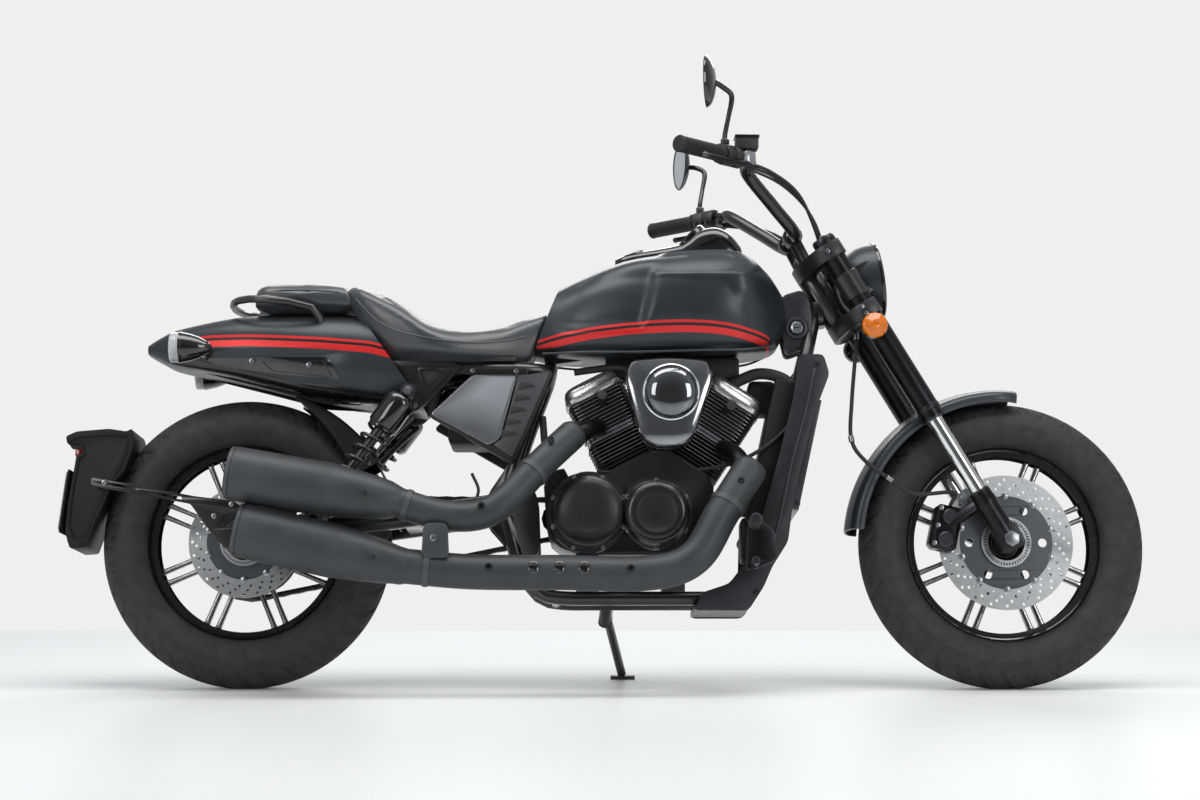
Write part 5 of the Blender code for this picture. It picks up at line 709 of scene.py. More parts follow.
def controls():
    for name, side in bothSides:
        out = barAxis(side)
        start = barPoints(side)[-1] - out * (bars["gripLength"] + 0.003)
        place = steered @ aim(start, -out)
        housing = spun([(0.0148, 0), (0.0215, 0), (0.0232, 0.002), (0.0232, 0.026), (0.0226, 0.027),
            (0.0226, 0.0285), (0.0232, 0.0295), (0.0232, 0.054), (0.0215, 0.057), (0.0148, 0.057)], 36)
        piece("switch_housing_" + name, housing, grainPlastic, place, "control_" + name, 30, body="steering")
        ahead = Vector((0.052, 0, -0.023))
        root = start - out * 0.03 + Vector((0.012, 0, 0))
        tip = barPoints(side)[-1] + ahead - out * 0.004
        route = [root + ahead * 0.55, start + ahead * 0.95, (start + tip + ahead) / 2, tip]
        lever = swept(route, [0.0062, 0.0058, 0.005, 0.0046], 16, 8, 1.35)
        ball = moved(spun([(0, -0.0075), (0.0055, -0.005), (0.0075, 0), (0.0055, 0.005), (0, 0.0075)], 20),
            Matrix.Translation(tip))
        piece("lever_" + name, joined(lever, ball), blackAnodised, steered, sharp=45, body="steering")
        perch = joined(block((0.04, 0.026, 0.03)), block((0.02, 0.034, 0.022), (0.016, 0, -0.004)))
        spot = start - out * 0.04 + Vector((0.024, 0, -0.004))
        turn = aim(spot, (0, 0, 1)) @ turned("Z", side * 42)
        piece("lever_perch_" + name, moved(perch, turn), turnedAluminium if side < 0 else blackAnodised,
            steered, sharp=30, soft=0.004, body="steering")
        for k in range(3):
            spotHere = offset(0, 0, 0.012 + 0.016 * k) @ turned("Z", 200 if side > 0 else -20)
            shape = moved(block((0.01, 0.012, 0.009)), spotHere @ offset(0.0215, 0, 0))
            look = redPaint if side < 0 and k == 0 else glossPlastic
            piece("switch_%s_%d" % (name, k + 1), shape, look, place, soft=0.0012, body="steering")
        if side < 0:
            foot = start - out * 0.045 + Vector((0.023, 0, 0.0145 + 0.015))
            body = moved(block((0.05, 0.036, 0.026)), Matrix.Translation(foot))
            lid = moved(block((0.054, 0.04, 0.006)), Matrix.Translation(foot + Vector((0, 0, 0.015))))
            piece("fluid_reservoir", body, grainPlastic, steered, soft=0.004, body="steering")
            piece("reservoir_lid", lid, glossPlastic, steered, soft=0.0015, body="steering")
            bolts("reservoir_screws", [foot + Vector((x, 0, 0.018)) for x in (-0.019, 0.019)], 0.0035,
                (0, 0, 1), place=steered, body="steering")


mirrorSizes = {"elbow": (1.056, 0.33, 1.27), "head": (1.004, 0.362, 1.282), "turn": 12,
    "half": (0.02, 0.052, 0.056)}


def mirrors():
    for name, side in bothSides:
        m = mirrorSizes
        foot = barPoints(side)[-1] - barAxis(side) * (bars["gripLength"] + 0.003 + 0.01)
        foot.z += 0.0236
        elbow = Vector((m["elbow"][0], side * m["elbow"][1], m["elbow"][2]))
        headSpot = Vector((m["head"][0], side * m["head"][1], m["head"][2]))
        rise = Vector((0, 0, 0.01))
        stem = swept([foot, foot + rise * 2, foot.lerp(elbow, 0.5), elbow - Vector((0, 0, 0.012)),
            elbow.lerp(headSpot, 0.35), headSpot + Vector((0.01, 0, 0))], [0.0065, 0.0055, 0.0052, 0.006,
            0.0062, 0.0062], 20, 8)
        nut = moved(spun([(0.0095, 0), (0.0095, 0.01), (0.0075, 0.012), (0.005, 0.012)], 6),
            Matrix.Translation(foot))
        piece("mirror_stem_" + name, joined(stem, nut), powderCoat, steered, "mirror_" + name, 35,
            body="steering")
        shell = spun([(1, 0), (0.93, 0.3), (0.8, 0.55), (0.55, 0.82), (0.28, 0.96), (0, 1)], 48)
        corner = lambda p: Vector((p.z * m["half"][0] - 0.005,
            m["half"][1] * p.x * (1 + 0.1 * p.y) * (1.06 - 0.06 * abs(p.x) ** 3),
            m["half"][2] * p.y * (1.04 - 0.1 * abs(p.x * p.y))))
        turn = Matrix.Translation(headSpot) @ turned("Z", side * m["turn"])
        edge = [(1, 0), (0.985, -0.1), (0.95, -0.1), (0.945, -0.02)]
        frameRing = spun(edge, 48)
        for shape, look, kind in ((shell, glossPlastic, "shell"), (frameRing, grainPlastic, "edge"),
                (spun([(0.95, -0.03), (0.5, -0.028), (0, -0.028)], 48), mirrorGlass, "glass")):
            piece("mirror_%s_%s" % (kind, name), ([corner(p) for p in shape[0]], shape[1]), look,
                steered @ turn, sharp=40, body="steering")


lamp = {"place": (1.408, 0, 0.9225), "tilt": 8, "radius": 0.087, "depth": 0.085}


def headlamp():
    axis = (cos(radians(lamp["tilt"])), 0, sin(radians(lamp["tilt"])))
    place = steered @ aim(lamp["place"], axis)
    r, d = lamp["radius"], lamp["depth"]
    shares = [(0, 1), (0.2, 0.99), (0.42, 0.935), (0.6, 0.84), (0.75, 0.71), (0.87, 0.53), (0.95, 0.33),
        (0.99, 0.12), (1, 0)]
    outer = [(r * w * 0.995, -d * s) for s, w in shares]
    bowl = spun(outer[::-1] + [(r, 0.002), (r, 0.009), (r - 0.004, 0.011), (r - 0.007, 0.009),
        (r - 0.007, -0.004)], 96)
    piece("headlamp_shell", bowl, satinPaint, place, "headlamp_bowl", 40, body="steering")
    trim = spun([(r - 0.001, 0.0035), (r + 0.0015, 0.005), (r + 0.0015, 0.01), (r - 0.002, 0.0135),
        (r - 0.006, 0.0125), (r - 0.006, 0.006)], 96)
    piece("headlamp_trim", trim, glossPlastic, place, sharp=35, body="steering")
    reflector = spun([(r - 0.008, 0.004), (r * 0.82, -0.008), (r * 0.55, -0.03), (r * 0.3, -0.042),
        (0, -0.046)], 64)
    piece("headlamp_reflector", reflector, chrome, place, sharp=60, body="steering")
    bulb = spun([(0.014, -0.04), (0.016, -0.012), (0.013, -0.004), (0, -0.002)], 32)
    piece("headlamp_bulb_shield", bulb, glossPlastic, place, body="steering")
    lens = spun([(r - 0.006, 0.006), (r * 0.86, 0.0115), (r * 0.62, 0.0165), (r * 0.3, 0.0193), (0, 0.02)],
        96)
    piece("headlamp_glass", lens, clearLens, place, "headlamp_lens", 60, body="steering")
    ears = []
    for side in (-1, 1):
        ears.append(slabAcross([(-0.026, -0.04), (0.03, -0.03), (0.06, 0), (0.052, 0.034), (-0.02, 0.04)],
            0.006, side * 0.0765))
    piece("headlamp_ears", joined(*ears), powderCoat, fork @ offset(0.02, 0, 0.665), soft=0.0015,
        body="steering")
    sleeves = joined(*[moved(spun([(0.0275, -0.03), (0.0295, -0.028), (0.0295, 0.028), (0.0275, 0.03)], 40),
        offset(0, side * 0.103, 0.665)) for side in (-1, 1)])
    piece("headlamp_clamps", sleeves, powderCoat, fork, sharp=35, body="steering")


def slabAcross(outline, thickness, across):
    return moved(slab(rounded(outline, 0.012), thickness), offset(0, across, 0))


def frontIndicators():
    for name, side in bothSides:
        centre = (1.388, side * 0.138, 0.792)
        place = steered @ aim(centre, (0, side, 0))
        rim = spun([(0.01, -0.012), (0.024, -0.01), (0.0295, -0.002), (0.03, 0.006), (0.0285, 0.008)], 48)
        lens = [(0.0285, 0.007), (0.028, 0.016)]
        lens += [(0.0265 - 0.003 * k, 0.019 + 0.0022 * k - 0.0011 * (k % 2)) for k in range(7)] + [(0.004,
            0.0285), (0, 0.028)]
        points, faces = spun(lens, 48)
        for p in points:
            wave = 1 + 0.022 * cos(12 * atan2(p.y, p.x)) * (p.z > 0.015)
            p.x *= wave
            p.y *= wave
        piece("indicator_rim_" + name, rim, glossPlastic, place, sharp=40, body="steering")
        piece("indicator_lens_" + name, (points, faces), amberLens, place, "front_indicator_" + name, 20,
            body="steering")
        target = fork @ Vector((0, side * 0.103, 0.556))
        start = steered @ Vector(centre)
        piece("indicator_stalk_" + name, swept([target, target.lerp(start, 0.5), start],
            [0.0095, 0.0075, 0.009], 20, 6), powderCoat, world, body="steering")


fender = {"radius": 0.35, "wall": 0.0035, "half": 0.074, "drop": 0.03, "front": 84, "rear": 175}


def frontFender():
    f = fender
    steps, arcs = 60, 18
    points, faces = [], []
    for k in range(steps + 1):
        share = k / steps
        turn = radians(f["front"] + (f["rear"] - f["front"]) * share)
        taper = 1 - 0.1 * max(0, (share - 0.75) / 0.25) ** 2 - 0.2 * max(0, (0.1 - share) / 0.1) ** 2
        for wall in (0, f["wall"]):
            for a in range(arcs + 1):
                bend = radians(-90 + 180 * a / arcs)
                rise = max(0, cos(bend)) ** 0.62
                flat = copysign(abs(sin(bend)) ** 0.86, sin(bend))
                across = (f["half"] - wall) * taper * flat
                height = f["radius"] - wall - f["drop"] * (1 - rise) + 0.0025 * (abs(a - arcs / 2) < 1.5)
                points.append(Vector((cos(turn) * height, across, sin(turn) * height)))
    row = 2 * (arcs + 1)
    for k in range(steps):
        for layer in (0, 1):
            for a in range(arcs):
                base = k * row + layer * (arcs + 1) + a
                faces.append((base, base + 1, base + row + 1, base + row))
        for a in (0, arcs):
            base = k * row + a
            faces.append((base, base + row, base + row + arcs + 1, base + arcs + 1))
    for k in (0, steps):
        for a in range(arcs):
            base = k * row + a
            faces.append((base, base + 1, base + arcs + 2, base + arcs + 1))
    piece("front_fender_pressed", (points, faces), satinPaint, frontHub, "front_fender", 45, body="steering")
    for name, side in bothSides:
        stay = slabAcross([(-0.018, -0.022), (0.02, -0.022), (0.03, 0.03), (0.006, 0.052), (-0.02, 0.03)],
            0.006, side * 0.0795)
        bar = block((0.026, 0.028, 0.026), (0, side * 0.089, 0))
        piece("fender_stay_" + name, joined(stay, bar), castBlack, fork @ offset(0, 0, 0.33), soft=0.002,
            body="steering")
        bolts("fender_bolts_" + name, [(0.012, side * 0.0825, 0.352), (-0.006, side * 0.0825, 0.318)],
            0.0055, (0, side, 0), place=fork, body="steering")


caliper = {"turn": 167.6, "reach": 0.14, "across": -0.0625}


def frontCaliper():
    refined("front_caliper", blackAnodised, 0.003, 30, body="steering")
    place = frontHub @ turned("Y", -caliper["turn"]) @ offset(caliper["reach"], caliper["across"], 0)
    pistons = joined(*[moved(spun([(0.0165, 0), (0.0165, 0.002), (0.014, 0.004), (0, 0.004)], 28),
        aim((-0.004, -0.0285, z), (0, -1, 0))) for z in (-0.026, 0.026)])
    piece("caliper_pistons", pistons, blackAnodised, place, sharp=30, body="steering")
    bolts("caliper_bolts", [(0.02, -0.0285, z) for z in (-0.04, 0, 0.04)], 0.0058, place=place,
        body="steering")


hose = {"route": ((0.5825, -0.06, -0.045), (0.56, -0.06, -0.045), (0.446, -0.09, -0.132),
    (0.37, -0.104, -0.183), (0.313, -0.112, -0.184), (0.251, -0.112, -0.158), (0.196, -0.104, -0.128)),
    "radius": 0.0045}


def brakeHose():
    # The route is the solid's own: up the fork, across, ahead of its plane.
    route = [fork @ Vector((ahead, across, up)) for up, across, ahead in hose["route"]]
    swing = radians(caliper["turn"])
    out = Vector((cos(swing), 0, sin(swing)))
    lift = Vector((out.z, 0, -out.x))
    end = out * caliper["reach"] + Vector((0, caliper["across"] - 0.058 * 0.36, 0)) + lift * (0.05 + 0.0003)
    route += [frontHub @ (end + lift * 0.03), frontHub @ end]
    thing = piece("brake_hose_fine", swept(route, hose["radius"], 16, 10), gripRubber, world, "brake_hose",
        60, body="steering")
    line = smoothRoute(route, 10)
    collars = []
    for k in (9, 30, 50):
        ahead = (line[k + 1] - line[k - 1]).normalized()
        collars.append(moved(spun([(0.0045, -0.008), (0.0062, -0.007), (0.0062, 0.007), (0.0045, 0.008)],
            20), aim(line[k], ahead)))
    piece("hose_collars", joined(*collars), zincSteel, world, body="steering")


forkLegs()
yokes()
handlebar()
controls()
mirrors()
headlamp()
frontIndicators()
frontFender()
frontCaliper()
brakeHose()
print("fork, lamp and bars made")

# Engine, with its banks laid out along their own axes: x forward, y left, z up the bank

engine = {"crank": (0.915, 0.385), "rear": -27, "front": 33, "base": 0.128, "barrel": 0.085,
    "headLength": 0.088, "finLength": 0.14, "finWidth": 0.168, "core": 0.104, "finPitch": 0.0082,
    "finThick": 0.0022, "caseHalf": 0.115}


def bankPlace(which):
    return bike @ offset(engine["crank"][0], 0, engine["crank"][1]) @ turned("Y", engine[which])


def oblong(length, width, corner):
    x, y = length / 2, width / 2
    return rounded([(-x, -y), (x, -y), (x, y), (-x, y)], corner)


def roundedBlock(length, width, thick, corner):
    # A flat plate in x and y with rounded corners, thick along z.
    outline = oblong(length, width, corner)
    count = len(outline)
    points = [Vector((x, y, s * thick / 2)) for s in (-1, 1) for x, y in outline]
    faces = [tuple(reversed(range(count))), tuple(range(count, 2 * count))]
    faces += [(k, (k + 1) % count, (k + 1) % count + count, k + count) for k in range(count)]
    return points, faces


def bank(which):
    e = engine
    place = bankPlace(which)
    top = e["base"] + e["barrel"] + e["headLength"]
    count = int((top - e["base"]) / e["finPitch"])
    fins, edges = [], []
    for k in range(count):
        z = e["base"] + e["finPitch"] * (k + 0.5)
        onHead = z > e["base"] + e["barrel"]
        if abs(z - (e["base"] + e["barrel"])) < e["finPitch"] * 0.9:
            thick, shrink = e["finPitch"] * 0.9, 0.012      # the joint between barrel and head
        else:
            thick, shrink = e["finThick"], 0.004 if onHead else 0
        size = (e["finLength"] - shrink, e["finWidth"] - shrink)
        at = offset(0, 0, z)
        fins.append(moved(roundedBlock(size[0], size[1], thick, 0.024), at))
        if z > e["base"] + 0.3 * e["barrel"]:
            edges.append(moved(spunLoop(size, thick * 0.62, 0.024), at))
    core = moved(roundedBlock(e["core"], e["core"], top - e["base"], 0.03),
        offset(0, 0, (top + e["base"]) / 2))
    headCore = moved(roundedBlock(e["core"] + 0.012, e["finWidth"] - 0.03, e["headLength"], 0.02),
        offset(0, 0, top - e["headLength"] / 2))
    piece(which + "_cylinder_fins", joined(core, headCore, *fins), castBlack, place, which + "_cylinder", 30)
    piece(which + "_fin_edges", joined(*edges), turnedAluminium, place, sharp=30)
    plug = moved(spun([(0.012, 0), (0.012, 0.01), (0.008, 0.014), (0.008, 0.045), (0.0105, 0.047),
        (0.0105, 0.062), (0, 0.064)], 24), aim((0, -0.062, top - 0.035), (0.15, -1, 0.35)))
    piece(which + "_plug_cap", plug, gripRubber, place, sharp=35)


def spunLoop(size, thick, corner, proud=0.0004, wide=0.0016):
    # A thin bright band round a fin's edge.
    halves = []
    for grow in (proud, proud - wide):
        halves.append(oblong(size[0] + 2 * grow, size[1] + 2 * grow, corner + grow))
    count = len(halves[0])
    points = [Vector((x, y, s * thick / 2)) for s in (-1, 1) for outline in halves for x, y in outline]
    faces = []
    for k in range(count):
        n = (k + 1) % count
        faces += [(k, n, 2 * count + n, 2 * count + k), (k, count + k, count + n, n),
            (2 * count + k, 2 * count + n, 3 * count + n, 3 * count + k),
            (count + k, 3 * count + k, 3 * count + n, count + n)]
    return points, faces


def rockerCover(which):
    e = engine
    start = e["base"] + e["barrel"] + e["headLength"]
    place = bankPlace(which)
    rings = []
    length, width = e["finLength"], e["finWidth"] * 0.92
    for lift, share in ((0, 0.97), (0.004, 1), (0.012, 1), (0.014, 0.95), (0.026, 0.93), (0.034, 0.86),
            (0.039, 0.74), (0.0415, 0.55), (0.042, 0.25)):
        ring = oblong(length * share, width * share, 0.03 * share)
        rings.append([Vector((x, y, start + lift)) for x, y in ring])
    piece(which + "_rocker_cover_cast", skinned(rings), satinNickel, place, which + "_rocker_cover", 50)
    spots = [(x, y, start + 0.012) for x in (-0.061, 0.061) for y in (-0.048, 0, 0.048)]
    bolts(which + "_rocker_bolts", spots, 0.0055, (0, 0, 1), place=place)


# black lacquer over a polished casting, with broad soft highlights
blackLacquer = finish("lacquered_black_casting", "engine_black", "#292b2d", "#323436", 0.3, metal=0.55,
    coat=0.45, coatRough=0.16, mottleMm=60, edge="#3a3b3e", grain=(1.4, 0.03, 0.25))


def domed(cap, deep):
    # A low dome with a soft shoulder.
    return [(cap * cos(a) ** 0.9, deep * (0.7 + 0.34 * sin(a))) for a in [radians(9 * k) for k in range(1,
        10)]] + [(0, deep * 1.04)]


def flatTopped(cap, deep):
    # A chamfered rim round a shallow flat face.
    return [(cap - 0.002, deep * 0.84), (cap - 0.007, deep * 0.915), (cap - 0.013, deep * 0.95),
        (cap - 0.018, deep * 0.945), (cap * 0.62, deep * 0.985), (cap * 0.4, deep * 1.01),
        (cap * 0.2, deep * 1.025), (0, deep * 1.03)]


covers = {"clutch": {"at": (0.762, 0.382), "outer": 0.09, "cap": 0.076, "deep": 0.0533, "crown": domed},
    "generator": {"at": (0.912, 0.379), "outer": 0.08, "cap": 0.069, "deep": 0.062, "crown": flatTopped}}


def engineCovers():
    refined("crankcase", castBlack, 0.004, 35)
    for side in (-1, 1):
        tag = "right" if side < 0 else "left"
        for name, c in covers.items():
            spot = (c["at"][0], side * engine["caseHalf"], c["at"][1])
            place = bike @ aim(spot, (0, side, 0))
            deep, cap, outer = c["deep"], c["cap"], c["outer"]
            profile = [(outer, -0.004), (outer + 0.001, deep * 0.2), (outer - 0.002, deep * 0.31),
                (cap + 0.006, deep * 0.32), (cap + 0.003, deep * 0.4), (cap + 0.0005, deep * 0.74)]
            profile += c["crown"](cap, deep)
            piece("%s_cover_%s" % (name, tag), spun(profile, 96), blackLacquer, place, sharp=24)
            count = 8 if name == "clutch" else 6
            spots = [((outer - 0.006) * cos(a), (outer - 0.006) * sin(a), deep * 0.31) for a in around(count,
                pi / count)]
            bolts("%s_cover_bolts_%s" % (name, tag), spots, 0.0052, (0, 0, 1), place=place)


shield = {"at": (0.94, 0.622), "width": 0.196, "height": 0.202, "face": 0.176, "deep": 0.058,
    "corners": ((-0.3, -0.5), (0.24, -0.5), (0.5, 0.28), (0.44, 0.46), (0, 0.5), (-0.44, 0.46),
    (-0.5, 0.28)), "dome": (0.944, 0.642)}


def shieldRing(grow, across):
    corners = [(x * shield["width"] * grow, z * shield["height"] * grow) for x, z in shield["corners"]]
    outline = rounded(corners, shield["height"] * 0.22 * grow, 8)
    return [Vector((shield["at"][0] + x, across, shield["at"][1] + z)) for x, z in outline]


def airCleaner():
    s = shield
    face = -s["face"]
    levels = [(0.97, 0.058), (0.995, 0.054), (0.995, 0.036), (0.97, 0.034), (0.97, 0.03), (1, 0.028),
        (1, 0.014), (0.985, 0.008), (0.955, 0.004), (0.935, 0.0036)]
    rings = [shieldRing(grow, face + depth) for grow, depth in levels]
    points, faces = skinned(rings)
    faces.append(tuple(range(len(rings[0]))))
    intake = block((0.086, 0.122, 0.086), (s["at"][0] - 0.004, -0.061, s["at"][1] + 0.016))
    piece("air_cleaner_shell", (points, faces), chrome, stands="air_cleaner", sharp=28)
    bowls = [(0.935, 0.0032), (0.86, 0.0012), (0.74, -0.0012), (0.58, -0.0032), (0.4, -0.0046),
        (0.2, -0.0054)]
    bowl = skinned([shieldRing(grow, face + depth) for grow, depth in bowls])
    # the face's chrome colour is darkened: painted dark reflection
    piece("air_cleaner_face", bowl, chromePlatingPaintedDark, sharp=60)
    piece("air_cleaner_intake", intake, castBlack, soft=0.004)
    place = bike @ aim((s["dome"][0], face + 0.002, s["dome"][1]), (0, -1, 0))
    ring = spun([(0.064, -0.002), (0.064, 0.004), (0.0625, 0.0065), (0.06, 0.0075), (0.058, 0.0062),
        (0.0575, 0.003)], 96)
    piece("air_cleaner_ring", ring, chrome, place, sharp=45)
    dome = spun([(0.0578, 0.003), (0.056, 0.0085), (0.05, 0.0145), (0.04, 0.019), (0.027, 0.0222),
        (0.013, 0.0238), (0, 0.0242)], 96)
    # the dome's chrome colour is darkened: painted dark reflection
    piece("air_cleaner_dome", dome, chromeDomePaintedDark, place, sharp=60)
    base = spun([(0.0575, -0.001), (0.0575, 0.0005), (0, 0.0005)], 64)
    piece("air_cleaner_backing", base, glossPlastic, place)


# chrome of the air cleaner's dome, and of the plating round it, with its colour darkened to grey: painted
# dark reflection of the room
chromeDomePaintedDark = finish("chrome_dome_painted_dark_reflection", "chrome", "#77797c", "#6d6f72", 0.05, roughSpread=0.02, metal=1,
    mottleMm=40)
chromePlatingPaintedDark = finish("chrome_plating_painted_dark_reflection", "chrome", "#a2a4a8", "#999b9f", 0.08, roughSpread=0.02,
    metal=1, mottleMm=60)

exhausts = {"upper": {"muffler": ((-0.015, -0.256, 0.455), (0.34, -0.256, 0.394)), "radius": 0.033,
    "port": (0.785, 0.575), "route": ((0.34, -0.256, 0.394), (0.443, -0.252, 0.364), (0.525, -0.245, 0.364),
    (0.583, -0.235, 0.396), (0.657, -0.2, 0.478), (0.722, -0.16, 0.545))},
    "lower": {"muffler": ((0.005, -0.256, 0.333), (0.356, -0.256, 0.254)), "radius": 0.038,
    "port": (1.06, 0.53), "route": ((0.356, -0.256, 0.254), (0.509, -0.252, 0.241), (0.7, -0.245, 0.24),
    (0.896, -0.235, 0.24), (0.993, -0.225, 0.275), (1.053, -0.2, 0.373), (1.112, -0.168, 0.466))}}
mufflerRadius = 0.059


def exhaust(name):
    e = exhausts[name]
    rear, front = Vector(e["muffler"][0]), Vector(e["muffler"][1])
    length = (rear - front).length
    place = aim(front, rear - front)
    r, bore = mufflerRadius, 0.0265
    profile = [(e["radius"] - 0.002, -0.02), (e["radius"] + 0.002, -0.01), (r * 0.7, 0.006),
        (r * 0.78, 0.03), (r * 0.9, 0.085), (r * 0.972, 0.128), (r * 0.975, 0.134), (r * 1, 0.136),
        (r * 1, length * 0.955), (r * 0.99, length * 0.965), (r * 0.965, length * 0.967),
        (r * 0.965, length * 0.972), (r * 0.985, length * 0.975), (r * 0.97, length * 0.992),
        (r * 0.9, length), (bore + 0.006, length), (bore + 0.002, length + 0.002), (bore, length),
        (bore - 0.002, length - 0.03), (0, length - 0.04)]
    piece("muffler_" + name, spun(profile, 96), heatPaint, bike @ place, "exhaust_" + name, 30)
    route = [Vector(p) for p in e["route"]]
    tail = Vector((e["port"][0], -engine["finWidth"] / 2 - 0.0003, e["port"][1]))
    sizes = [e["radius"]] * len(route)
    ahead = (route[-1] - route[-2]).normalized()
    crown = [(0.012, 0.97), (0.02, 0.86), (0.024, 0.72)]
    pipe = swept(route + [route[-1] + ahead * reach for reach, _ in crown],
        sizes + [e["radius"] * share for _, share in crown], 48, 10)
    piece("exhaust_pipe_" + name, pipe, heatPaint, sharp=50, soft=0.0022)
    elbow = swept([route[-1].lerp(route[-2], 0.15), (route[-1] + tail) / 2 + Vector((0.004, -0.006, 0.004)),
        tail], [0.024, 0.022, 0.021], 28, 6)
    piece("exhaust_elbow_" + name, elbow, blackAnodised, sharp=50)
    # heat shields end in stepped collars
    collars = []
    line = smoothRoute(route, 10)
    for at in ((3, 38) if name == "upper" else (4, 52)):
        ahead = (line[at + 1] - line[at - 1]).normalized()
        w = e["radius"]
        collars.append(moved(spun([(w - 0.001, -0.007), (w + 0.0022, -0.006), (w + 0.0026, 0),
            (w + 0.0022, 0.006), (w - 0.001, 0.007)], 48), aim(line[at], ahead)))
    piece("exhaust_collars_" + name, joined(*collars), heatPaint, sharp=40)


def exhaustDetails():
    # Round black plugs on the lower pipe, the shared hanger plate and its bolts.
    for k, x in enumerate((0.646, 0.701, 0.754)):
        place = bike @ aim((x, -0.284 + 0.0022 * k, 0.2475), (0, -1, 0))
        plug = spun([(0.0135, -0.004), (0.0135, 0.001), (0.0118, 0.0022), (0.01, 0.001), (0, 0.001)], 36)
        piece("pipe_plug_%d" % (k + 1), plug, glossPlastic, place, sharp=35)
    hanger = slab(rounded([(-0.03, -0.036), (0.03, -0.036), (0.026, 0.04), (-0.026, 0.04)], 0.016), 0.008)
    piece("muffler_hanger", moved(hanger, offset(0.436, -0.2875, 0.303)), heatPaint, soft=0.003)
    bolts("hanger_bolts", [(0.432, -0.2915, 0.31)], 0.0085)
    spots = [(0.681, -0.213, 0.5313), (0.533, -0.275, 0.3816), (0.55, -0.287, 0.2493),
        (0.854, -0.275, 0.2476), (1.094, -0.213, 0.4425), (0.285, -0.312, 0.405), (0.305, -0.3118, 0.268)]
    bolts("shield_bolts", spots[:5], 0.0078, surface=blackAnodised)
    bolts("muffler_rivets", spots[5:], 0.005, surface=blackAnodised)


for which in ("rear", "front"):
    bank(which)
    rockerCover(which)
engineCovers()
airCleaner()
for name in exhausts:
    exhaust(name)
exhaustDetails()
print("engine and exhaust made")

# Tank, pod, seats and tail: sections across the bike, smoothed both ways

sections = {"tank": ((0.55, 0), (0.82, 0.07), (0.97, 0.28), (1, 0.47), (0.93, 0.71), (0.72, 0.89),
    (0.38, 0.975), (0, 1)), "pad": ((0.82, 0), (0.96, 0.12), (1, 0.38), (0.97, 0.66), (0.84, 0.87),
    (0.52, 0.98), (0, 1))}
# low forward, top forward, low height, top height, half width
bodies = {"tank": {"rear": 0.64, "long": 0.565, "base": 0.736, "tall": 0.252, "half": 0.158,
    "section": "tank", "rows": ((0, 0.103, 0.04, 0.65, 0.6), (0.1, 0.19, 0.01, 0.74, 0.8),
    (0.26, 0.3, 0, 0.85, 0.94), (0.44, 0.44, 0, 0.935, 1), (0.74, 0.72, 0.03, 0.99, 0.97),
    (0.87, 0.84, 0.05, 0.95, 0.8), (0.955, 0.93, 0.1, 0.8, 0.55), (0.995, 0.995, 0.25, 0.58, 0.3))},
    "pod": {"rear": 0.822, "long": 0.295, "base": 0.93, "tall": 0.113, "half": 0.056, "section": "pad",
    "rows": ((0, 0, 0, 0.36, 0.45), (0.12, 0.12, 0, 0.47, 0.7), (0.44, 0.44, 0, 0.62, 0.8),
    (0.54, 0.54, 0, 0.72, 0.9), (0.66, 0.64, 0, 0.93, 1), (0.78, 0.77, 0, 1, 1), (0.9, 0.88, 0, 0.88, 0.9),
    (1, 0.96, 0, 0.62, 0.72))}, "seat": {"rear": 0.205, "long": 0.433, "base": 0.7223, "tall": 0.184,
    "half": 0.16, "section": "pad", "rows": ((0.235, 0.02, 0, 0.93, 0.68), (0.32, 0.1, 0, 1, 0.88),
    (0.44, 0.28, 0, 0.78, 1), (0.56, 0.46, 0, 0.49, 1), (0.66, 0.62, 0, 0.39, 0.92),
    (0.82, 0.82, 0, 0.45, 0.72), (0.93, 0.96, 0, 0.6, 0.6), (0.985, 1.07, 0.02, 0.7, 0.52))},
    "pillion": {"rear": 0.013, "long": 0.2255, "base": 0.8393, "tall": 0.064, "half": 0.112,
    "section": "pad", "rows": ((0, 0.03, 0, 0.86, 0.8), (0.14, 0.14, 0, 1, 0.97), (0.55, 0.55, 0, 1, 1),
    (0.8, 0.8, 0, 0.97, 0.98), (0.995, 0.91, 0, 0.92, 0.94))}, "tail": {"rear": -0.23, "long": 0.593,
    "base": 0.615, "tall": 0.224, "half": 0.136, "section": "tank", "rows": ((0, 0, 0.6, 0.7, 0.22),
    (0.05, 0.05, 0.53, 0.78, 0.38), (0.12, 0.12, 0.45, 0.86, 0.54), (0.3, 0.3, 0.36, 0.96, 0.77),
    (0.45, 0.45, 0.27, 1, 0.9), (0.7, 0.7, 0.12, 1, 1), (1.06, 0.8, 0, 1, 1))}}


def smoothRows(rows, steps):
    ends = [rows[0]] + list(rows) + [rows[-1]]
    out = []
    for k in range(1, len(ends) - 2):
        a, b, c, d = ends[k - 1:k + 3]
        for s in range(steps):
            t = s / steps
            out.append([0.5 * (2 * q + (r - p) * t + (2 * p - 5 * q + 4 * r - w) * t * t
                + (3 * q - p - 3 * r + w) * t ** 3) for p, q, r, w in zip(a, b, c, d)])
    out.append(list(rows[-1]))
    return out


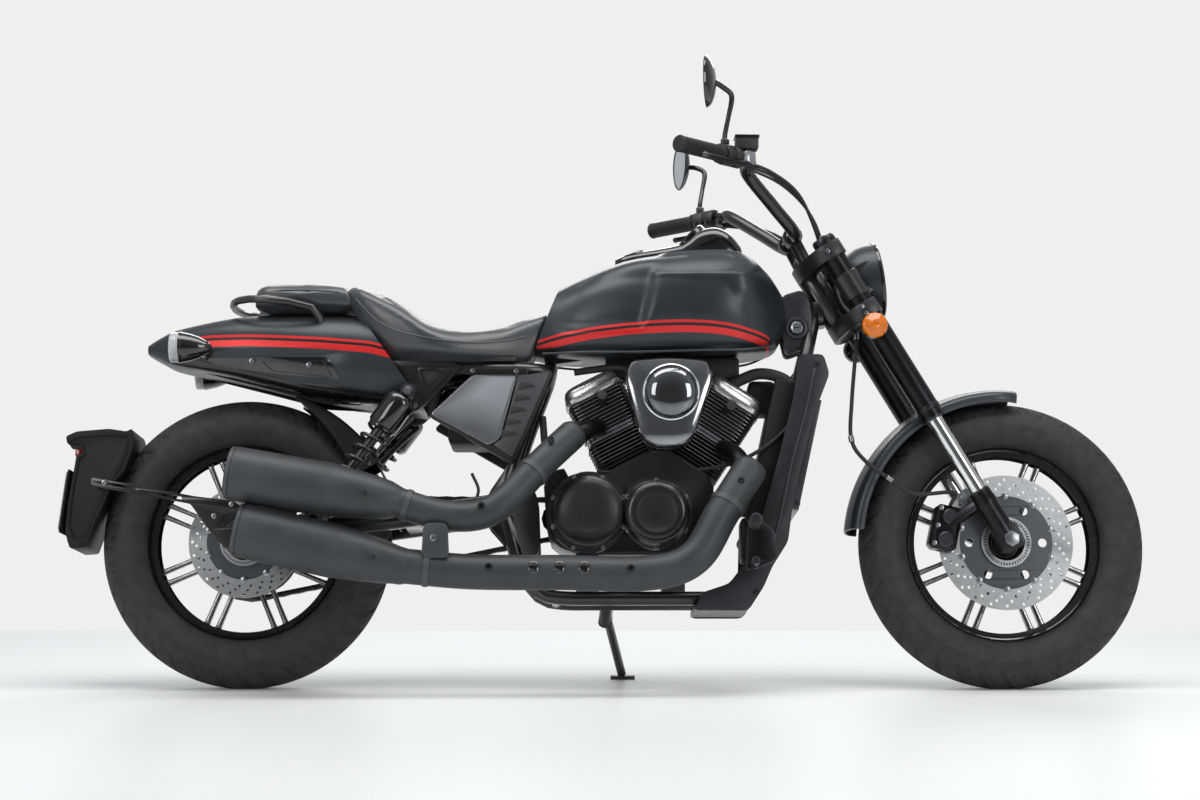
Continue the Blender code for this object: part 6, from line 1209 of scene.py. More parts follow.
def loftBody(name, along=10, around=7, shrink=0):
    b = bodies[name]
    half = smoothRows(sections[b["section"]], around)
    outline = [(w, h) for w, h in half] + [(-w, h) for w, h in reversed(half[:-1])]
    rows = smoothRows(b["rows"], along)
    points = []
    for xLow, xTop, low, top, width in rows:
        for w, h in outline:
            points.append(Vector((b["rear"] + b["long"] * (xLow + (xTop - xLow) * h),
                (b["half"] * width - shrink) * w, b["base"] + b["tall"] * (low + (top - low) * h) - shrink
                * (2 * h - 1))))
    count = len(outline)
    faces = quads(len(rows), count)
    for row in (0, len(rows) - 1):                     # domed ends, fanned to a middle point
        ring = points[row * count:(row + 1) * count]
        middle = sum(ring, Vector()) / count
        faces += [(row * count + k, row * count + (k + 1) % count, len(points)) for k in range(count)]
        points.append(middle)
    return points, faces


def smoothStep(value, low, high):
    t = min(1, max(0, (value - low) / (high - low)))
    return t * t * (3 - 2 * t)


def lineAt(points, x):
    for (x0, z0), (x1, z1) in zip(points, points[1:]):
        if x <= x1:
            return z0 + (z1 - z0) * max(0, (x - x0) / (x1 - x0))
    return points[-1][1]


stripeLines = {"tank": ((0.63, 0.7685), (0.7, 0.783), (0.768, 0.794), (0.85, 0.803), (0.927, 0.807),
    (0.978, 0.8085), (1.029, 0.807), (1.07, 0.803), (1.104, 0.797), (1.135, 0.79), (1.156, 0.784),
    (1.172, 0.774)), "tail": ((-0.235, 0.768), (-0.155, 0.778), (-0.084, 0.782), (0, 0.781), (0.065, 0.778),
    (0.17, 0.772), (0.278, 0.763), (0.32, 0.752))}
stripes = {"thin": (-0.0062, 0), "thick": (-0.027, -0.0125), "tank": (0.646, 1.166), "tail": (-0.165, 0.6),
    "lowest": {"tank": 0.7535, "tail": 0}}


def tankShape():
    # The knee dents, the band that rises out of them and the crease of the shoulder.
    dent = {"deep": 0.0165, "slant": 0.24, "at": 0.886, "half": 0.015, "crease": 0.913, "side": 0.151}
    points, faces = loftBody("tank", 16, 10)
    for p in points:
        side = copysign(1, p.y)
        band = dent["at"] + (p.z - 0.81) * dent["slant"]
        front = smoothStep(p.x, band - dent["half"], band + dent["half"])
        mask = smoothStep(p.z, 0.775, 0.815) * smoothStep(abs(p.y), 0.045, 0.1)
        rear = smoothStep(p.x, 0.655, 0.74)
        p.y -= side * dent["deep"] * (1 - front) * mask * rear * (1 - smoothStep(p.z, 0.9, 0.955))
        if abs(p.y) > 0.05 and p.z > 0.84:
            fade = 1 - smoothStep(p.x, 1.085, 1.165)
            limit = dent["side"] - 0.006 * abs(p.x - 1) / 0.15
            if p.z <= dent["crease"]:
                full = max(abs(p.y), limit - 0.03 * (dent["crease"] - p.z))
            else:
                full = max(abs(p.y), min(limit - 1.05 * (p.z - dent["crease"]), limit))
                if limit - 1.05 * (p.z - dent["crease"]) < abs(p.y):
                    full = abs(p.y) - 0.1 * (abs(p.y) - (limit - 1.05 * (p.z - dent["crease"])))
            amount = front * fade * smoothStep(p.z, 0.84, 0.885)
            p.y = side * (abs(p.y) * (1 - amount) + full * amount)
    return points, faces


def markStripes(thing, name):
    # Stores, for each vertex, how far along and how far from the stripe's upper edge it lies.
    back = bike.inverted()
    mark = thing.data.attributes.new("stripePlace", "FLOAT_VECTOR", "POINT")
    for k, vertex in enumerate(thing.data.vertices):
        spot = back @ vertex.co
        start, end = stripes[name]
        ahead = min(spot.x - start, end - spot.x, spot.z - stripes["lowest"][name])
        mark.data[k].vector = (ahead, abs(spot.y), spot.z - lineAt(stripeLines[name], spot.x))


def stripedPaint():
    # The same satin paint with two enamel stripes, thin above thick, and glossy black between them.
    made = satinPaint.copy()
    made.name = "striped_charcoal_paint"
    tree = made.node_tree
    shader = tree.nodes["Principled BSDF"]
    base = shader.inputs["Base Color"].links[0].from_socket
    place = addNode(tree, "ShaderNodeAttribute", {"attribute_name": "stripePlace"}).outputs["Vector"]
    apart = addNode(tree, "ShaderNodeSeparateXYZ", Vector=place)

    def worked(operation, first, second):
        node = addNode(tree, "ShaderNodeMath", {"operation": operation}, n0=first)
        if isinstance(second, (int, float)):
            node.inputs[1].default_value = second
        else:
            tree.links.new(second, node.inputs[1])
        return node.outputs[0]

    inside = worked("GREATER_THAN", apart.outputs["X"], 0)

    def band(low, high):
        away = worked("ABSOLUTE", worked("SUBTRACT", apart.outputs["Z"], (low + high) / 2), 0)
        return worked("MULTIPLY", worked("LESS_THAN", away, (high - low) / 2), inside)

    for low, high, colour in ((stripes["thick"][0], stripes["thin"][1], "#101113"),
            (*stripes["thin"], "#cf1f1f"), (*stripes["thick"], "#cf1f1f")):
        mix = addNode(tree, "ShaderNodeMix", {"data_type": "RGBA"}, n0=band(low, high), n6=base)
        mix.inputs[7].default_value = linear(colour)
        base = mix.outputs[2]
    tree.links.new(base, shader.inputs["Base Color"])
    return made


def tank():
    thing = piece("fuel_tank_pressed", tankShape(), stripePaint, stands="fuel_tank", sharp=42)
    markStripes(thing, "tank")
    seam = [(0.66, -0.09, 0.741), (0.75, -0.128, 0.7385), (0.88, -0.139, 0.738), (1.02, -0.137, 0.742),
        (1.12, -0.115, 0.748), (1.175, -0.072, 0.765)]
    for name, side in (("right", 1), ("left", -1)):
        route = [(x, y * side, z) for x, y, z in seam]
        piece("tank_seam_" + name, swept(route, 0.0028, 10, 10), satinPaint)


def pod():
    piece("instrument_pod_moulded", loftBody("pod", 10, 6), glossPlastic, stands="instrument_pod", sharp=50)
    place = bike @ aim((0.99, 0, 1.0195), (-0.72, 0, 0.69))
    bezel = spun([(0.043, -0.01), (0.043, 0.002), (0.04, 0.005), (0.037, 0.003), (0.036, -0.004)], 72)
    dial = spun([(0.0365, -0.001), (0, -0.001)], 48)
    glass = spun([(0.037, 0.001), (0.025, 0.003), (0, 0.004)], 48)
    ticks = [moved(block((0.0012, 0.004, 0.0006), (0, 0.031, 0)), turned("Z", 30 * k)) for k in range(-4, 5)]
    needle = block((0.0016, 0.026, 0.0008), (0, 0.011, 0.0008))
    piece("gauge_bezel", bezel, glossPlastic, place, sharp=35)
    piece("gauge_dial", dial, grainPlastic, place)
    piece("gauge_marks", joined(*ticks), zincSteel, place)
    piece("gauge_needle", moved(needle, turned("Z", 118)), redPaint, place)
    piece("gauge_glass", glass, clearLens, place, sharp=60)
    cap = bike @ aim((0.862, 0, 0.9765), (-0.34, 0, 0.94))
    lid = spun([(0.034, -0.012), (0.034, 0.003), (0.032, 0.006), (0.027, 0.007), (0.025, 0.0055),
        (0.012, 0.0062), (0, 0.0062)], 64)
    piece("filler_cap", lid, glossPlastic, cap, sharp=35)
    slot = moved(roundedBlock(0.022, 0.008, 0.002, 0.003), offset(0, 0, 0.0075))
    piece("filler_cap_latch", slot, blackAnodised, cap, soft=0.0008)


def inflate(thing, cap, pressure=4):
    # Swells a closed pad as foam under a tight cover, by at most cap, and bakes the result.
    remesh = thing.modifiers.new("voxels", "REMESH")
    remesh.mode, remesh.voxel_size = "VOXEL", 0.0055
    apply(thing)
    rest = [v.co.copy() for v in thing.data.vertices]
    scene = bpy.context.scene
    cloth = thing.modifiers.new("foam", "CLOTH")
    cloth.settings.use_pressure = True
    cloth.settings.uniform_pressure_force = pressure
    cloth.settings.effector_weights.gravity = 0
    cloth.settings.tension_stiffness = 18
    cloth.settings.shear_stiffness = 12
    cloth.point_cache.frame_start, cloth.point_cache.frame_end = 1, 20
    for number in range(1, 21):
        scene.frame_set(number)
    baked = bakedMesh(thing)
    thing.modifiers.clear()
    for vertex, start in zip(baked.vertices, rest):
        move = vertex.co - start
        if move.length > cap:
            vertex.co = start + move.normalized() * cap
    thing.data = baked
    scene.frame_set(1)
    fine = thing.modifiers.new("fine", "SUBSURF")
    fine.levels = 1
    apply(thing)
    thing.data.shade_smooth()


def settle(thing, route, side, lift):
    # Points of a seam, dropped sideways onto a pad's surface.
    back, out = thing.matrix_world.inverted(), []
    for x, z in route:
        start = bike @ Vector((x, side * 0.35, z))
        ahead = bike.to_3x3() @ Vector((0, -side, 0))
        hit, spot, normal, _ = thing.ray_cast(back @ start, back.to_3x3() @ ahead)
        if hit:
            out.append(thing.matrix_world @ (spot + normal * lift))
    return out


seams = {"rider": ((0.2435, 0.862), (0.266, 0.836), (0.291, 0.811), (0.325, 0.79), (0.363, 0.777),
    (0.406, 0.767), (0.451, 0.761), (0.5, 0.76), (0.54, 0.763), (0.585, 0.771), (0.622, 0.781)),
    "pillion": ((0.03, 0.876), (0.075, 0.882), (0.12, 0.883), (0.165, 0.882), (0.205, 0.879))}


def seats():
    saddle = piece("rider_saddle", loftBody("seat", 8, 6, 0.004), seatLeather, stands="rider_seat", sharp=60)
    inflate(saddle, 0.0052)
    pad = piece("pillion_cushion", loftBody("pillion", 8, 6, 0.004), seatLeather, stands="pillion_pad",
        sharp=60)
    inflate(pad, 0.005)
    bpy.context.view_layer.update()
    for name, thing in (("rider", saddle), ("pillion", pad)):
        for tag, side in bothSides:
            route = settle(thing, seams[name], side, 0.0002)
            if len(route) > 3:
                piece("%s_piping_%s" % (name, tag), swept(route, 0.0019, 10, 6), seatLeather, world)
    base = slabRow([(0.318, 0.7225), (0.6, 0.7225)], 0.1, 0.01)
    piece("saddle_pan", base, grainPlastic, soft=0.002)


def slabRow(line, half, thick):
    (x0, z0), (x1, z1) = line
    return block((x1 - x0, 2 * half, thick), ((x0 + x1) / 2, 0, (z0 + z1) / 2 + thick * 0.5))


def tailCowl():
    points, faces = loftBody("tail", 12, 9)
    for p in points:                                  # a long hollow along the side, under the stripes
        mask = smoothStep(p.x, -0.12, -0.02) * (1 - smoothStep(p.x, 0.17, 0.235))
        low = smoothStep(p.z, 0.655, 0.69) * (1 - smoothStep(p.z, 0.735, 0.748))
        p.y -= copysign(0.007, p.y) * mask * low * (abs(p.y) > 0.05)
    cowl = piece("tail_cowl_moulded", (points, faces), stripePaint, stands="tail_cowl", sharp=40)
    markStripes(cowl, "tail")
    for tag, side in bothSides:
        strip = [(-0.1, 0.7325), (0.186, 0.7265), (0.214, 0.676), (0.15, 0.683), (-0.06, 0.712)]
        inlay = trimStrip(cowl, rounded(strip, 0.006, 3), side, 0.0014, 0.003)
        piece("tail_trim_" + tag, inlay, glossPlastic, world, sharp=35)
        heads = []
        for x, z in ((0.016, 0.722), (0.144, 0.71)):
            spot = settle(cowl, [(x, z)], side, 0.003)
            heads += [(bike.inverted() @ s) for s in spot]
        bolts("tail_bolts_" + tag, heads, 0.0068, (0, side, 0))
        arrow = trimStrip(cowl, rounded([(0.035, 0.7215), (0.176, 0.7185), (0.196, 0.684), (0.15, 0.688),
            (0.06, 0.7)], 0.004, 3), side, 0.0032, 0.0012, rim=0.0022)
        piece("tail_trim_rib_" + tag, arrow, grainPlastic, world, sharp=35)
    under = [(0.3, 0.65), (0.34, 0.626), (0.17, 0.634), (0.04, 0.668), (-0.11, 0.706), (-0.205, 0.742),
        (-0.19, 0.748), (-0.05, 0.713), (0.1, 0.678)]
    for tag, side in bothSides:
        rail = trimStrip(cowl, rounded(under, 0.004, 2), side, 0.0016, 0.003)
        piece("tail_lower_edge_" + tag, rail, powderCoat, world, sharp=35)


def trimStrip(carrier, outline, side, proud, sunk, rim=0):
    # An outline in side view, laid on a body's side: filled, or only a rim along its edge.
    back = carrier.matrix_world.inverted()
    loops = [outline]
    if rim:
        middle = sum((Vector(p) for p in outline), Vector((0, 0))) / len(outline)
        loops.append([tuple(Vector(p) + (middle - Vector(p)).normalized() * rim) for p in outline])
    columns = 14
    points, faces = [], []

    def onSurface(x, z, lift):
        start = bike @ Vector((x, side * 0.35, z))
        ahead = bike.to_3x3() @ Vector((0, -side, 0))
        hit, spot, normal, _ = carrier.ray_cast(back @ start, back.to_3x3() @ ahead)
        if not hit:
            spot = bike @ Vector((x, side * 0.05, z))
            return spot
        return carrier.matrix_world @ (spot + normal * lift)

    if rim:
        count = len(outline)
        for loop, lift in ((loops[0], proud), (loops[1], proud), (loops[0], -sunk), (loops[1], -sunk)):
            points += [onSurface(x, z, lift) for x, z in loop]
        for k in range(count):
            n = (k + 1) % count
            faces += [(k, n, count + n, count + k), (k, 2 * count + k, 2 * count + n, n),
                (count + k, count + n, 3 * count + n, 3 * count + k)]
        return points, faces
    xs = [p[0] for p in outline]
    low, high = min(xs), max(xs)
    rows = 56
    grid = []
    for r in range(rows + 1):
        x = low + (high - low) * (0.001 + 0.998 * r / rows)
        crossings = []
        for a, b in zip(outline, outline[1:] + outline[:1]):
            if (a[0] - x) * (b[0] - x) < 0:
                crossings.append(a[1] + (b[1] - a[1]) * (x - a[0]) / (b[0] - a[0]))
        if len(crossings) >= 2:
            bottom, top = min(crossings), max(crossings)
            grid.append([(x, bottom + (top - bottom) * c / columns) for c in range(columns + 1)])
    for lift in (proud, -sunk):
        for line in grid:
            points += [onSurface(x, z, lift) for x, z in line]
    width = columns + 1
    layer = len(grid) * width
    for r in range(len(grid) - 1):
        for c in range(columns):
            a = r * width + c
            faces.append((a, a + 1, a + width + 1, a + width))
        for c in (0, columns):
            a = r * width + c
            faces.append((a, a + width, a + width + layer, a + layer))
    for r in (0, len(grid) - 1):
        for c in range(columns):
            a = r * width + c
            faces.append((a, a + 1, a + 1 + layer, a + layer))
    return points, faces


stripePaint = stripedPaint()
tank()
pod()
seats()
tailCowl()
print("tank, seats and tail made")

# Frame, covers, suspension and the small pieces on them

def frameAndArms():
    refined("frame", powderCoat, 0.0018, 50)
    refined("swingarm", powderCoat, 0.002, 50)
    refined("side_stand", powderCoat, 0.0012, 50, body="side_stand")
    refined("rear_sprocket", oiledSteel, 0.0006, 40, body="rear_wheel")
    refined("chain", oiledSteel, 0.0008, 40)
    refined("grab_rail", powderCoat, 0, 50)
    refined("rear_caliper", blackAnodised, 0.0025, 30)


gusset = {"outline": ((0.292, 0.7235), (0.455, 0.7235), (0.482, 0.7075), (0.47, 0.696), (0.38, 0.606),
    (0.352, 0.604), (0.318, 0.66)), "window": ((0.388, 0.703), (0.424, 0.702), (0.436, 0.69), (0.407, 0.667),
    (0.397, 0.676)), "across": 0.1085, "thick": 0.005, "bolts": ((0.312, 0.712, 0.007),
    (0.378, 0.622, 0.006), (0.505, 0.7005, 0.006), (0.602, 0.699, 0.006))}


def gussets():
    # Black triangular plates under the seat, with a small window and bright bolts.
    g = gusset
    shape = sheet([rounded(g["outline"], 0.012), rounded(g["window"], 0.005)], g["thick"])
    for tag, side in bothSides:
        place = sideView(side * g["across"])
        piece("gusset_" + tag, shape, powderCoat, place, sharp=30, soft=0.0016)
        rim = sheet([rounded([(0.383, 0.7075), (0.427, 0.7065), (0.4425, 0.69), (0.4065, 0.6605),
            (0.391, 0.6745)], 0.006), rounded(g["window"], 0.005)], 0.007)
        piece("gusset_window_" + tag, rim, powderCoat, place, sharp=30, soft=0.0012)
        back = sideView(side * (g["across"] - 0.006))
        piece("gusset_backing_" + tag, sheet([rounded(g["window"], 0.002)], 0.003), grainPlastic, back)
        for k, (x, z, size) in enumerate(g["bolts"]):
            lift = g["across"] + g["thick"] / 2 if k < 2 else 0.1035
            bolts("gusset_bolt_%s_%d" % (tag, k + 1), [(x, side * lift, z)], size, (0, side, 0))
        # rail cover that runs forward under the seat
        rail = rounded([(0.47, 0.707), (0.625, 0.707), (0.628, 0.6935), (0.5, 0.692), (0.47, 0.6965)], 0.005)
        piece("seat_rail_cover_" + tag, moved(slab(rail, 0.006), offset(0, side * 0.1005, 0)), powderCoat,
            soft=0.0018)


def sideCovers():
    inner = 0.085 + 0.016 * 0.945 + 0.0003
    outline = ((0.408, 0.597), (0.505, 0.69), (0.63, 0.69), (0.684, 0.7), (0.594, 0.49))
    rear = ((0.414, 0.6), (0.506, 0.6865), (0.6, 0.6845), (0.601, 0.676), (0.566, 0.545), (0.541, 0.531))
    front = ((0.607, 0.6845), (0.677, 0.6945), (0.594, 0.503), (0.552, 0.532), (0.572, 0.545))
    for tag, side in bothSides:
        base = moved(slab(rounded(outline, 0.01), 0.02), offset(0, side * (inner + 0.01), 0))
        piece("side_cover_base_" + tag, base, grainPlastic, stands="side_cover_" + tag, soft=0.003)
        panel = moved(slab(rounded(rear, 0.008), 0.013), offset(0, side * (inner + 0.0245), 0))
        piece("side_panel_rear_" + tag, panel, gunmetal, sharp=30, soft=0.0042)
        trim = sheet([rounded(rear, 0.008), rounded(shrunk(rear, 0.0052), 0.006)], 0.003)
        piece("side_panel_edge_" + tag, trim, turnedAluminium, sideView(side * (inner + 0.0285)), sharp=30,
            soft=0.0006)
        panel = moved(slab(rounded(front, 0.007), 0.013), offset(0, side * (inner + 0.0235), 0))
        piece("side_panel_front_" + tag, panel, gunmetalMiddle, sharp=30, soft=0.0036)
        louvres = []
        for k in range(5):
            x, z = 0.6235 - 0.0098 * k, 0.665 - 0.0268 * k
            shape = slab([(-0.016, -0.0105), (0.022, -0.003), (0.014, 0.004), (-0.012, 0.008)], 0.006)
            louvres.append(moved(shape, offset(x, side * (inner + 0.0285), z)))
        piece("side_louvres_" + tag, joined(*louvres), grainPlastic, sharp=30, soft=0.0012)


def shrunk(outline, amount):
    middle = sum((Vector(p) for p in outline), Vector((0, 0))) / len(outline)
    return [tuple(Vector(p) + (middle - Vector(p)).normalized() * amount * 1.35) for p in outline]


shock = {"top": (0.366, 0.645), "low": (0.15, 0.352), "across": 0.1625, "spring": 0.0255, "wire": 0.0042,
    "turns": 8, "cover": 0.285, "cap": 0.0345}


def shocks():
    s = shock
    for tag, side in bothSides:
        top = Vector((s["top"][0], side * s["across"], s["top"][1]))
        low = Vector((s["low"][0], side * s["across"], s["low"][1]))
        length = (low - top).length
        place = bike @ aim(top, low - top)
        wide = s["spring"] + s["wire"]
        cap, deep = s["cap"], s["cover"] * length
        cover = spun([(0, 0.01), (0.013, 0.01)] + [(cap - 0.018 * (1 - sin(a)), 0.034 - 0.022 * cos(a))
            for a in [radians(15 * k) for k in range(1, 7)]] + [(cap, deep - 0.01),
            (cap - 0.0015, deep - 0.007), (cap - 0.004, deep - 0.006), (cap - 0.004, deep - 0.002),
            (cap - 0.008, deep)], 64)
        body = spun([(0.0125, 0.02), (0.0125, length * 0.62), (0.0165, length * 0.63),
            (0.017, length - 0.022), (0.01, length - 0.014)], 40)
        seat = spun([(0.014, length * 0.9), (wide, length * 0.905), (wide, length * 0.925),
            (wide - 0.004, length * 0.935), (0.014, length * 0.94)], 48)
        eyes = joined(*[moved(spun([(0.0092, -0.0135), (0.0165, -0.0135), (0.017, -0.012), (0.017, 0.012),
            (0.0165, 0.0135), (0.0092, 0.0135), (0.0092, -0.0135)], 36), aim(spot, (0, 1, 0)))
            for spot in (top, low)])
        necks = joined(moved(spun([(0.009, 0.01), (0.009, 0.02)], 24), aim(top, low - top)),
            moved(spun([(0.009, length - 0.024), (0.009, length - 0.01)], 24), aim(top, low - top)))
        turns = s["turns"]
        start, end = s["cover"] * length - 0.004, length * 0.905
        coil = [Vector((s["spring"] * cos(2 * pi * t), s["spring"] * sin(2 * pi * t),
            start + (end - start) * t / turns)) for t in [k / 14 for k in range(turns * 14 + 1)]]
        piece("shock_cover_" + tag, cover, glossPlastic, place, "shock_" + tag, 35)
        piece("shock_body_" + tag, joined(body, seat), powderCoat, place, sharp=35)
        piece("shock_spring_" + tag, swept(coil, s["wire"], 12, 2), powderCoat, place)
        piece("shock_eyes_" + tag, joined(eyes, necks), castBlack, sharp=35)
        reach = side * (s["across"] + 0.014)
        nuts = [moved(hexNut(0.0115), aim((spot.x, reach, spot.z), (0, side, 0))) for spot in (top, low)]
        piece("shock_nuts_" + tag, joined(*nuts), zincSteel, sharp=25)


def radiatorParts():
    refined("radiator", blackAnodised, 0.0008, 40)
    refined("radiator_cover", gunmetalDark, 0.0022, 40)
    spots = [(1.27, 0.712), (1.222, 0.4), (1.13, 0.205)]
    for tag, side in bothSides:
        bolts("cheek_bolts_" + tag, [(x, side * 0.139, z) for x, z in spots], 0.0055, (0, side, 0),
            surface=blackAnodised)
        # raised rib down the cheek
        rib = swept([(1.262, side * 0.1392, 0.7), (1.24, side * 0.1392, 0.6), (1.212, side * 0.1392, 0.5),
            (1.19, side * 0.1392, 0.4), (1.165, side * 0.1392, 0.3)], 0.004, 12, 8)
        piece("cheek_rib_" + tag, rib, gunmetalDark)


# the same lacquer, a shade darker on the louvred panel
gunmetalMiddle = finish("middle_gunmetal_lacquer", "cover_grey", "#3a3c3e", "#414345", 0.42, metal=0.35,
    mottleMm=50, edge="#6a6c70", grain=(0.7, 0.03, 0.3))
# and more matt on the radiator's cheeks
gunmetalDark = finish("dark_gunmetal_lacquer", "cover_grey", "#26282b", "#2d2f33", 0.4, metal=0.4,
    mottleMm=50, edge="#45474b", grain=(0.7, 0.04, 0.4))


def footControls():
    for tag, side in bothSides:
        refined("foot_control_" + tag, blackAnodised, 0.0016, 50)
        peg = []
        for k in range(9):
            z = 0.012 + 0.0098 * k
            peg += [(0.0142, z), (0.0142, z + 0.0055), (0.013, z + 0.0065), (0.013, z + 0.009)]
        start = (1.122, side * 0.2, 0.35)
        piece("peg_rubber_" + tag, spun([(0.0125, 0.01)] + peg + [(0.0125, 0.102)], 32), gripRubber,
            bike @ aim(start, (0, side, 0)), sharp=35)
        pivot = bike @ aim((1.135, side * 0.158, 0.292), (0, side, 0))
        boss = spun([(0.0165, -0.006), (0.0165, 0.004), (0.014, 0.007), (0.008, 0.008), (0, 0.008)], 40)
        piece("pedal_pivot_" + tag, boss, turnedAluminium, pivot, sharp=35)
        bolts("foot_plate_bolts_" + tag, [(1.15, side * 0.15, 0.318), (1.128, side * 0.15, 0.262)], 0.0062,
            (0, side, 0))


# moulded polypropylene: near black, dull, faintly scuffed on its edges
wornPlastic = finish("moulded_polypropylene", "carrier_black", "#0b0b0c", "#0f0f10", 0.55, specular=0.3,
    mottleMm=35, edge="#161617", grain=(1.1, 0.06, 0.4))

carrier = {"flap": ((-0.3996, 0.556), (-0.3756, 0.567), (-0.3031, 0.573), (-0.264, 0.567), (-0.253, 0.574),
    (-0.247, 0.5543), (-0.25, 0.5272), (-0.267, 0.48), (-0.296, 0.445), (-0.312, 0.403), (-0.331, 0.362),
    (-0.349, 0.308), (-0.384, 0.306), (-0.395, 0.342), (-0.39, 0.4081), (-0.3745, 0.5136), (-0.36, 0.52),
    (-0.359, 0.5353), (-0.395, 0.537)), "arm": ((-0.33, 0.458), (-0.2136, 0.437), (-0.1013, 0.416),
    (-0.016, 0.406), (0.022, 0.372), (0.032, 0.34), (0.032, 0.3), (-0.032, 0.3), (-0.064, 0.336),
    (-0.1118, 0.3997), (-0.2133, 0.4185), (-0.33, 0.4388)),
    "windows": (((-0.034, 0.376), (-0.006, 0.386), (0.014, 0.36), (0.012, 0.348), (-0.03, 0.348),
    (-0.046, 0.356)), ((-0.205, 0.429), (-0.13, 0.415), (-0.13, 0.4085), (-0.205, 0.4225)),
    ((-0.3, 0.448), (-0.232, 0.435), (-0.232, 0.43), (-0.3, 0.443))), "across": -0.1353,
    "plate": (-0.402, 0.412), "wide": 0.085}


def plateCarrier():
    c = carrier
    wide = c["wide"]
    core = slab(rounded(c["flap"], 0.007), 2 * (wide - 0.004))
    piece("flap_shell", core, wornPlastic, stands="plate_carrier", sharp=40, soft=0.003)
    middle = Vector((-0.327, 0.463))
    rim = [tuple(Vector(p).lerp(middle, 0.13)) for p in c["flap"]]
    for tag, side in bothSides:
        ring = sheet([rounded(c["flap"], 0.007), rounded(rim, 0.006)], 0.005)
        piece("flap_rim_" + tag, ring, wornPlastic, sideView(side * (wide - 0.0035)), sharp=40, soft=0.0015)
    arm = sheet([rounded(c["arm"], 0.006)] + [rounded(w, 0.0022) for w in c["windows"]], 0.01)
    piece("carrier_arm", arm, powderCoat, sideView(c["across"]), sharp=35, soft=0.0012)
    bar = swept([(-0.316, c["across"], 0.446), (-0.318, -0.11, 0.446), (-0.32, -0.084, 0.446)], 0.009, 20, 3)
    piece("carrier_bar", bar, powderCoat, sharp=40)
    bolts("carrier_bolts", [(-0.3, c["across"] - 0.005, 0.446), (-0.02, c["across"] - 0.005, 0.398),
        (-0.058, c["across"] - 0.005, 0.372)], 0.0065)
    place = bike @ offset(c["plate"][0], 0, c["plate"][1]) @ turned("Y", 7)
    backing = moved(roundedBlock(0.142, 0.186, 0.004, 0.01), offset(0.004, 0, 0) @ turned("Y", 90))
    piece("plate_backing", backing, wornPlastic, place, soft=0.001)
    plate = moved(roundedBlock(0.13, 0.18, 0.0016, 0.008), turned("Y", 90))
    piece("blank_plate", plate, plateWhite, place, soft=0.0004)
    border = moved(sheet([oblong(0.128, 0.178, 0.008), oblong(0.118, 0.168, 0.006)], 0.001),
        offset(-0.0012, 0, 0) @ turned("Y", 90))
    piece("plate_border", border, plateWhite, place, soft=0.0002)
    bolts("plate_bolts", [(-0.4, y, 0.455) for y in (-0.06, 0.06)], 0.005, (-1, 0, 0))
    lens = moved(roundedBlock(0.022, 0.07, 0.022, 0.006), turned("Y", 90))
    piece("rear_lamp_lens", lens, redLens, bike @ offset(-0.376, 0, 0.527), soft=0.0025)
    spot = bike @ offset(-0.398, 0, 0.334) @ turned("Y", 82)
    piece("rear_reflector", roundedBlock(0.02, 0.06, 0.006, 0.004), redLens, spot, soft=0.0012)


# a curved guard between the rear tyre and the shocks
innerGuard = {"radius": 0.345, "from": 31, "to": 71, "wide": 0.084, "skirt": 0.06, "thick": 0.003}


def rearInnerGuard():
    g = innerGuard
    count = 28
    section = [(-g["wide"], -g["skirt"]), (-g["wide"], -0.006), (-g["wide"] + 0.006, 0), (-0.04, 0.0025),
        (0, 0.0035), (0.04, 0.0025), (g["wide"] - 0.006, 0), (g["wide"], -0.006), (g["wide"], -g["skirt"])]
    outer = section + [(y * (1 - g["thick"] / g["wide"]), r - g["thick"]) for y, r in reversed(section)]
    points = []
    for k in range(count + 1):
        share = k / count
        angle = radians(g["from"] + (g["to"] - g["from"]) * share)
        deep = 1 - 0.86 * share ** 1.3
        for y, r in outer:
            radius = g["radius"] + (r if r > -0.015 else r * deep)
            points.append(Vector((radius * cos(angle), y, axleHeight + radius * sin(angle))))
    n = len(outer)
    faces = quads(count + 1, n) + [tuple(range(n)), tuple(range(count * n, (count + 1) * n))]
    piece("rear_inner_guard", (points, faces), wornPlastic, sharp=40)
    stays = [swept([(0.288, side * 0.08, 0.515), (0.33, side * 0.088, 0.56), (0.372, side * 0.096, 0.6)],
        0.006, 14, 4) for side in (1, -1)]
    piece("inner_guard_stays", joined(*stays), powderCoat, sharp=40)


neck = {"outline": ((1.198, 0.884), (1.243, 0.896), (1.26, 0.876), (1.266, 0.8361), (1.266, 0.802),
    (1.254, 0.762), (1.205, 0.745), (1.19, 0.812)), "half": 0.044, "lock": (1.23, 0.8072)}


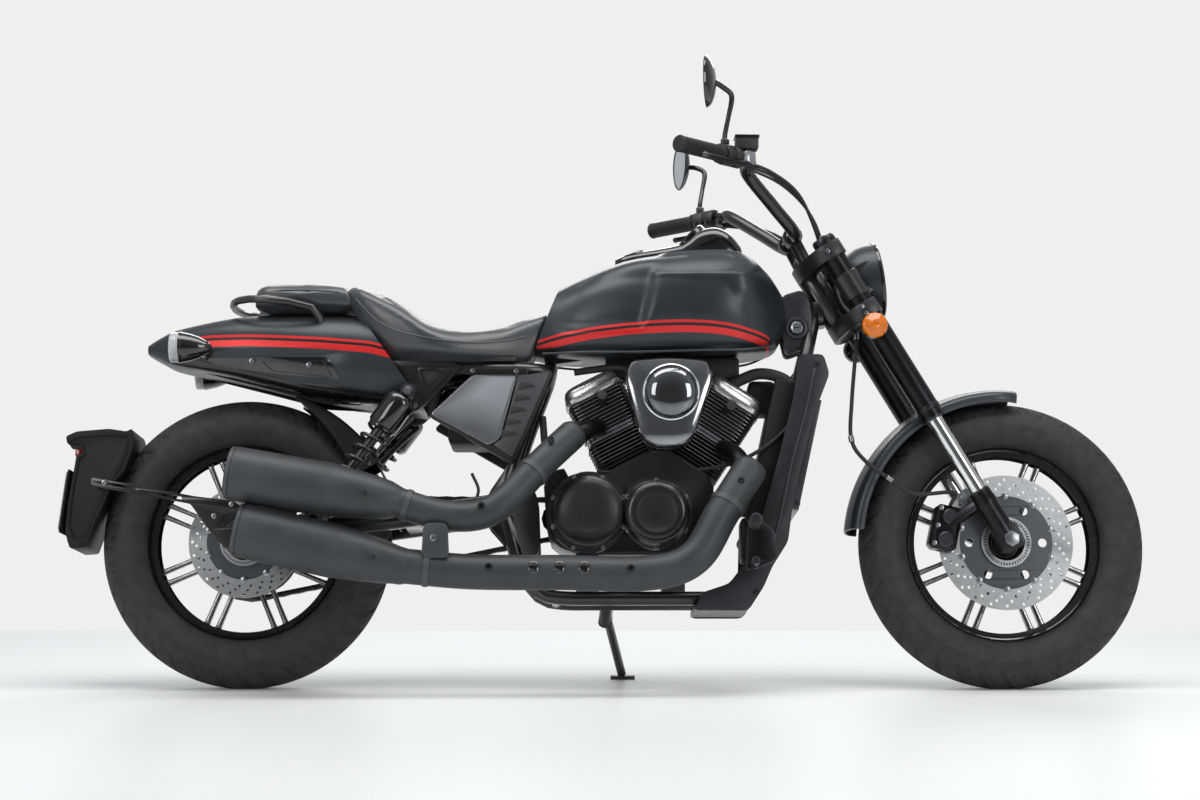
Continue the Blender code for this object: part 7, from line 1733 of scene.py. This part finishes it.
def neckShroud():
    # Dark moulded cheeks over the steering head's sides, with the lock in the right one.
    n = neck
    for tag, side in bothSides:
        cheek = slab(rounded(n["outline"], 0.014), 0.024)
        piece("neck_cheek_" + tag, moved(cheek, offset(0, side * (n["half"] - 0.012), 0)), gunmetalDark,
            sharp=30, soft=0.0065)
        place = bike @ aim((n["lock"][0], side * (n["half"] - 0.004), n["lock"][1]), (0, side, 0))
        collar = spun([(0.027, -0.004), (0.027, 0.004), (0.024, 0.008), (0.019, 0.009), (0.019, 0.006),
            (0, 0.006)], 56)
        piece("neck_collar_" + tag, collar, gunmetalDark, place, sharp=30)
        barrel = spun([(0.0145, 0), (0.0145, 0.012), (0.0125, 0.014), (0.0105, 0.0135), (0.01, 0.01),
            (0, 0.01)], 40)
        piece("lock_barrel_" + tag, barrel, turnedAluminium if side < 0 else blackAnodised, place, sharp=30)
        slot = block((0.011, 0.0025, 0.002), (0, 0, 0.0102))
        piece("lock_slot_" + tag, slot, glossPlastic, place)
        tube = swept([(1.25, side * 0.046, 0.775), (1.248, side * 0.052, 0.75), (1.246, side * 0.064, 0.718),
            (1.244, side * 0.076, 0.69)], 0.0085, 20, 6)
        piece("coolant_pipe_" + tag, tube, zincSteel if side < 0 else blackAnodised, sharp=50)


# reflective sheet aluminium of a blank number plate
plateWhite = finish("blank_plate_enamel", "carrier_black", "#c9cdd2", "#c2c6cb", 0.3, coat=0.3,
    coatRough=0.2, mottleMm=30, grain=(0.8, 0.02, 0.3))


def rearIndicators():
    for tag, side in bothSides:
        place = bike @ aim((-0.148, side * 0.2, 0.737), (1, 0, 0))
        shell = [(0, 0.086), (0.004, 0.085), (0.01, 0.08), (0.017, 0.07), (0.024, 0.056), (0.0295, 0.04),
            (0.033, 0.024), (0.034, 0.0195), (0.0348, 0.0185), (0.0348, 0.015), (0.0335, 0.014)]
        lens = [(0.0335, 0.0145)]
        for k in range(6):
            lens += [(0.0338, 0.0125 - 0.003 * k), (0.0326, 0.011 - 0.003 * k)]
        lens += [(0.03, -0.0055), (0.02, -0.0075), (0, -0.0085)]
        piece("rear_indicator_shell_" + tag, spun(shell, 64), glossPlastic, place, "rear_indicator_" + tag,
            35)
        piece("rear_indicator_lens_" + tag, spun(lens, 64), smokedLens, place, sharp=25)
        dish = spun([(0.0315, 0), (0.029, 0.009), (0.018, 0.015), (0, 0.017)], 40)
        piece("rear_indicator_dish_" + tag, dish, chrome, place, sharp=60)
        start = Vector((-0.148 + 0.0533, side * 0.185, 0.737))
        end = Vector((start.x + 0.004, side * 0.098, 0.737))
        piece("rear_indicator_stalk_" + tag, swept([start, start.lerp(end, 0.5), end], [0.01, 0.0085, 0.012],
            24, 6), powderCoat)


# clear polycarbonate over a dull reflector, greyed by its ribs
smokedLens = finish("ribbed_clear_polycarbonate", "lamp_glass", "#e2e5e8", "#d4d8dc", 0.14, clear=0.45,
    ior=1.5, mottleMm=8, grain=(2, 0.15, 0.4))


def cable(name, route, radius):
    line = smoothRoute([steered @ Vector(p) for p in route], 8)
    thing = piece(name, swept([tuple(p) for p in line], radius, 12, 1), gripRubber, world, sharp=60,
        body="steering")


def cables():
    # Short cables and the hose from the bar's controls down to the fork's head.
    for tag, side, count in (("clutch", 1, 2), ("throttle", -1, 3)):
        start = barPoints(side)[-1] - barAxis(side) * 0.176
        for k in range(count):
            shift = 0.01 * k
            cable("%s_cable_%d" % (tag, k + 1), [(start.x + 0.02, start.y, start.z - 0.01 - 0.006 * k),
                (1.15 + shift, side * (0.252 - 0.01 * k), 1.11 - shift),
                (1.215 + shift, side * (0.2 - 0.02 * k), 1.075 - shift),
                (1.262 + shift * 0.6, side * (0.125 - 0.014 * k), 1.01),
                (1.285 + shift * 0.5, side * (0.07 - 0.012 * k), 0.955 - shift),
                (1.296, side * (0.05 - 0.01 * k), 0.915 - shift)], 0.003 if k else 0.0038)


def rearBrake():
    turn = 48
    place = rearHub @ turned("Y", -turn) @ offset(0.106, -0.0625, 0)
    bolts("rear_caliper_bolts", [(0.014, -0.0275, z) for z in (-0.028, 0.028)], 0.0055, place=place)
    piston = moved(spun([(0.015, 0), (0.015, 0.002), (0.0125, 0.0035), (0, 0.0035)], 28),
        aim((-0.004, -0.0275, 0), (0, -1, 0)))
    piece("rear_caliper_piston", piston, blackAnodised, place, sharp=30)


def engineExtras():
    # Hoses, looms and boxes round the engine, dark pieces that fill the frame as on the real machine.
    hoses = {"coolant_hose_top": (((1.085, -0.05, 0.68), (1.14, -0.062, 0.7), (1.19, -0.074, 0.69),
        (1.228, -0.085, 0.66)), 0.013), "coolant_hose_low": (((1.196, -0.085, 0.42), (1.165, -0.082, 0.395),
        (1.12, -0.078, 0.39), (1.06, -0.07, 0.4), (1.01, -0.06, 0.43)), 0.014),
        "rear_brake_line": (((0.505, -0.108, 0.47), (0.52, -0.12, 0.43), (0.5, -0.13, 0.395),
        (0.44, -0.135, 0.38), (0.36, -0.132, 0.378)), 0.0035),
        "vent_hose": (((1.24, -0.092, 0.64), (1.19, -0.108, 0.56), (1.1, -0.112, 0.5), (1, -0.108, 0.478),
        (0.88, -0.104, 0.474), (0.78, -0.104, 0.474)), 0.0045),
        "breather_hose": (((0.87, -0.07, 0.7), (0.83, -0.06, 0.715), (0.78, -0.05, 0.712),
        (0.73, -0.045, 0.706)), 0.008), "loom_behind": (((0.66, -0.08, 0.6), (0.665, -0.092, 0.54),
        (0.672, -0.095, 0.48), (0.69, -0.088, 0.43)), 0.008),
        "loom_front": (((1.175, -0.06, 0.64), (1.16, -0.075, 0.56), (1.15, -0.07, 0.48),
        (1.13, -0.06, 0.42)), 0.007)}
    boxes = {"air_box": ((0.3, 0.1, 0.052), (0.95, 0, 0.716)), "coil_cover": ((0.06, 0.09, 0.075),
        (1.15, 0, 0.65)), "regulator": ((0.038, 0.11, 0.1), (1.12, 0, 0.33)), "starter": ((0.12, 0.06, 0.06),
        (0.87, 0.02, 0.5)), "battery_case": ((0.14, 0.17, 0.12), (0.52, 0, 0.6))}
    for name, (size, middle) in boxes.items():
        piece(name, block(size, middle), wornPlastic, soft=0.01)
    shroud = moved(block((0.05, 0.21, 0.33)), offset(1.168, 0, 0.52) @ turned("Y", 12))
    piece("radiator_fan_shroud", shroud, wornPlastic, soft=0.008)
    for name, (route, radius) in hoses.items():
        piece(name, swept(route, radius, 18, 8), gripRubber, sharp=60)


frameAndArms()
gussets()
sideCovers()
shocks()
radiatorParts()
footControls()
plateCarrier()
rearInnerGuard()
neckShroud()
rearIndicators()
cables()
rearBrake()
engineExtras()
print("frame and covers made")


# Stage, light and camera

def stage():
    floor = bpy.data.meshes.new("studio_floor")
    reach, front, back = 16, -7.5, 1.95
    points = [(-reach, front, 0), (reach, front, 0), (reach, back, 0), (-reach, back, 0)]
    floor.from_pydata(points, [], [(0, 1, 2, 3)])
    surface = bpy.data.materials.new("pale_studio_floor")
    surface.use_nodes = True
    shader = surface.node_tree.nodes["Principled BSDF"]
    shader.inputs["Base Color"].default_value = linear("#f3f4f4")
    shader.inputs["Roughness"].default_value = 0.32
    shader.inputs["Specular IOR Level"].default_value = 0.3
    floor.materials.append(surface)
    placed("studio_floor", floor)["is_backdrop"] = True


def softbox(name, spot, target, size, power):
    lamp = bpy.data.lights.new(name, "AREA")
    lamp.shape, lamp.size, lamp.size_y, lamp.energy = "RECTANGLE", size[0], size[1], power
    holder = placed(name, lamp)
    away = Vector(spot) - Vector(target)
    holder.matrix_world = aim(spot, away)


def lights():
    surroundings = bpy.data.worlds.new("studio")
    bpy.context.scene.world = surroundings
    surroundings.use_nodes = True
    tree = surroundings.node_tree
    room = tree.nodes["Background"]
    room.inputs["Color"].default_value = linear("#eef2f5")
    # the room is darker on the viewer's side, which the chrome and the black lacquer show
    place = addNode(tree, "ShaderNodeTexCoord")
    apart = addNode(tree, "ShaderNodeSeparateXYZ", Vector=place.outputs["Generated"])
    shade = addNode(tree, "ShaderNodeMapRange", {"From Min": -0.95, "From Max": -0.45, "To Min": 0.16,
        "To Max": 0.55}, Value=apart.outputs["Y"])
    tree.links.new(shade.outputs["Result"], room.inputs["Strength"])
    wall = addNode(tree, "ShaderNodeBackground", {"Color": linear("#eff0ee"), "Strength": 1})
    rays = addNode(tree, "ShaderNodeLightPath")
    either = addNode(tree, "ShaderNodeMath", {"operation": "MAXIMUM"}, n0=rays.outputs["Is Camera Ray"],
        n1=rays.outputs["Is Transmission Ray"])
    choice = addNode(tree, "ShaderNodeMixShader", Fac=either.outputs["Value"], n1=room.outputs["Background"],
        n2=wall.outputs["Background"])
    tree.links.new(choice.outputs["Shader"], tree.nodes["World Output"].inputs["Surface"])
    softbox("overhead", (0, -0.6, 3.6), (0, 0, 0.4), (4.4, 1.6), 105)
    softbox("front_left", (-3.2, -4.2, 2.4), (0, 0, 0.5), (1.6, 2.4), 60)
    softbox("front_right", (3.4, -3.8, 2), (0.3, 0, 0.5), (1.6, 2.4), 60)
    softbox("behind", (0.4, 3.6, 3), (0, 0, 0.6), (3.6, 1.4), 70)


def camera():
    view = {"forward": 0.788, "away": 6.2, "height": 0.508, "upward": 1.235, "focalPixels": 2783}
    lens = bpy.data.cameras.new("camera")
    lens.sensor_width = 36
    lens.lens = view["focalPixels"] / 1200 * lens.sensor_width
    holder = placed("camera", lens)
    holder.location = (stance["origin"][0] + view["forward"], stance["origin"][1] - view["away"],
        view["height"])
    holder.rotation_euler = (radians(90 + view["upward"]), 0, 0)
    bpy.context.scene.camera = holder


stage()
lights()
camera()
bpy.context.scene.view_settings.view_transform = "Standard"
bpy.context.view_layer.update()
{"cad": cadBounds, "dressed": [list(corner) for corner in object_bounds()]}
print("stage set")
